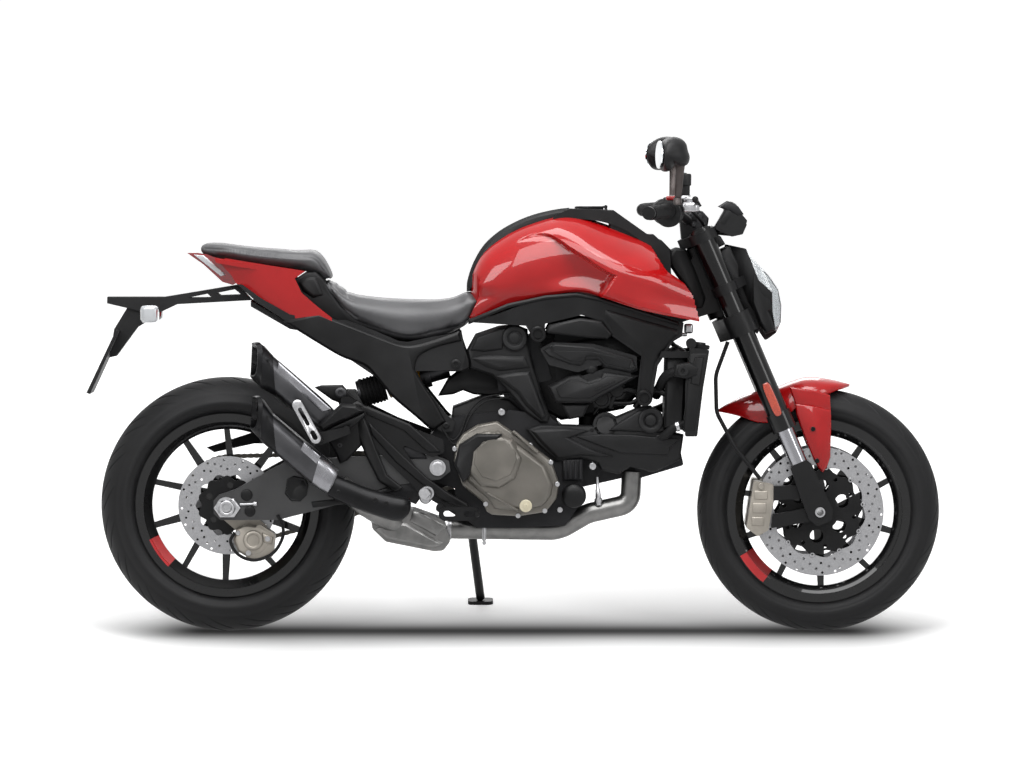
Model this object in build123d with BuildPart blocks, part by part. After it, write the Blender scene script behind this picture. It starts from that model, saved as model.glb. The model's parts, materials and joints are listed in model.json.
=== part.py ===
from build123d import *
import os
from math import asin, atan2, cos, hypot, radians, sin

# A naked road motorcycle with an L-twin engine, modelled upright in its own frame and then parked.
# Upright frame, in millimetres: X forward from the rear axle, Y to the rider's left, Z up from the
# ground. Side outlines are (X, Z) points. The finished pieces are leaned onto the side stand.

# ---------------------------------------------------------------- driving dimensions
WHEELBASE = 1472
LEAN = 10.0  # parked lean to the left, degrees
RAKE = 23.1  # steering axis, degrees from vertical
FORK_OFFSET = 30  # fork axis ahead of the steering axis
FORK_SPREAD = 103  # each fork leg from the middle plane

REAR_TYRE_RADIUS = 317
REAR_TYRE_HALF = 90
FRONT_TYRE_RADIUS = 302
FRONT_TYRE_HALF = 60
TYRE_WALL = 9
CROWN_SHARE = 1.02  # a tyre's crown radius, as a share of its half width
BEAD_RADIUS = 214  # a 17 inch rim's bead seat
REAR_BEAD_HALF = REAR_TYRE_HALF * 7 / 9
FRONT_BEAD_HALF = FRONT_TYRE_HALF * 3 / 4
RIM_FLANGE_RADIUS = 228
RIM_WALL = 6
SPOKE_COUNT = 5

AXLE_RADIUS = 12.5
AXLE_BORE = 8.5
SLIDE_GAP = 0.3  # pieces that slide or turn on each other
SEAT_GAP = 0.3  # pieces that rest on each other
RUN_GAP = 5.5  # moving pieces that pass each other

FRONT_DISC_RADIUS = 160
FRONT_DISC_INNER = 109
FRONT_DISC_Y = 72
REAR_DISC_RADIUS = 122
REAR_DISC_INNER = 67
REAR_DISC_Y = 71
DISC_THICK = 4.5

SLIDER_RADIUS = 21.5
FORK_TUBE_RADIUS = SLIDER_RADIUS + 5.5
TOP_YOKE_AT = 730  # all four along the fork from the front axle
LOWER_YOKE_AT = 480
YOKE_LOWER_THICK = 55
YOKE_UPPER_THICK = 25

CHAIN_PITCH = 15.875
REAR_TEETH = 45
FRONT_TEETH = 15
SPROCKET_THICK = 6
CHAIN_HALF_HEIGHT = 6
CHAIN_HALF_WIDTH = 8
CHAIN_Y = REAR_TYRE_HALF + CHAIN_HALF_WIDTH + RUN_GAP
OUTPUT_SHAFT = (610, 408)

SWINGARM_PIVOT = (524, 414)
FRAME_INNER = 112
FRAME_OUTER = 138
ARM_INNER = CHAIN_Y + CHAIN_HALF_WIDTH + RUN_GAP
ARM_OUTER = ARM_INNER + 30
BOBBIN_AT = (60, 302)  # threaded holes for a paddock stand's bobbins
BOBBIN_RADIUS = 4
BOBBIN_DEPTH = 20

CRANK = (790, 400)
FRONT_CYLINDER_TILT = 12.8  # above horizontal; the rear cylinder stands at a right angle to it
CYLINDER_LENGTH = 340
CASE_HALF = 100
CLUTCH_OUTER = 200
SUBFRAME_FRONT_BOLT = (570, 671)
SUBFRAME_LOWER_BOLT = (545, 517)

HEADER_RADIUS = 25

GRIP_RADIUS = 16.5
BAR_RADIUS = 11
BAR_END_REACH = (-102, 395, 21)  # from the bar's clamp

STAND_PIVOT = (604, 118, 262)
STAND_FOOT = (628, 290)  # the foot's X and Y on the floor
STAND_FOLD_TO = (-255, 42, -12)  # the leg's direction when it is folded
STAND_LUG_HALF = 8
STAND_PIN_RADIUS = 5

# ---------------------------------------------------------------- places worked out from them
REAR_AXLE = (0, REAR_TYRE_RADIUS)
FRONT_AXLE = (WHEELBASE, FRONT_TYRE_RADIUS)
REAR_PITCH_RADIUS = CHAIN_PITCH / (2 * sin(radians(180 / REAR_TEETH)))
FRONT_PITCH_RADIUS = CHAIN_PITCH / (2 * sin(radians(180 / FRONT_TEETH)))


def side_plane(y):
    """The side view's plane at one Y: its x is X and its y is Z, and extrusions go towards -Y."""
    return Plane.XZ.offset(-y)


def fork_plane(along, ahead=0, y=0):
    """A plane square to the fork: x points ahead, y to the left and z up the fork."""
    up = (-sin(radians(RAKE)), cos(radians(RAKE)))
    fore = (cos(radians(RAKE)), sin(radians(RAKE)))
    x = FRONT_AXLE[0] + along * up[0] + ahead * fore[0]
    z = FRONT_AXLE[1] + along * up[1] + ahead * fore[1]
    return Plane(origin=(x, y, z), x_dir=(fore[0], 0, fore[1]), z_dir=(up[0], 0, up[1]))


def fork_point(along, ahead=0):
    """The side view point (X, Z) at a distance along and ahead of the fork's axis."""
    origin = fork_plane(along, ahead).origin
    return (origin.X, origin.Z)


def from_front_axle(*offsets):
    """Side view points given by their distances ahead of and above the front axle."""
    return [(FRONT_AXLE[0] + x, FRONT_AXLE[1] + z) for x, z in offsets]


def slab(outline, y_left, y_right, corner=0.0):
    """A solid with one side outline all the way from y_left to y_right."""
    with BuildPart() as solid:
        with BuildSketch(side_plane(y_left)) as face:
            with BuildLine():
                Polyline(*outline, close=True)
            make_face()
            if corner:
                fillet(face.vertices(), corner)
        extrude(amount=y_left - y_right)
    return solid.part


def smooth_slab(upper, lower, y_left, y_right):
    """A solid between two smooth side curves that share their ends."""
    with BuildPart() as solid:
        with BuildSketch(side_plane(y_left)):
            with BuildLine():
                Spline(*upper)
                Spline(*lower)
            make_face()
        extrude(amount=y_left - y_right)
    return solid.part


def pair_slab(outline, inner, outer, corner=0.0):
    """The same slab on both sides of the middle plane."""
    with BuildPart() as both:
        add(slab(outline, outer, inner, corner))
        mirror(about=Plane.XZ)
    return both.part


def rod(start, end, radius, bore=0.0):
    """A round bar or tube between two points."""
    run = Vector(*end) - Vector(*start)
    across = (0, 1, 0) if abs(run.normalized().Y) < 0.9 else (1, 0, 0)
    square = Plane(origin=start, x_dir=Vector(*across).cross(run), z_dir=run)
    with BuildPart() as bar:
        with BuildSketch(square):
            Circle(radius)
            if bore:
                Circle(bore, mode=Mode.SUBTRACT)
        extrude(amount=run.length)
    return bar.part


def cross_rod(at, radius, y_left, y_right, bore=0.0):
    """A round bar or tube across the motorcycle at a side view point."""
    return rod((at[0], y_left, at[1]), (at[0], y_right, at[1]), radius, bore)


def bent_tube(points, bends, radius, bore=0.0):
    """A tube along straight runs joined by tangent arcs."""
    with BuildPart() as tube:
        with BuildLine() as path:
            FilletPolyline(*points, radius=bends)
        with BuildSketch(Plane(origin=path.line @ 0, z_dir=path.line % 0)):
            Circle(radius)
            if bore:
                Circle(bore, mode=Mode.SUBTRACT)
        sweep(path=path.line)
    return tube.part


def joined(*solids):
    """Several solids in one part, fused where they meet."""
    with BuildPart() as whole:
        for solid in solids:
            add(solid)
    return whole.part


def without(solid, *cutters):
    """A solid with others taken out of it."""
    with BuildPart() as rest:
        add(solid)
        for cutter in cutters:
            add(cutter, mode=Mode.SUBTRACT)
    return rest.part


def on_axle(solid, axle):
    """A wheel piece made about the origin, moved to its axle."""
    return solid.moved(Location((axle[0], 0, axle[1])))


def mirrored(solid):
    """The same piece on the other side of the motorcycle."""
    with BuildPart() as twin:
        add(solid)
        mirror(about=Plane.XZ, mode=Mode.REPLACE)
    return twin.part


# ---------------------------------------------------------------- wheels
def tyre_line(outer, wide, crown, bead, low):
    """The closed (Y, radius) outline of a tyre: crown arc, side walls and bead line."""
    shoulder = radians(52)
    edge = (crown * sin(shoulder), outer - crown * (1 - cos(shoulder)))
    bulge = (wide, (edge[1] + BEAD_RADIUS) / 2 + 10)
    heel = RIM_FLANGE_RADIUS + 2
    with BuildLine() as line:
        ThreePointArc((-edge[0], edge[1]), (0, outer), edge)
        ThreePointArc(edge, bulge, (bead, heel))
        Polyline((bead, heel), (bead, low), (-bead, low), (-bead, heel))
        ThreePointArc((-bead, heel), (-bulge[0], bulge[1]), (-edge[0], edge[1]))
    return line.edges()


def tyre(radius, half, bead_half):
    """A hollow tyre with a round crown, open at its beads."""
    crown = half * CROWN_SHARE
    inner_bead = bead_half - TYRE_WALL
    with BuildPart() as body:
        with BuildSketch(Plane.YZ):
            make_face(tyre_line(radius, half, crown, bead_half, BEAD_RADIUS + 1))
        revolve(axis=Axis.Y)
        with BuildSketch(Plane.YZ):
            make_face(tyre_line(radius - TYRE_WALL, half - TYRE_WALL, crown - TYRE_WALL, inner_bead, BEAD_RADIUS))
        revolve(axis=Axis.Y, mode=Mode.SUBTRACT)
    return body.part


def rim_barrel(bead_half):
    """The rim's flanges, bead seats and well, turned about the axle."""
    flange = bead_half + RIM_WALL
    well = BEAD_RADIUS - 20
    right = [
        (0, well),
        (bead_half * 0.45, well),
        (bead_half * 0.62, BEAD_RADIUS),
        (bead_half + SEAT_GAP, BEAD_RADIUS),
        (bead_half + SEAT_GAP, RIM_FLANGE_RADIUS),
        (flange, RIM_FLANGE_RADIUS),
        (flange, BEAD_RADIUS - RIM_WALL),
        (bead_half * 0.66, BEAD_RADIUS - RIM_WALL),
        (bead_half * 0.48, well - RIM_WALL),
        (0, well - RIM_WALL),
    ]
    with BuildPart() as barrel:
        with BuildSketch(Plane.YZ):
            with BuildLine():
                Polyline(*right, close=True)
            make_face()
            mirror(about=Plane.YZ)
        revolve(axis=Axis.Y)
    return barrel.part


def bar_corners(start, end, start_wide, end_wide):
    """The four corners of a tapered bar between two points."""
    run = Vector(end[0] - start[0], end[1] - start[1])
    side = run.normalized().rotate(Axis.Z, 90)
    corners = []
    for point, wide in ((start, start_wide), (end, end_wide)):
        half = side * (wide / 2)
        corners.append((point[0] + half.X, point[1] + half.Y))
        corners.append((point[0] - half.X, point[1] - half.Y))
    return [corners[0], corners[1], corners[3], corners[2]]


def spokes(first, half_thick):
    """Five forked spokes: a radial arm and a slanted one that leaves the hub beside it."""
    reach = BEAD_RADIUS - 20 - RIM_WALL / 2
    slant = radians(39)
    with BuildPart() as arms:
        with BuildSketch(Plane.XZ.offset(-half_thick)):
            with PolarLocations(0, SPOKE_COUNT, start_angle=first):
                Polygon(*bar_corners((26, 0), (reach, 0), 28, 15), align=None)
                tip = (reach * cos(slant), reach * sin(slant))
                Polygon(*bar_corners((30, 4), tip, 20, 14), align=None)
        extrude(amount=2 * half_thick)
    return arms.part


def wheel_rim(bead_half, first_spoke, spoke_half, hub):
    """One cast wheel: barrel, spokes and a hub turned from its (Y, radius) outline."""
    with BuildPart() as rim:
        add(rim_barrel(bead_half))
        add(spokes(first_spoke, spoke_half))
        with BuildSketch(Plane.YZ):
            with BuildLine():
                Polyline(*hub, close=True)
            make_face()
        revolve(axis=Axis.Y)
    return rim.part


def drill(radius, folds):
    """Cut a disc's cooling holes: slanted rows of four, repeated round it."""
    for row in range(4):
        for turn in (0, 180 / folds):
            with PolarLocations(radius - 7 - 9 * row, folds, start_angle=turn + 8 * row):
                Circle(3.2, mode=Mode.SUBTRACT)


def floating_disc(y):
    """A front disc: a ring on a windowed carrier, held by ten buttons."""
    button_at = FRONT_DISC_INNER + 7
    with BuildPart() as disc:
        with BuildSketch(side_plane(y + DISC_THICK / 2)):
            Circle(FRONT_DISC_RADIUS)
            Circle(FRONT_DISC_INNER, mode=Mode.SUBTRACT)
            drill(FRONT_DISC_RADIUS, 10)
            with PolarLocations(button_at, 10):
                Circle(8)
            Circle(FRONT_DISC_INNER - 9)
            Circle(FRONT_DISC_INNER - 17, mode=Mode.SUBTRACT)
            with PolarLocations(0, 10):
                Polygon(*bar_corners((44, 0), (FRONT_DISC_INNER + 2, 0), 16, 11), align=None)
            Circle(52)
            Circle(AXLE_RADIUS + 9, mode=Mode.SUBTRACT)
        extrude(amount=DISC_THICK)
    return disc.part


def scalloped_disc(y):
    """The rear disc: a ring with a waved inner edge on a five armed carrier."""
    with BuildPart() as disc:
        with BuildSketch(side_plane(y + DISC_THICK / 2)):
            Circle(REAR_DISC_RADIUS)
            Circle(REAR_DISC_INNER + 8, mode=Mode.SUBTRACT)
            drill(REAR_DISC_RADIUS, 8)
            with PolarLocations(REAR_DISC_INNER + 6, 10):
                Circle(9)
            Circle(REAR_DISC_INNER + 4)
            Circle(AXLE_RADIUS + 20, mode=Mode.SUBTRACT)
            with PolarLocations(REAR_DISC_INNER - 12, 5, start_angle=18):
                Circle(12, mode=Mode.SUBTRACT)
        extrude(amount=DISC_THICK)
    return disc.part


def sprocket(teeth, pitch_radius, bore, y, window=0.0):
    """A chain wheel. Its tooth tips stay just inside the chain's rollers."""
    tip = pitch_radius - CHAIN_HALF_HEIGHT + 0.6
    with BuildPart() as wheel:
        with BuildSketch(side_plane(y + SPROCKET_THICK / 2)):
            Circle(tip)
            with PolarLocations(tip + 1.6, teeth):
                Circle(4.2, mode=Mode.SUBTRACT)
            Circle(bore, mode=Mode.SUBTRACT)
            if window:
                with PolarLocations((tip + bore) / 2 + 4, 5):
                    Circle(window, mode=Mode.SUBTRACT)
        extrude(amount=SPROCKET_THICK)
    return wheel.part


hub_bore = AXLE_RADIUS + SLIDE_GAP
front_hub_half = FRONT_DISC_Y - DISC_THICK / 2
front_hub = [
    (-front_hub_half, hub_bore),
    (-front_hub_half, 50),
    (-front_hub_half + 8, 50),
    (-front_hub_half + 14, 34),
    (0, 31),
    (front_hub_half - 14, 34),
    (front_hub_half - 8, 50),
    (front_hub_half, 50),
    (front_hub_half, hub_bore),
]
front_rim = on_axle(wheel_rim(FRONT_BEAD_HALF, 56, 13, front_hub), FRONT_AXLE)
front_tyre = on_axle(tyre(FRONT_TYRE_RADIUS, FRONT_TYRE_HALF, FRONT_BEAD_HALF), FRONT_AXLE)
front_discs = on_axle(joined(floating_disc(FRONT_DISC_Y), floating_disc(-FRONT_DISC_Y)), FRONT_AXLE)

rear_disc_face = REAR_DISC_Y - DISC_THICK / 2
sprocket_face = CHAIN_Y - SPROCKET_THICK / 2
rear_hub = [
    (-rear_disc_face, hub_bore),
    (-rear_disc_face, 60),
    (-rear_disc_face + 8, 60),
    (-rear_disc_face + 16, 38),
    (20, 38),
    (36, 66),
    (sprocket_face - 10, 66),
    (sprocket_face, 56),
    (sprocket_face, hub_bore),
]
rear_rim = on_axle(wheel_rim(REAR_BEAD_HALF, 52, 15, rear_hub), REAR_AXLE)
rear_tyre = on_axle(tyre(REAR_TYRE_RADIUS, REAR_TYRE_HALF, REAR_BEAD_HALF), REAR_AXLE)
rear_disc = on_axle(scalloped_disc(-REAR_DISC_Y), REAR_AXLE)
rear_sprocket = on_axle(sprocket(REAR_TEETH, REAR_PITCH_RADIUS, 45, CHAIN_Y, 17), REAR_AXLE)

front_spacer_inner = FRONT_DISC_Y + DISC_THICK / 2 + SEAT_GAP
leg_inner = FORK_SPREAD - 19
front_axle = joined(
    cross_rod(FRONT_AXLE, AXLE_RADIUS, FORK_SPREAD + 26, -FORK_SPREAD - 26, AXLE_BORE),
    cross_rod(FRONT_AXLE, 19, leg_inner, front_spacer_inner, AXLE_RADIUS),
    cross_rod(FRONT_AXLE, 19, -front_spacer_inner, -leg_inner, AXLE_RADIUS),
)

# ---------------------------------------------------------------- front fork and steering
stem_radius = 17


def yoke(along, thick):
    """A triple clamp across both fork tubes and the steering stem."""
    with BuildPart() as clamp:
        with BuildSketch(fork_plane(along)):
            with Locations((0, FORK_SPREAD), (0, -FORK_SPREAD)):
                Circle(FORK_TUBE_RADIUS + 9)
            with Locations((-FORK_OFFSET, 0)):
                Circle(stem_radius + 14)
            make_hull()
            with Locations((0, FORK_SPREAD), (0, -FORK_SPREAD)):
                Circle(FORK_TUBE_RADIUS + SEAT_GAP, mode=Mode.SUBTRACT)
        extrude(amount=thick)
    return clamp.part


def fork_round(along, end, radius, bore=0.0, ahead=0, y=0):
    """A round piece parallel to the fork."""
    with BuildPart() as tube:
        with BuildSketch(fork_plane(along, ahead, y)):
            Circle(radius)
            if bore:
                Circle(bore, mode=Mode.SUBTRACT)
        extrude(amount=end - along)
    return tube.part


bar_centre = fork_point(TOP_YOKE_AT + 64, -18)
yokes = joined(
    yoke(LOWER_YOKE_AT, YOKE_LOWER_THICK),
    yoke(TOP_YOKE_AT, YOKE_UPPER_THICK),
    fork_round(LOWER_YOKE_AT + 10, TOP_YOKE_AT + 10, stem_radius, 0, -FORK_OFFSET),
)

slider_bore = SLIDER_RADIUS + SLIDE_GAP
tube_bottom = 262
fork_tubes = joined(
    *[
        joined(
            fork_round(tube_bottom, TOP_YOKE_AT + YOKE_UPPER_THICK + 6, FORK_TUBE_RADIUS, slider_bore, 0, y),
            fork_round(222, tube_bottom + 6, FORK_TUBE_RADIUS + 4, slider_bore, 0, y),
            fork_round(TOP_YOKE_AT + 20, TOP_YOKE_AT + YOKE_UPPER_THICK + 10, FORK_TUBE_RADIUS - 5, 0, 0, y),
        )
        for y in (FORK_SPREAD, -FORK_SPREAD)
    ]
)

caliper_outline = from_front_axle((-164, 78), (-115, 69), (-115, 28), (-127, -45), (-154, -61), (-182, -40))
caliper_slot = FRONT_DISC_RADIUS + RUN_GAP
caliper_half = 34


def fork_leg():
    """The left slider with the axle clamp and the two arms that carry its caliper."""
    clamp = [
        fork_point(-30, -20), fork_point(-30, 20), fork_point(-6, 32), fork_point(120, 27),
        fork_point(132, 20), fork_point(132, -24), fork_point(60, -30), fork_point(-6, -32),
    ]
    upper_arm = [fork_point(80, -20), fork_point(46, -20), *from_front_axle((-115, 28), (-115, 64))]
    lower_arm = [fork_point(20, -20), fork_point(-16, -20), *from_front_axle((-120, -40), (-116, -6))]
    inner, outer = leg_inner, FORK_SPREAD + 22
    with BuildPart() as leg:
        add(slab(clamp, outer, inner, 8))
        add(slab(upper_arm, outer - 14, inner))
        add(slab(lower_arm, outer - 14, inner))
        add(fork_round(60, 640, SLIDER_RADIUS, 0, 0, FORK_SPREAD))
        add(cross_rod(FRONT_AXLE, AXLE_RADIUS + 0.2, outer + 1, inner - 1), mode=Mode.SUBTRACT)
    return leg.part


left_leg = fork_leg()
fork_legs = joined(left_leg, mirrored(left_leg))


def front_caliper():
    """The left caliper, open where the disc runs through it."""
    with BuildPart() as body:
        add(slab(caliper_outline, FRONT_DISC_Y + caliper_half, FRONT_DISC_Y - caliper_half, 6))
        slot_half = DISC_THICK / 2 + RUN_GAP
        add(
            cross_rod(FRONT_AXLE, caliper_slot, FRONT_DISC_Y + slot_half, FRONT_DISC_Y - slot_half),
            mode=Mode.SUBTRACT,
        )
        add(left_leg, mode=Mode.SUBTRACT)
    return body.part


left_caliper = front_caliper()
front_calipers = joined(left_caliper, mirrored(left_caliper))

# The front mudguard: an arch over the tyre, with a fin down each side in front of the fork leg.
guard_half = FRONT_TYRE_HALF + 11
guard_inner = FRONT_TYRE_RADIUS + 20
guard_thick = 4
fin_outer = leg_inner - 0.5
guard_from, guard_sweep = 76, 62


def drum(radius, half, low, corner):
    """A solid ring of revolution with its two outer corners rounded."""
    with BuildPart() as body:
        with BuildSketch(Plane.YZ) as section:
            with BuildLine():
                Polyline((-half, low), (half, low), (half, radius), (-half, radius), close=True)
            make_face()
            fillet(section.vertices().group_by(Axis.Y)[-1], corner)
        revolve(axis=Axis.Y)
    return body.part


def fender():
    """The whole mudguard, made round the front axle."""
    low, corner = FRONT_TYRE_RADIUS - 30, 34
    outer, outer_half = guard_inner + guard_thick, guard_half + guard_thick
    far = 2 * outer
    angles = [radians(guard_from), radians(guard_from + guard_sweep)]
    ends = [(far * cos(angle), far * sin(angle)) for angle in angles]
    with BuildPart() as guard:
        add(drum(outer, outer_half, low, corner))
        add(drum(guard_inner, guard_half, low - 1, corner - guard_thick), mode=Mode.SUBTRACT)
        add(slab([(0, 0), *ends], outer_half + 1, -outer_half - 1), mode=Mode.INTERSECT)
    root = from_front_axle((-75, 294), (-68, 254), (32, 254), (28, 298))
    fin = from_front_axle((-75, 298), (-26, 138), (1, 96), (23, 116), (35, 254), (28, 304))
    sides = joined(
        pair_slab(root, guard_half, fin_outer),
        pair_slab(fin, fin_outer - guard_thick, fin_outer),
    )
    return joined(on_axle(guard.part, FRONT_AXLE), sides)


front_fender = fender()

# Headlight: a faceted housing ahead of the fork with a clear lens over its open front. Its side
# outlines are (along, ahead) places from the fork's axis, and its front view is an ellipse.
LAMP_ALONG, LAMP_AHEAD = 571, 37.5
LAMP_WALL = 5
housing_side = [
    (702, 45), (671, 88), (589, 86), (547, 105), (508, 89), (449, 75), (440, 44), (475, 37.5), (640, 46), (680, 37.5),
]
lens_front = [(470, 97), (508, 114), (547, 122), (584, 115), (647, 93)]
lamp_plane = Plane(
    origin=fork_plane(LAMP_ALONG, LAMP_AHEAD).origin,
    x_dir=(0, 1, 0),
    z_dir=(cos(radians(RAKE)), 0, sin(radians(RAKE))),
)


def dome(sections):
    """A smooth body through ellipses given as (distance ahead, half width, half height)."""
    with BuildPart() as body:
        for distance, half_wide, half_high in sections:
            with BuildSketch(lamp_plane.offset(distance)):
                Ellipse(half_wide, half_high)
        loft()
    return body.part


def lamp_slice(places, shift=0.0):
    """A slab across the lamp with a side outline in the fork's own directions."""
    return slab([fork_point(along, ahead + shift) for along, ahead in places], 100, -100)


def common(solid, cutter):
    """What two solids share."""
    with BuildPart() as both:
        add(solid)
        add(cutter, mode=Mode.INTERSECT)
    return both.part


shell_outside = common(dome([(-2, 58, 126), (30, 80, 134), (72, 88, 138)]), lamp_slice(housing_side))
shell_inside = common(
    dome([(-1, 53, 110), (30, 75, 112), (100, 83, 114)]),
    lamp_slice([(684, 62), (671, 120), (449, 120), (456, 50), (480, 45), (640, 53)]),
)
lens_side = [(671, 88.3), (589, 86.3), (547, 105.3), (508, 89.3), (449, 75.3), *lens_front]
lens_outside = common(dome([(36, 84, 136), (60, 82, 130), (90, 60, 104)]), lamp_slice(lens_side))
lens_inside = common(dome([(20, 79, 131), (56, 77, 125), (86, 55, 99)]), lamp_slice(lens_side, -LAMP_WALL))
headlight_shell = without(shell_outside, shell_inside, yokes, fork_tubes)
headlight_lens = without(lens_outside, lens_inside)


def lamp_arm():
    """The left bracket: a clamp round the fork tube with an arm to the lamp's back."""
    with BuildPart() as arm:
        with BuildSketch(fork_plane(590)):
            with Locations((0, FORK_SPREAD)):
                Circle(FORK_TUBE_RADIUS + 5)
            Polygon((20, FORK_SPREAD - 26), (20, FORK_SPREAD), (62, 66), (62, 52), (44, 52), align=None)
            with Locations((0, FORK_SPREAD)):
                Circle(FORK_TUBE_RADIUS + SEAT_GAP, mode=Mode.SUBTRACT)
        extrude(amount=24)
        add(shell_outside, mode=Mode.SUBTRACT)
    return arm.part


left_lamp_arm = lamp_arm()
headlight_bracket = joined(left_lamp_arm, mirrored(left_lamp_arm))

yoke_x, yoke_z = fork_point(TOP_YOKE_AT)
dash_shape = [(65, 100), (107, 51), (96, 17), (68, 11), (26, 31)]
dash_outline = [(yoke_x + x, yoke_z + z) for x, z in dash_shape]
dash_arm = [
    fork_point(TOP_YOKE_AT + 4, 30), fork_point(TOP_YOKE_AT + 20, 30), (yoke_x + 70, yoke_z + 27),
    (yoke_x + 76, yoke_z + 11),
]
dashboard = without(joined(slab(dash_outline, 72, -72, 5), slab(dash_arm, 20, -20)), yokes)

# Handlebar with its risers, grips, controls and mirrors.
bar_path = [
    (bar_centre[0], -60, bar_centre[1]),
    (bar_centre[0], -112, bar_centre[1]),
    (bar_centre[0] - 36, -205, bar_centre[1] + 28),
    (bar_centre[0] + BAR_END_REACH[0], -BAR_END_REACH[1], bar_centre[1] + BAR_END_REACH[2]),
]


def handlebar_half():
    """The right half of the bar, from its clamp to its end."""
    start = (bar_centre[0], 0, bar_centre[1])
    return bent_tube([start, *bar_path[1:]], [90, 90], BAR_RADIUS)


half_bar = handlebar_half()


def along_bar(share, lift=0.0):
    """A point on the bar's last straight run, as a share of the way to its end."""
    a, b = Vector(*bar_path[2]), Vector(*bar_path[3])
    return a + (b - a) * share + Vector(0, 0, lift)


def bar_sleeve(start, end, radius, bore=BAR_RADIUS + 0.2):
    """A sleeve round the bar's last run between two shares of it."""
    return rod(tuple(along_bar(start)), tuple(along_bar(end)), radius, bore)


grip_start, grip_end = 0.36, 0.97
right_grip = joined(bar_sleeve(grip_start, grip_end, GRIP_RADIUS), bar_sleeve(grip_start, 0.38, 21))
right_weight = rod(tuple(along_bar(0.975)), tuple(along_bar(1.02)), 16.5)
half_bar = without(half_bar, rod(tuple(along_bar(0.974)), tuple(along_bar(1.1)), 20))
risers = joined(
    *[
        without(
            slab(
                [
                    (bar_centre[0] - 14, fork_point(TOP_YOKE_AT + 10, -18)[1]),
                    (bar_centre[0] + 34, fork_point(TOP_YOKE_AT + 10, -18)[1]),
                    (bar_centre[0] + 20, bar_centre[1] + 17),
                    (bar_centre[0] - 20, bar_centre[1] + 17),
                ],
                y + 14,
                y - 14,
                4,
            ),
            cross_rod(bar_centre, BAR_RADIUS + 0.2, 60, -60),
            yokes,
        )
        for y in (32, -32)
    ]
)
handlebar = joined(half_bar, mirrored(half_bar), right_weight, mirrored(right_weight))
grips = joined(right_grip, mirrored(right_grip))


def control(reservoir):
    """The right switch housing, lever perch and lever."""
    housing = bar_sleeve(0.2, 0.34, 24)
    perch = bar_sleeve(0.04, 0.17, 19)
    pivot = along_bar(0.16) + Vector(36, 0, -6)
    elbow = along_bar(0.42) + Vector(52, 0, -10)
    tip = along_bar(0.98) + Vector(44, 0, -12)
    root = along_bar(0.1) + Vector(14, 0, -2)
    lever = bent_tube([tuple(root), tuple(pivot), tuple(elbow), tuple(tip)], [10, 24], 6.5)
    pieces = [housing, perch, lever]
    if reservoir:
        base = along_bar(0.03) + Vector(28, 14, 4)
        pieces.append(rod(tuple(base), tuple(base + Vector(0, 0, 42)), 20))
        pieces.append(rod(tuple(along_bar(0.08)), tuple(base + Vector(0, 0, 10)), 9))
    clear = rod(tuple(along_bar(-0.2)), tuple(along_bar(0.6)), BAR_RADIUS + 0.2)
    return without(joined(*pieces), clear)


bar_controls = without(joined(control(True), mirrored(control(False))), half_bar, mirrored(half_bar))


def mirror_piece():
    """The right mirror: a stalk from the lever perch and a dished head that faces the rider."""
    foot = along_bar(0.1) + Vector(4, 0, 20)
    clamp = Vector(bar_centre[0], 0, bar_centre[1])
    elbow = clamp + Vector(-32, -262, 85)
    neck = clamp + Vector(-32, -318, 147)
    stalk = bent_tube([tuple(foot), tuple(elbow), tuple(neck)], [40], 6)
    face = Plane(origin=clamp + Vector(-44, -350, 171), x_dir=(0, 1, 0), z_dir=(0.94, 0, 0.34))
    with BuildPart() as head:
        for distance, wide, high in ((-14, 74, 40), (4, 72, 38), (22, 46, 24)):
            with BuildSketch(face.offset(distance)):
                Ellipse(wide, high)
        loft()
    return joined(stalk, head.part)


right_mirror = mirror_piece()
mirrors = without(joined(right_mirror, mirrored(right_mirror)), bar_controls)

hose_line = [fork_point(LOWER_YOKE_AT - 3.5, -44)]
hose_line += from_front_axle((-258, 338), (-256, 246), (-210, 160), (-148, 82))
hose_across = (-62, -72, -84, -100, -96)
brake_hose = bent_tube([(x, y, z) for (x, z), y in zip(hose_line, hose_across)], [80, 60, 90], 5)

# ---------------------------------------------------------------- side stand
lean = radians(LEAN)
crown_rise = REAR_TYRE_HALF * CROWN_SHARE * (1 - cos(lean))


def ground_under(y):
    """The ground's height in the upright frame below a point at this Y."""
    return (y * sin(lean) - crown_rise) / cos(lean)


stand_pivot = Vector(*STAND_PIVOT)
stand_foot = Vector(STAND_FOOT[0], STAND_FOOT[1], ground_under(STAND_FOOT[1]))
stand_down = (stand_foot - stand_pivot).normalized()
stand_axis = stand_down.cross(Vector(*STAND_FOLD_TO)).normalized()


def vector_rod(start, end, radius, bore=0.0):
    """A round bar between two vectors."""
    return rod(tuple(start), tuple(end), radius, bore)


def side_stand_solid():
    """The stand drawn down: two ears and their bolt, the leg and its flat foot."""
    up = Vector(0, -sin(lean), cos(lean))
    foot_plane = Plane(origin=tuple(stand_foot), x_dir=(1, 0, 0), z_dir=tuple(up))
    with BuildPart() as stand:
        with BuildSketch(foot_plane):
            RectangleRounded(64, 44, 14)
        extrude(amount=9)
        add(vector_rod(stand_pivot + stand_down * 17, stand_foot + up * 14, 11))
        add(vector_rod(stand_pivot + stand_down * 17, stand_pivot + stand_down * 34, 15))
        for side in (-1, 1):
            inside = stand_pivot + stand_axis * (side * (STAND_LUG_HALF + SLIDE_GAP))
            outside = inside + stand_axis * (side * 6)
            add(vector_rod(inside, outside, 12))
            middle = (inside + outside) * 0.5
            add(vector_rod(middle, middle + stand_down * 26, 2.9))
            add(vector_rod(middle + stand_down * 8, middle + stand_down * 30, 2.99))
        reach = STAND_LUG_HALF + 9
        add(vector_rod(stand_pivot - stand_axis * reach, stand_pivot + stand_axis * reach, STAND_PIN_RADIUS))
    return stand.part


side_stand = side_stand_solid()

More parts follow.
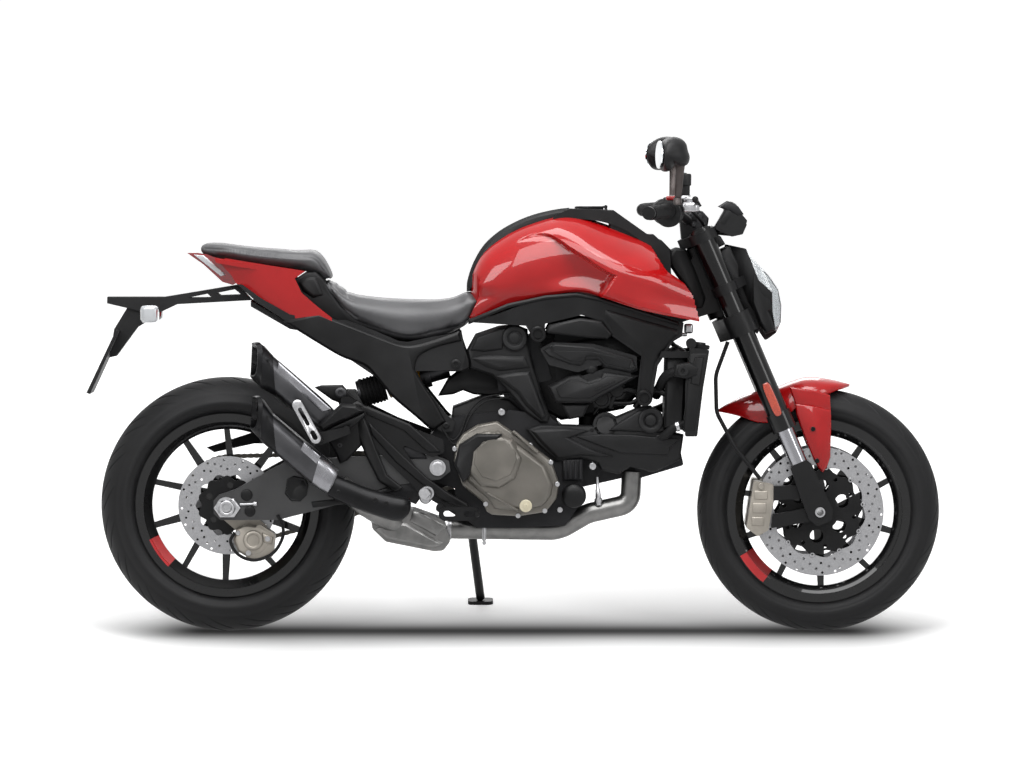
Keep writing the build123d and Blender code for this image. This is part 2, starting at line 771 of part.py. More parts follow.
# ---------------------------------------------------------------- engine
front_cylinder_dir = (cos(radians(FRONT_CYLINDER_TILT)), sin(radians(FRONT_CYLINDER_TILT)))
rear_cylinder_dir = (-front_cylinder_dir[1], front_cylinder_dir[0])


def cylinder_outline(direction, start, end, half_start, half_end):
    """A tapered side outline along one cylinder's axis."""
    across = (-direction[1], direction[0])

    def at(along, side):
        return (
            CRANK[0] + along * direction[0] + side * across[0],
            CRANK[1] + along * direction[1] + side * across[1],
        )

    return [at(start, -half_start), at(end, -half_end), at(end, half_end), at(start, half_start)]


def cylinder(direction):
    """A barrel with the wider head on its end."""
    return joined(
        slab(cylinder_outline(direction, 60, CYLINDER_LENGTH - 100, 58, 58), 62, -62),
        slab(cylinder_outline(direction, CYLINDER_LENGTH - 120, CYLINDER_LENGTH, 68, 60), 74, -74, 6),
    )


case_outline = [
    (668, 300), (668, 520), (700, 556), (800, 540), (884, 470), (884, 330), (840, 268), (700, 262),
]
gearbox_outline = [
    (700, 262), (620, 262), (572, 300), (566, 360), (505, 380), (492, 414), (505, 492), (535, 530), (610, 545),
    (700, 550),
]
gearbox_left = CHAIN_Y - CHAIN_HALF_WIDTH - RUN_GAP
stand_root = (604, 76, 304)
stand_lug = without(
    joined(
        rod(STAND_PIVOT, stand_root, 7),
        vector_rod(stand_pivot - stand_axis * STAND_LUG_HALF, stand_pivot + stand_axis * STAND_LUG_HALF, 14),
    ),
    vector_rod(stand_pivot - stand_axis * 30, stand_pivot + stand_axis * 30, STAND_PIN_RADIUS + SLIDE_GAP),
)
engine_block = joined(
    stand_lug,
    slab(case_outline, CASE_HALF, -CASE_HALF),
    slab(gearbox_outline, gearbox_left, -CASE_HALF),
    cylinder(front_cylinder_dir),
    cylinder(rear_cylinder_dir),
    slab([(680, 264), (820, 264), (800, 232), (700, 232)], 70, -70),
    cross_rod(SUBFRAME_FRONT_BOLT, 14, CASE_HALF, -CASE_HALF),
    slab([(572, 660), (690, 640), (690, 684), (572, 684)], 30, -30),
    cross_rod((527, 468), 12, ARM_OUTER + 1, -ARM_OUTER - 1),
    cross_rod((590, 306), 12, ARM_OUTER + 1, -ARM_OUTER - 1),
    cross_rod(SUBFRAME_LOWER_BOLT, 15, CASE_HALF, -CASE_HALF),
)

clutch_outline = [
    (627, 519), (660, 529), (684, 519), (799, 428), (825, 400), (827, 347), (799, 309), (727, 295), (665, 297),
    (646, 319), (594, 366), (567, 419), (570, 457), (589, 490),
]


def clutch_cover():
    """The right cover: a stepped casting with a round bulge over the clutch."""
    with BuildPart() as cover:
        add(slab(clutch_outline, -CASE_HALF, -CLUTCH_OUTER + 34, 8))
        with BuildSketch(side_plane(-CLUTCH_OUTER + 34)):
            with BuildLine():
                Polyline(*clutch_outline, close=True)
            make_face()
            offset(amount=-10)
        extrude(amount=22, taper=20)
        with BuildSketch(side_plane(-CLUTCH_OUTER + 14)):
            with Locations((651, 414)):
                Circle(74)
        extrude(amount=14, taper=18)
    return cover.part


def alternator_cover():
    """The left cover over the flywheel, with the guard over the output sprocket."""
    guard = [(690, 300), (690, 470), (640, 492), (584, 480), (568, 440), (574, 350), (620, 300)]
    with BuildPart() as cover:
        with BuildSketch(side_plane(CASE_HALF)):
            with Locations(CRANK):
                Circle(86)
        extrude(amount=-56, taper=10)
        add(slab(guard, CHAIN_Y + 26, CHAIN_Y + 14, 12))
        add(slab([(676, 310), (720, 310), (720, 480), (676, 460)], CHAIN_Y + 26, CASE_HALF))
    return cover.part


engine_covers = joined(clutch_cover(), alternator_cover())

front_belt_outline = [
    (748, 516), (811, 531), (910, 524), (927, 546), (953, 550), (1026, 563), (1082, 554), (1107, 507), (1131, 481),
    (1127, 434), (1060, 404), (940, 402), (838, 425),
]
rear_belt_outline = [
    (600, 726), (650, 752), (695, 765), (742, 752), (755, 690), (803, 537), (785, 527), (725, 576), (596, 688),
]
belt_inner = 74


def belt_covers_solid():
    """The toothed belt covers down the right side of both cylinders."""
    with BuildPart() as covers:
        add(slab(front_belt_outline, -belt_inner, -118, 6))
        add(slab(rear_belt_outline, -belt_inner, -112))
        for centre, radius in (((1054, 533), 26), ((940, 500), 24), ((715, 725), 32)):
            add(cross_rod(centre, radius, -110, -126))
        add(engine_block, mode=Mode.SUBTRACT)
        add(clutch_cover(), mode=Mode.SUBTRACT)
    return covers.part


belt_covers = belt_covers_solid()

air_upper = [(777, 708), (807, 724), (910, 720), (1017, 690), (1017, 655), (940, 672), (870, 650), (800, 668)]
air_lower = [(812, 612), (837, 574), (910, 578), (979, 627), (1017, 644), (940, 660), (880, 640)]
airbox_outline = [
    (822, 612), (845, 580), (910, 580), (985, 630), (1012, 660), (1012, 690), (960, 736), (900, 770), (820, 765),
    (808, 700),
]
airbox_half = 81


def air_covers_solid():
    """The airbox between the cylinders, its intake stubs and the covers on its sides."""
    with BuildPart() as box:
        add(slab(airbox_outline, airbox_half, -airbox_half))
        add(pair_slab(air_upper, airbox_half - 1, 140, 6))
        add(pair_slab(air_lower, airbox_half - 1, 136, 6))
        add(rod((900, 0, 600), (900, 0, 470), 26))
        add(rod((840, 0, 660), (790, 0, 648), 24))
        add(engine_block, mode=Mode.SUBTRACT)
    return box.part


air_covers = air_covers_solid()

radiator_outline = [(1155, 705), (1191, 700), (1176, 610), (1162, 500), (1140, 500), (1140, 619)]
radiator_lug = [(1078, 702), (1154, 702), (1154, 686), (1072, 686)]
radiator = joined(
    pair_slab(radiator_lug, FRAME_OUTER + SEAT_GAP, 151),
    slab(radiator_outline, 150, -150),
    slab([(1150, 712), (1196, 706), (1180, 608), (1166, 492), (1136, 492), (1136, 620)], 172, 150, 4),
    slab([(1150, 712), (1196, 706), (1180, 608), (1166, 492), (1136, 492), (1136, 620)], -150, -172, 4),
    cross_rod((1151, 722), 13, -150, -168),
)

# ---------------------------------------------------------------- frame
head_low, head_high = LOWER_YOKE_AT + YOKE_LOWER_THICK + RUN_GAP, TOP_YOKE_AT - RUN_GAP
plate_outline = [
    (597, 774), (661, 790), (712, 809), (788, 832), (877, 844), (922, 835), (1011, 809), (1133, 772), (1129, 739),
    (1107, 726), (1069, 666), (1056, 590), (1035, 566), (1016, 587), (1028, 690), (957, 739), (927, 778), (880, 792),
    (790, 770), (788, 735), (760, 735), (742, 765),
]
head_outline = [
    fork_point(head_low + 14, -FORK_OFFSET), fork_point(head_high - 10, -FORK_OFFSET), (1128, 868), (1060, 816),
    (1046, 776), (1133, 772),
]


def frame_casting():
    """The front frame: two side plates carried by the steering head."""
    with BuildPart() as frame:
        add(slab(head_outline, 42, -42))
        add(slab([(1050, 776), (1129, 752), (1133, 772), (1060, 800)], FRAME_OUTER, -FRAME_OUTER))
        add(pair_slab(plate_outline, FRAME_INNER, FRAME_OUTER))
        add(fork_round(head_low, head_high, 34, 0, -FORK_OFFSET))
        add(
            fork_round(head_low - 1, head_high + 1, stem_radius + SLIDE_GAP, 0, -FORK_OFFSET),
            mode=Mode.SUBTRACT,
        )
        for at in ((1035, 587), (772, 743)):
            add(cross_rod(at, 17, FRAME_INNER + 1, 62))
            add(cross_rod(at, 17, -62, -FRAME_INNER - 1))
        add(engine_block, mode=Mode.SUBTRACT)
    return frame.part


front_frame = frame_casting()

subframe_outline = [
    (26, 868), (77, 822), (145, 778), (291, 691), (383, 629), (503, 525), (535, 500), (560, 503), (566, 525),
    (545, 545), (492, 611), (470, 652), (552, 654), (584, 654), (592, 690), (581, 748), (512, 737), (449, 724),
    (426, 727), (368, 752), (297, 778), (224, 779), (157, 793), (85, 833), (40, 866),
]
subframe_inner, subframe_outer = CASE_HALF, 118
tray = [
    (60, 826), (157, 770), (297, 748), (368, 724), (449, 700), (570, 722), (570, 708), (449, 686), (297, 734),
    (157, 756), (60, 812),
]


def subframe_solid():
    """The seat frame: two side plates with a tray between them."""
    with BuildPart() as frame:
        add(pair_slab(subframe_outline, subframe_inner, subframe_outer))
        add(slab(tray, subframe_inner + 1, -subframe_inner - 1))
        add(engine_block, mode=Mode.SUBTRACT)
    return frame.part


seat_subframe = subframe_solid()

arm_outline = [
    (-31, 300), (-31, 332), (-18, 346), (23, 360), (118, 413), (152, 430), (300, 440), (420, 444), (515, 446),
    (552, 430), (556, 405), (530, 385), (400, 368), (309, 332), (242, 313), (128, 284), (85, 284), (-14, 284),
]
arm_window = [(150, 350), (200, 356), (176, 396)]


def swingarm_solid():
    """Two arms, the bridge between them and the shock's upright."""
    with BuildPart() as arm:
        add(pair_slab(arm_outline, ARM_INNER, ARM_OUTER, 5))
        add(pair_slab(arm_window, ARM_INNER - 1, ARM_OUTER + 1, 5), mode=Mode.SUBTRACT)
        add(slab([(346, 350), (420, 364), (434, 420), (346, 424)], ARM_INNER + 1, -ARM_INNER - 1, 8))
        add(pair_slab([(362, 410), (424, 410), (318, 602), (282, 602), (276, 570)], 36, 48, 6))
        add(slab([(352, 470), (372, 470), (392, 410), (366, 410)], 38, -38))
        add(cross_rod(REAR_AXLE, AXLE_RADIUS + 0.2, 200, -200), mode=Mode.SUBTRACT)
        add(cross_rod(SWINGARM_PIVOT, 13.2, 200, -200), mode=Mode.SUBTRACT)
        for end, inside in ((ARM_OUTER + 1, ARM_OUTER - BOBBIN_DEPTH), (BOBBIN_DEPTH - ARM_OUTER, -ARM_OUTER - 1)):
            add(cross_rod(BOBBIN_AT, BOBBIN_RADIUS, end, inside), mode=Mode.SUBTRACT)
        add(engine_block, mode=Mode.SUBTRACT)
    return arm.part


swingarm = swingarm_solid()
pivot_end = ARM_OUTER + 6
swingarm_pivot = joined(
    cross_rod(SWINGARM_PIVOT, 13, ARM_OUTER, gearbox_left),
    cross_rod(SWINGARM_PIVOT, 13, -CASE_HALF, -ARM_OUTER),
    cross_rod(SWINGARM_PIVOT, 20, pivot_end, ARM_OUTER),
    cross_rod(SWINGARM_PIVOT, 20, -ARM_OUTER, -pivot_end),
)

rear_axle = joined(
    cross_rod(REAR_AXLE, AXLE_RADIUS, ARM_OUTER + 14, -ARM_OUTER - 14, AXLE_BORE),
    cross_rod(REAR_AXLE, 24, ARM_OUTER + 8, ARM_OUTER + SEAT_GAP, AXLE_RADIUS),
    cross_rod(REAR_AXLE, 24, -ARM_OUTER - SEAT_GAP, -ARM_OUTER - 8, AXLE_RADIUS),
    cross_rod(REAR_AXLE, 20, ARM_INNER - SEAT_GAP, CHAIN_Y + SPROCKET_THICK / 2 + 2, AXLE_RADIUS),
    cross_rod(REAR_AXLE, 20, -REAR_DISC_Y - DISC_THICK / 2 - 1, -ARM_INNER + SEAT_GAP, AXLE_RADIUS),
)

# Rear brake: a caliper under the swingarm with its slot round the disc.
rear_caliper_at = (71, 227)


def rear_caliper_solid():
    """The rear caliper and the bracket that hangs it from the axle."""
    at = rear_caliper_at
    shape = [(-34, 6), (-20, -46), (44, -36), (50, 20), (10, 46)]
    body = [(at[0] + x, at[1] + z) for x, z in shape]
    hanger = [(-26, 310), (-18, 290), (40, 240), (104, 262), (60, 300), (24, 334)]
    slot_half = DISC_THICK / 2 + RUN_GAP
    with BuildPart() as caliper:
        add(slab(body, -REAR_DISC_Y + 24, -ARM_INNER + 1, 8))
        add(slab(hanger, -REAR_DISC_Y - slot_half, -REAR_DISC_Y - slot_half - 12, 5))
        add(
            cross_rod(REAR_AXLE, REAR_DISC_RADIUS + RUN_GAP, -REAR_DISC_Y + slot_half, -REAR_DISC_Y - slot_half),
            mode=Mode.SUBTRACT,
        )
        add(cross_rod(REAR_AXLE, 20.3, 0, -200), mode=Mode.SUBTRACT)
    return caliper.part


rear_caliper = rear_caliper_solid()


# Chain: one loop with two rows of plates and the rollers' band between them.
def chain_line(grow):
    """The chain's outline, grown outwards, as an outer belt line round both sprockets."""
    big, small = REAR_PITCH_RADIUS + grow, FRONT_PITCH_RADIUS + grow
    run_x = OUTPUT_SHAFT[0] - REAR_AXLE[0]
    run_z = OUTPUT_SHAFT[1] - REAR_AXLE[1]
    slope = atan2(run_z, run_x)
    spread = asin((big - small) / hypot(run_x, run_z))
    top, low = radians(90) + slope - spread, radians(-90) + slope + spread

    def touch(centre, radius, angle):
        return (centre[0] + radius * cos(angle), centre[1] + radius * sin(angle))

    far_rear = (REAR_AXLE[0] - big * cos(slope), REAR_AXLE[1] - big * sin(slope))
    far_front = (OUTPUT_SHAFT[0] + small * cos(slope), OUTPUT_SHAFT[1] + small * sin(slope))
    with BuildLine() as line:
        Line(touch(REAR_AXLE, big, top), touch(OUTPUT_SHAFT, small, top))
        ThreePointArc(touch(OUTPUT_SHAFT, small, top), far_front, touch(OUTPUT_SHAFT, small, low))
        Line(touch(OUTPUT_SHAFT, small, low), touch(REAR_AXLE, big, low))
        ThreePointArc(touch(REAR_AXLE, big, low), far_rear, touch(REAR_AXLE, big, top))
    return line.edges()


def chain_band(half_high, y_left, y_right):
    """One band of the chain's section, all round the loop."""
    with BuildPart() as band:
        with BuildSketch(side_plane(y_left)):
            make_face(chain_line(half_high))
        extrude(amount=y_left - y_right)
        with BuildSketch(side_plane(y_left)):
            make_face(chain_line(-half_high))
        extrude(amount=y_left - y_right, mode=Mode.SUBTRACT)
    return band.part


plate_gap = SPROCKET_THICK / 2 + 1.2
drive_chain = joined(
    chain_band(CHAIN_HALF_HEIGHT, CHAIN_Y + CHAIN_HALF_WIDTH, CHAIN_Y + plate_gap),
    chain_band(CHAIN_HALF_HEIGHT, CHAIN_Y - plate_gap, CHAIN_Y - CHAIN_HALF_WIDTH),
    chain_band(CHAIN_HALF_HEIGHT - 1, CHAIN_Y + plate_gap, CHAIN_Y - plate_gap),
)
output_sprocket = joined(
    sprocket(FRONT_TEETH, FRONT_PITCH_RADIUS, 12, CHAIN_Y).moved(Location((OUTPUT_SHAFT[0], 0, OUTPUT_SHAFT[1]))),
    cross_rod(OUTPUT_SHAFT, 12, CHAIN_Y + 8, gearbox_left + SEAT_GAP),
)
guard_side = [
    (-60, 452), (74, 496), (300, 490), (340, 470), (300, 436), (260, 436), (240, 462), (60, 462), (-40, 440),
]
chain_guard = without(
    joined(
        slab(guard_side, ARM_INNER + 15, ARM_INNER + 7),
        slab([(80, 494), (296, 488.5), (296, 483.5), (80, 489)], ARM_INNER + 13, ARM_INNER - 21),
    ),
    swingarm,
)

# Shock absorber, laid forward over the swingarm.
shock_rear, shock_front = (299, 583), (562, 660)


def shock_point(share, y=0.0):
    """A point on the shock's axis."""
    return (
        shock_rear[0] + (shock_front[0] - shock_rear[0]) * share,
        y,
        shock_rear[1] + (shock_front[1] - shock_rear[1]) * share,
    )


shock_absorber = joined(
    cross_rod(shock_rear, 12, 36 - SEAT_GAP, SEAT_GAP - 36),
    rod(shock_point(0.0), shock_point(0.55), 8),
    rod(shock_point(0.10), shock_point(0.14), 33),
    rod(shock_point(0.42), shock_point(0.95), 24),
    rod(shock_point(0.72), shock_point(0.77), 33),
)


def spring_solid():
    """The spring, kept as a hollow sleeve of its own outer and inner size."""
    return rod(shock_point(0.141), shock_point(0.719), 33, 24.4)


shock_spring = spring_solid()

# ---------------------------------------------------------------- exhaust
silencer_tilt = 40.3
silencer_dir = (cos(radians(silencer_tilt)), 0, -sin(radians(silencer_tilt)))


def can_plane(at, distance=0.0):
    """A plane square to the silencers' axis: x to the left, y up and forward."""
    return Plane(origin=at, x_dir=(0, 1, 0), z_dir=silencer_dir).offset(distance)


def can(at, sections, corner=22):
    """A silencer piece through (distance, width, height) sections."""
    with BuildPart() as body:
        for distance, wide, high in sections:
            with BuildSketch(can_plane(at, distance)):
                RectangleRounded(wide, high, corner)
        loft(ruled=True)
    return body.part


lower_can_at = (113, -ARM_OUTER - 49, 518)
upper_can_at = (101, -ARM_OUTER - 29, 652)
silencers = joined(
    can(lower_can_at, [(0, 96, 132), (196, 76, 74), (222, 70, 66)]),
    can(upper_can_at, [(0, 92, 116), (160, 78, 82), (200, 64, 58)]),
)
lower_cap = without(
    can(lower_can_at, [(-52, 82, 116), (-SEAT_GAP, 98, 134)]),
    can(lower_can_at, [(-60, 64, 94), (-24, 64, 94)], 18),
)
upper_cap = without(
    can(upper_can_at, [(-52, 80, 104), (-SEAT_GAP, 96, 120)]),
    can(upper_can_at, [(-60, 62, 84), (-24, 62, 84)], 18),
)
silencer_caps = without(joined(lower_cap, upper_cap), silencers)

box_outline = [(357, 294), (362, 262), (395, 230), (515, 206), (538, 208), (556, 232), (538, 284), (462, 311)]


def can_end(at, distance):
    """The middle of a silencer's front end."""
    spot = can_plane(at, distance).origin
    return (spot.X, spot.Y, spot.Z)


lower_end = can_end(lower_can_at, 222 + SEAT_GAP)
header = bent_tube(
    [(552, -60, 258), (824, -60, 254), (896, -60, 296), (1002, -60, 320), (1006, -60, 400)],
    [90, 90, 34],
    HEADER_RADIUS,
)


def exhaust_solid():
    """Header pipe, catalyst box and the pipe up to the silencers."""
    elbow = can_end(lower_can_at, 222 + 70)
    link = bent_tube([lower_end, elbow, (420, -120, 272)], [60], 27)
    with BuildPart() as pipes:
        add(slab(box_outline, -14, -140, 14))
        add(header)
        add(link)
        add(engine_block, mode=Mode.SUBTRACT)
        add(belt_covers, mode=Mode.SUBTRACT)
    return pipes.part


exhaust_pipes = exhaust_solid()
shield_outline = [(276, 413), (453, 337), (457, 303), (429, 284), (333, 308), (252, 351)]
exhaust_shield = without(slab(shield_outline, -ARM_OUTER - 81, -ARM_OUTER - 87, 8), silencers)

# ---------------------------------------------------------------- tank, seats and tail


def tank_section(x, bottom, bottom_half, waist, waist_at, shoulder, shoulder_at, top):
    """One cross section of the tank: a flat bottom under a smooth bell."""
    with BuildSketch(Plane.YZ.offset(x)) as section:
        with BuildLine():
            Line((-bottom_half, bottom), (bottom_half, bottom))
            Spline(
                (bottom_half, bottom), (waist, waist_at), (shoulder, shoulder_at), (0, top),
                (-shoulder, shoulder_at), (-waist, waist_at), (-bottom_half, bottom),
            )
        make_face()
    return section.sketch.face()


tank_rear = 604
yoke_rear = fork_point(TOP_YOKE_AT, -FORK_OFFSET - stem_radius - 14)
tank_length = yoke_rear[0] - 49.5 - tank_rear
seat_nose = [(585, 846), (598, 851), (626, 832), (600, 782), (585, 772)]
seat_nose_half = 84


def tank_at(share):
    """The X of a place along the tank, from its rear edge (0) to the steering head (1)."""
    return tank_rear + share * tank_length


def tank_solid():
    """The tank, lofted through its cross sections, cut for the steering head and hollowed at its flanks."""
    sections = [
        tank_section(tank_at(0), 776, 84, 98, 830, 70, 862, 876),
        tank_section(tank_at(0.12), 786, 104, 124, 862, 92, 930, 972),
        tank_section(tank_at(0.33), 820, 124, 152, 896, 112, 984, 1022),
        tank_section(tank_at(0.58), 838, 136, 176, 908, 124, 990, 1040),
        tank_section(tank_at(0.83), 810, 150, 176, 890, 116, 966, 1006),
        tank_section(tank_at(1), 786, 150, 172, 850, 108, 892, 922),
    ]
    tunnel = [(990, 780), (1300, 700), (1300, 960), (1150, 905), (1040, 872), (990, 830)]
    hollow = [(tank_at(0.40), 984), (tank_at(0.75), 890), (tank_at(0.67), 842), (tank_at(0.585), 888)]
    with BuildPart() as tank:
        loft(sections)
        add(slab(tunnel, 48, -48), mode=Mode.SUBTRACT)
        add(pair_slab(hollow, 157, 220), mode=Mode.SUBTRACT)
    return tank.part


def tank_wing():
    """The right wing: it stands out from the flank below the crease and runs on past the tank's front."""
    side = [
        (tank_at(0.745), 892), (tank_at(1) + 76, 838), (tank_at(1) + 88, 782), (tank_at(0.9), 803),
        (tank_at(0.668), 841),
    ]
    plan = [
        (tank_at(0.6), -128), (tank_at(0.6), -172), (tank_at(0.75), -186), (tank_at(1), -186),
        (tank_at(1) + 96, -176), (tank_at(1) + 96, -146), (tank_at(0.95), -146),
    ]
    with BuildPart() as wing:
        add(slab(side, -100, -190, 5))
        with BuildSketch(Plane.XY):
            with BuildLine():
                Polyline(*plan, close=True)
            make_face()
        extrude(amount=1100, mode=Mode.INTERSECT)
    return wing.part


right_wing = tank_wing()
fuel_tank = without(joined(tank_solid(), right_wing, mirrored(right_wing)), front_frame)
fuel_tank = without(fuel_tank, slab(seat_nose, seat_nose_half + SEAT_GAP, -seat_nose_half - SEAT_GAP))

cover_front = yoke_rear[0] - 29
cover_outline = [
    (800, 1020), (820, 1040), (850, 1054), (961, 1050), (cover_front - 55, 990), (cover_front - 40, 990),
    (cover_front, 953), (cover_front + 4, 880), (cover_front - 20, 880),
]


def top_cover():
    """The black cover along the tank's spine, seated on the tank."""
    with BuildPart() as cover:
        add(slab(cover_outline, 62, -62, 6))
        add(fuel_tank, mode=Mode.SUBTRACT)
        add(front_frame, mode=Mode.SUBTRACT)
    return cover.part


cap_radius = 36
cap_at = (900, 0, 1053.4)
cap_sink = 6
tank_top_cover = top_cover()
with BuildPart() as cap_bore:
    with BuildSketch(Plane.XY.offset(cap_at[2] - cap_sink)):
        with Locations((cap_at[0], 0)):
            Circle(cap_radius + 1)
    extrude(amount=60)
with BuildPart() as filler_bore:
    with BuildSketch(Plane.XY.offset(cap_at[2] - 60)):
        with Locations((cap_at[0], 0)):
            Circle(26)
    extrude(amount=70)
cap_hinge = (cap_at[0] + cap_radius + 6, 0, cap_at[2] + 5)
hinge_at = (cap_hinge[0], cap_hinge[2])
knuckle_half, hinge_pin = 7, 2
ear_low = cap_at[2] - 8.4
ear = [
    (hinge_at[0] - 4, ear_low), (hinge_at[0] + 4, ear_low), (hinge_at[0] + 3, hinge_at[1]),
    (hinge_at[0] - 3, hinge_at[1]),
]
tank_top_cover = joined(
    without(tank_top_cover, cap_bore.part, filler_bore.part),
    pair_slab(ear, knuckle_half + SLIDE_GAP, knuckle_half + 5),
    cross_rod(hinge_at, 4.2, knuckle_half + 5, knuckle_half + SLIDE_GAP),
    cross_rod(hinge_at, 4.2, -knuckle_half - SLIDE_GAP, -knuckle_half - 5),
    cross_rod(hinge_at, hinge_pin, knuckle_half + 1, -knuckle_half - 1),
)
fuel_tank = without(fuel_tank, filler_bore.part)
web = [
    (hinge_at[0] - 12, hinge_at[1] - 3), (hinge_at[0], hinge_at[1] - 4), (hinge_at[0], hinge_at[1] + 3),
    (hinge_at[0] - 12, hinge_at[1] + 1),
]
with BuildPart() as cap:
    with BuildSketch(Plane.XY.offset(cap_at[2] - cap_sink + SEAT_GAP)):
        with Locations((cap_at[0], 0)):
            Circle(cap_radius)
    extrude(amount=cap_sink + 6)
    chamfer(cap.edges().group_by(Axis.Z)[-1], 2)
    add(slab(web, knuckle_half, -knuckle_half))
    add(cross_rod(hinge_at, 4.2, knuckle_half, -knuckle_half))
    add(cross_rod(hinge_at, hinge_pin + SLIDE_GAP, 20, -20), mode=Mode.SUBTRACT)
fuel_cap = cap.part


def seat_solid(upper, lower, plan):
    """A cushion: its side outline cut to its plan outline."""
    with BuildPart() as seat:
        add(smooth_slab(upper, lower, 130, -130))
        with BuildSketch(Plane.XY):
            with BuildLine():
                Spline(*plan)
                Spline(*[(x, -y) for x, y in plan])
                Line((plan[0][0], plan[0][1]), (plan[0][0], -plan[0][1]))
                Line((plan[-1][0], plan[-1][1]), (plan[-1][0], -plan[-1][1]))
            make_face()
        extrude(amount=1100, mode=Mode.INTERSECT)
    return seat.part


rider_seat = seat_solid(
    [(255, 880), (314, 842), (368, 833), (455, 826), (535, 826), (600, 850)],
    [(255, 880), (278, 806), (368, 750), (449, 722), (512, 735), (600, 762), (600, 850)],
    [(255, 100), (380, 124), (500, 112), (600, 84)],
)
rider_seat = joined(rider_seat, slab(seat_nose, seat_nose_half, -seat_nose_half))
passenger_seat = seat_solid(
    [(-72, 958), (0, 966), (97, 955), (221, 950), (262, 892)],
    [(-72, 958), (-60, 947), (65, 928), (197, 908), (262, 892)],
    [(-72, 56), (60, 92), (170, 106), (262, 96)],
)
rider_seat = without(rider_seat, fuel_tank, front_frame, seat_subframe)
passenger_seat = without(passenger_seat, rider_seat)

tail_outline = [
    (-34, 936), (62, 921), (196, 900), (170, 882), (187, 846), (219, 818), (262, 784), (262, 772), (224, 772),
    (157, 786), (80, 828), (24, 868), (10, 890),
]


def tail_panels():
    """The tail's side panels, narrowing to the rear."""
    outer = [(-40, 62), (60, 96), (170, 118), (270, 126)]
    inner = [(x, y - 10) for x, y in outer]
    with BuildPart() as panels:
        add(slab(tail_outline, 140, -140))
        with BuildSketch(Plane.XY):
            with BuildLine():
                Spline(*outer)
                Spline(*inner)
                Line(outer[0], inner[0])
                Line(outer[-1], inner[-1])
            make_face()
            mirror(about=Plane.XZ)
        extrude(amount=1100, mode=Mode.INTERSECT)
        add(slab([(-30, 930), (60, 915), (160, 896), (160, 888), (60, 905), (-26, 920)], 100, -100))
    return panels.part


tail_fairing = without(tail_panels(), passenger_seat, seat_subframe, rider_seat)

tail_lamp = slab([(-100, 944), (-72, 944), (-24, 936), (34, 876), (14, 864), (-12, 872), (-60, 916)], 54, -54)
indicator_at = (-189, 794)
rear_lights = without(
    joined(tail_lamp, pair_slab([(-205, 782), (-172, 780), (-168, 806), (-204, 810)], 78, 150, 4)),
    tail_fairing,
    seat_subframe,
    passenger_seat,
)

bracket_arm = [(24, 864), (-157, 834), (-300, 834), (-300, 818), (-180, 790), (-125, 816), (60, 826)]
arm_holes = [
    [(-26, 844), (18, 853), (34, 840), (-18, 838)],
    [(-98, 832), (-50, 842), (-40, 833)],
]
hanger = [(-240, 824), (-185, 826), (-180, 786), (-225, 758), (-277, 687), (-295, 683), (-283, 754)]


def plate_bracket_solid():
    """The rear arm that carries the number plate and the indicators."""
    with BuildPart() as bracket:
        add(slab(bracket_arm, 34, -34))
        for hole in arm_holes:
            add(slab(hole, 40, -40), mode=Mode.SUBTRACT)
        add(slab(hanger, 26, -26))
        add(slab([(-275, 753), (-268, 750), (-340, 594), (-349, 597)], 90, -90))
        add(cross_rod(indicator_at, 7, 79, -79))
        add(seat_subframe, mode=Mode.SUBTRACT)
        add(tail_fairing, mode=Mode.SUBTRACT)
        add(rear_lights, mode=Mode.SUBTRACT)
    return bracket.part


plate_bracket = plate_bracket_solid()

# ---------------------------------------------------------------- footpegs, levers and stand
peg_plate_inner, peg_plate_outer = ARM_OUTER + 1, ARM_OUTER + 11
plate_shape = [
    (304, 590), (350, 562), (420, 528), (538, 484), (540, 452), (512, 440), (430, 474), (486, 394), (604, 320),
    (600, 292), (576, 292), (480, 352), (400, 430), (333, 505), (286, 500), (282, 560), (286, 590),
]
rider_peg_at = (498, 352)
peg_pivot = (228, 486)
peg_lean = 28.5  # the folded peg's slope back from upright
peg_length = 118
peg_up = Vector(-sin(radians(peg_lean)), 0, cos(radians(peg_lean)))
hinge_dir = Vector(cos(radians(peg_lean)), 0, sin(radians(peg_lean)))
eye_half = 8
hanger_shape = [(308, 520), (310, 502), (236, 474), (216, 480), (216, 498), (236, 506)]
PEG_REACH_RIGHT, PEG_REACH_LEFT = 266, 214


def peg_hanger(reach):
    """The right plate, with a stub out to the yoke of the folding passenger peg."""
    pivot = Vector(peg_pivot[0], -reach, peg_pivot[1])
    arm_outer = reach - 16
    with BuildPart() as plate:
        add(slab(plate_shape, -peg_plate_inner, -peg_plate_outer, 5))
        add(cross_rod((300, 512), 9, -peg_plate_outer + 1, -arm_outer))
        add(slab(hanger_shape, -arm_outer + 10, -arm_outer, 4))
        add(rod(tuple(pivot - hinge_dir * 15), tuple(pivot + hinge_dir * 15), 4))
        for side in (-1, 1):
            ear = pivot + hinge_dir * (side * (eye_half + SLIDE_GAP))
            add(rod(tuple(ear), tuple(ear + hinge_dir * (side * 6)), 9))
            middle = ear + hinge_dir * (side * 3)
            add(rod((middle.X, -arm_outer + 2, middle.Z), (middle.X, -reach, middle.Z), 2.9))
    return plate.part


def passenger_peg(reach):
    """A folding peg on the right, drawn folded up, with the eye round its pin."""
    pivot = Vector(peg_pivot[0], -reach, peg_pivot[1])
    with BuildPart() as peg:
        add(rod(tuple(pivot + peg_up * 4), tuple(pivot + peg_up * 30), 6.5))
        add(rod(tuple(pivot + peg_up * 26), tuple(pivot + peg_up * peg_length), 11))
        add(rod(tuple(pivot - hinge_dir * eye_half), tuple(pivot + hinge_dir * eye_half), 9))
        add(
            rod(tuple(pivot - hinge_dir * 20), tuple(pivot + hinge_dir * 20), 4 + SLIDE_GAP),
            mode=Mode.SUBTRACT,
        )
    return peg.part


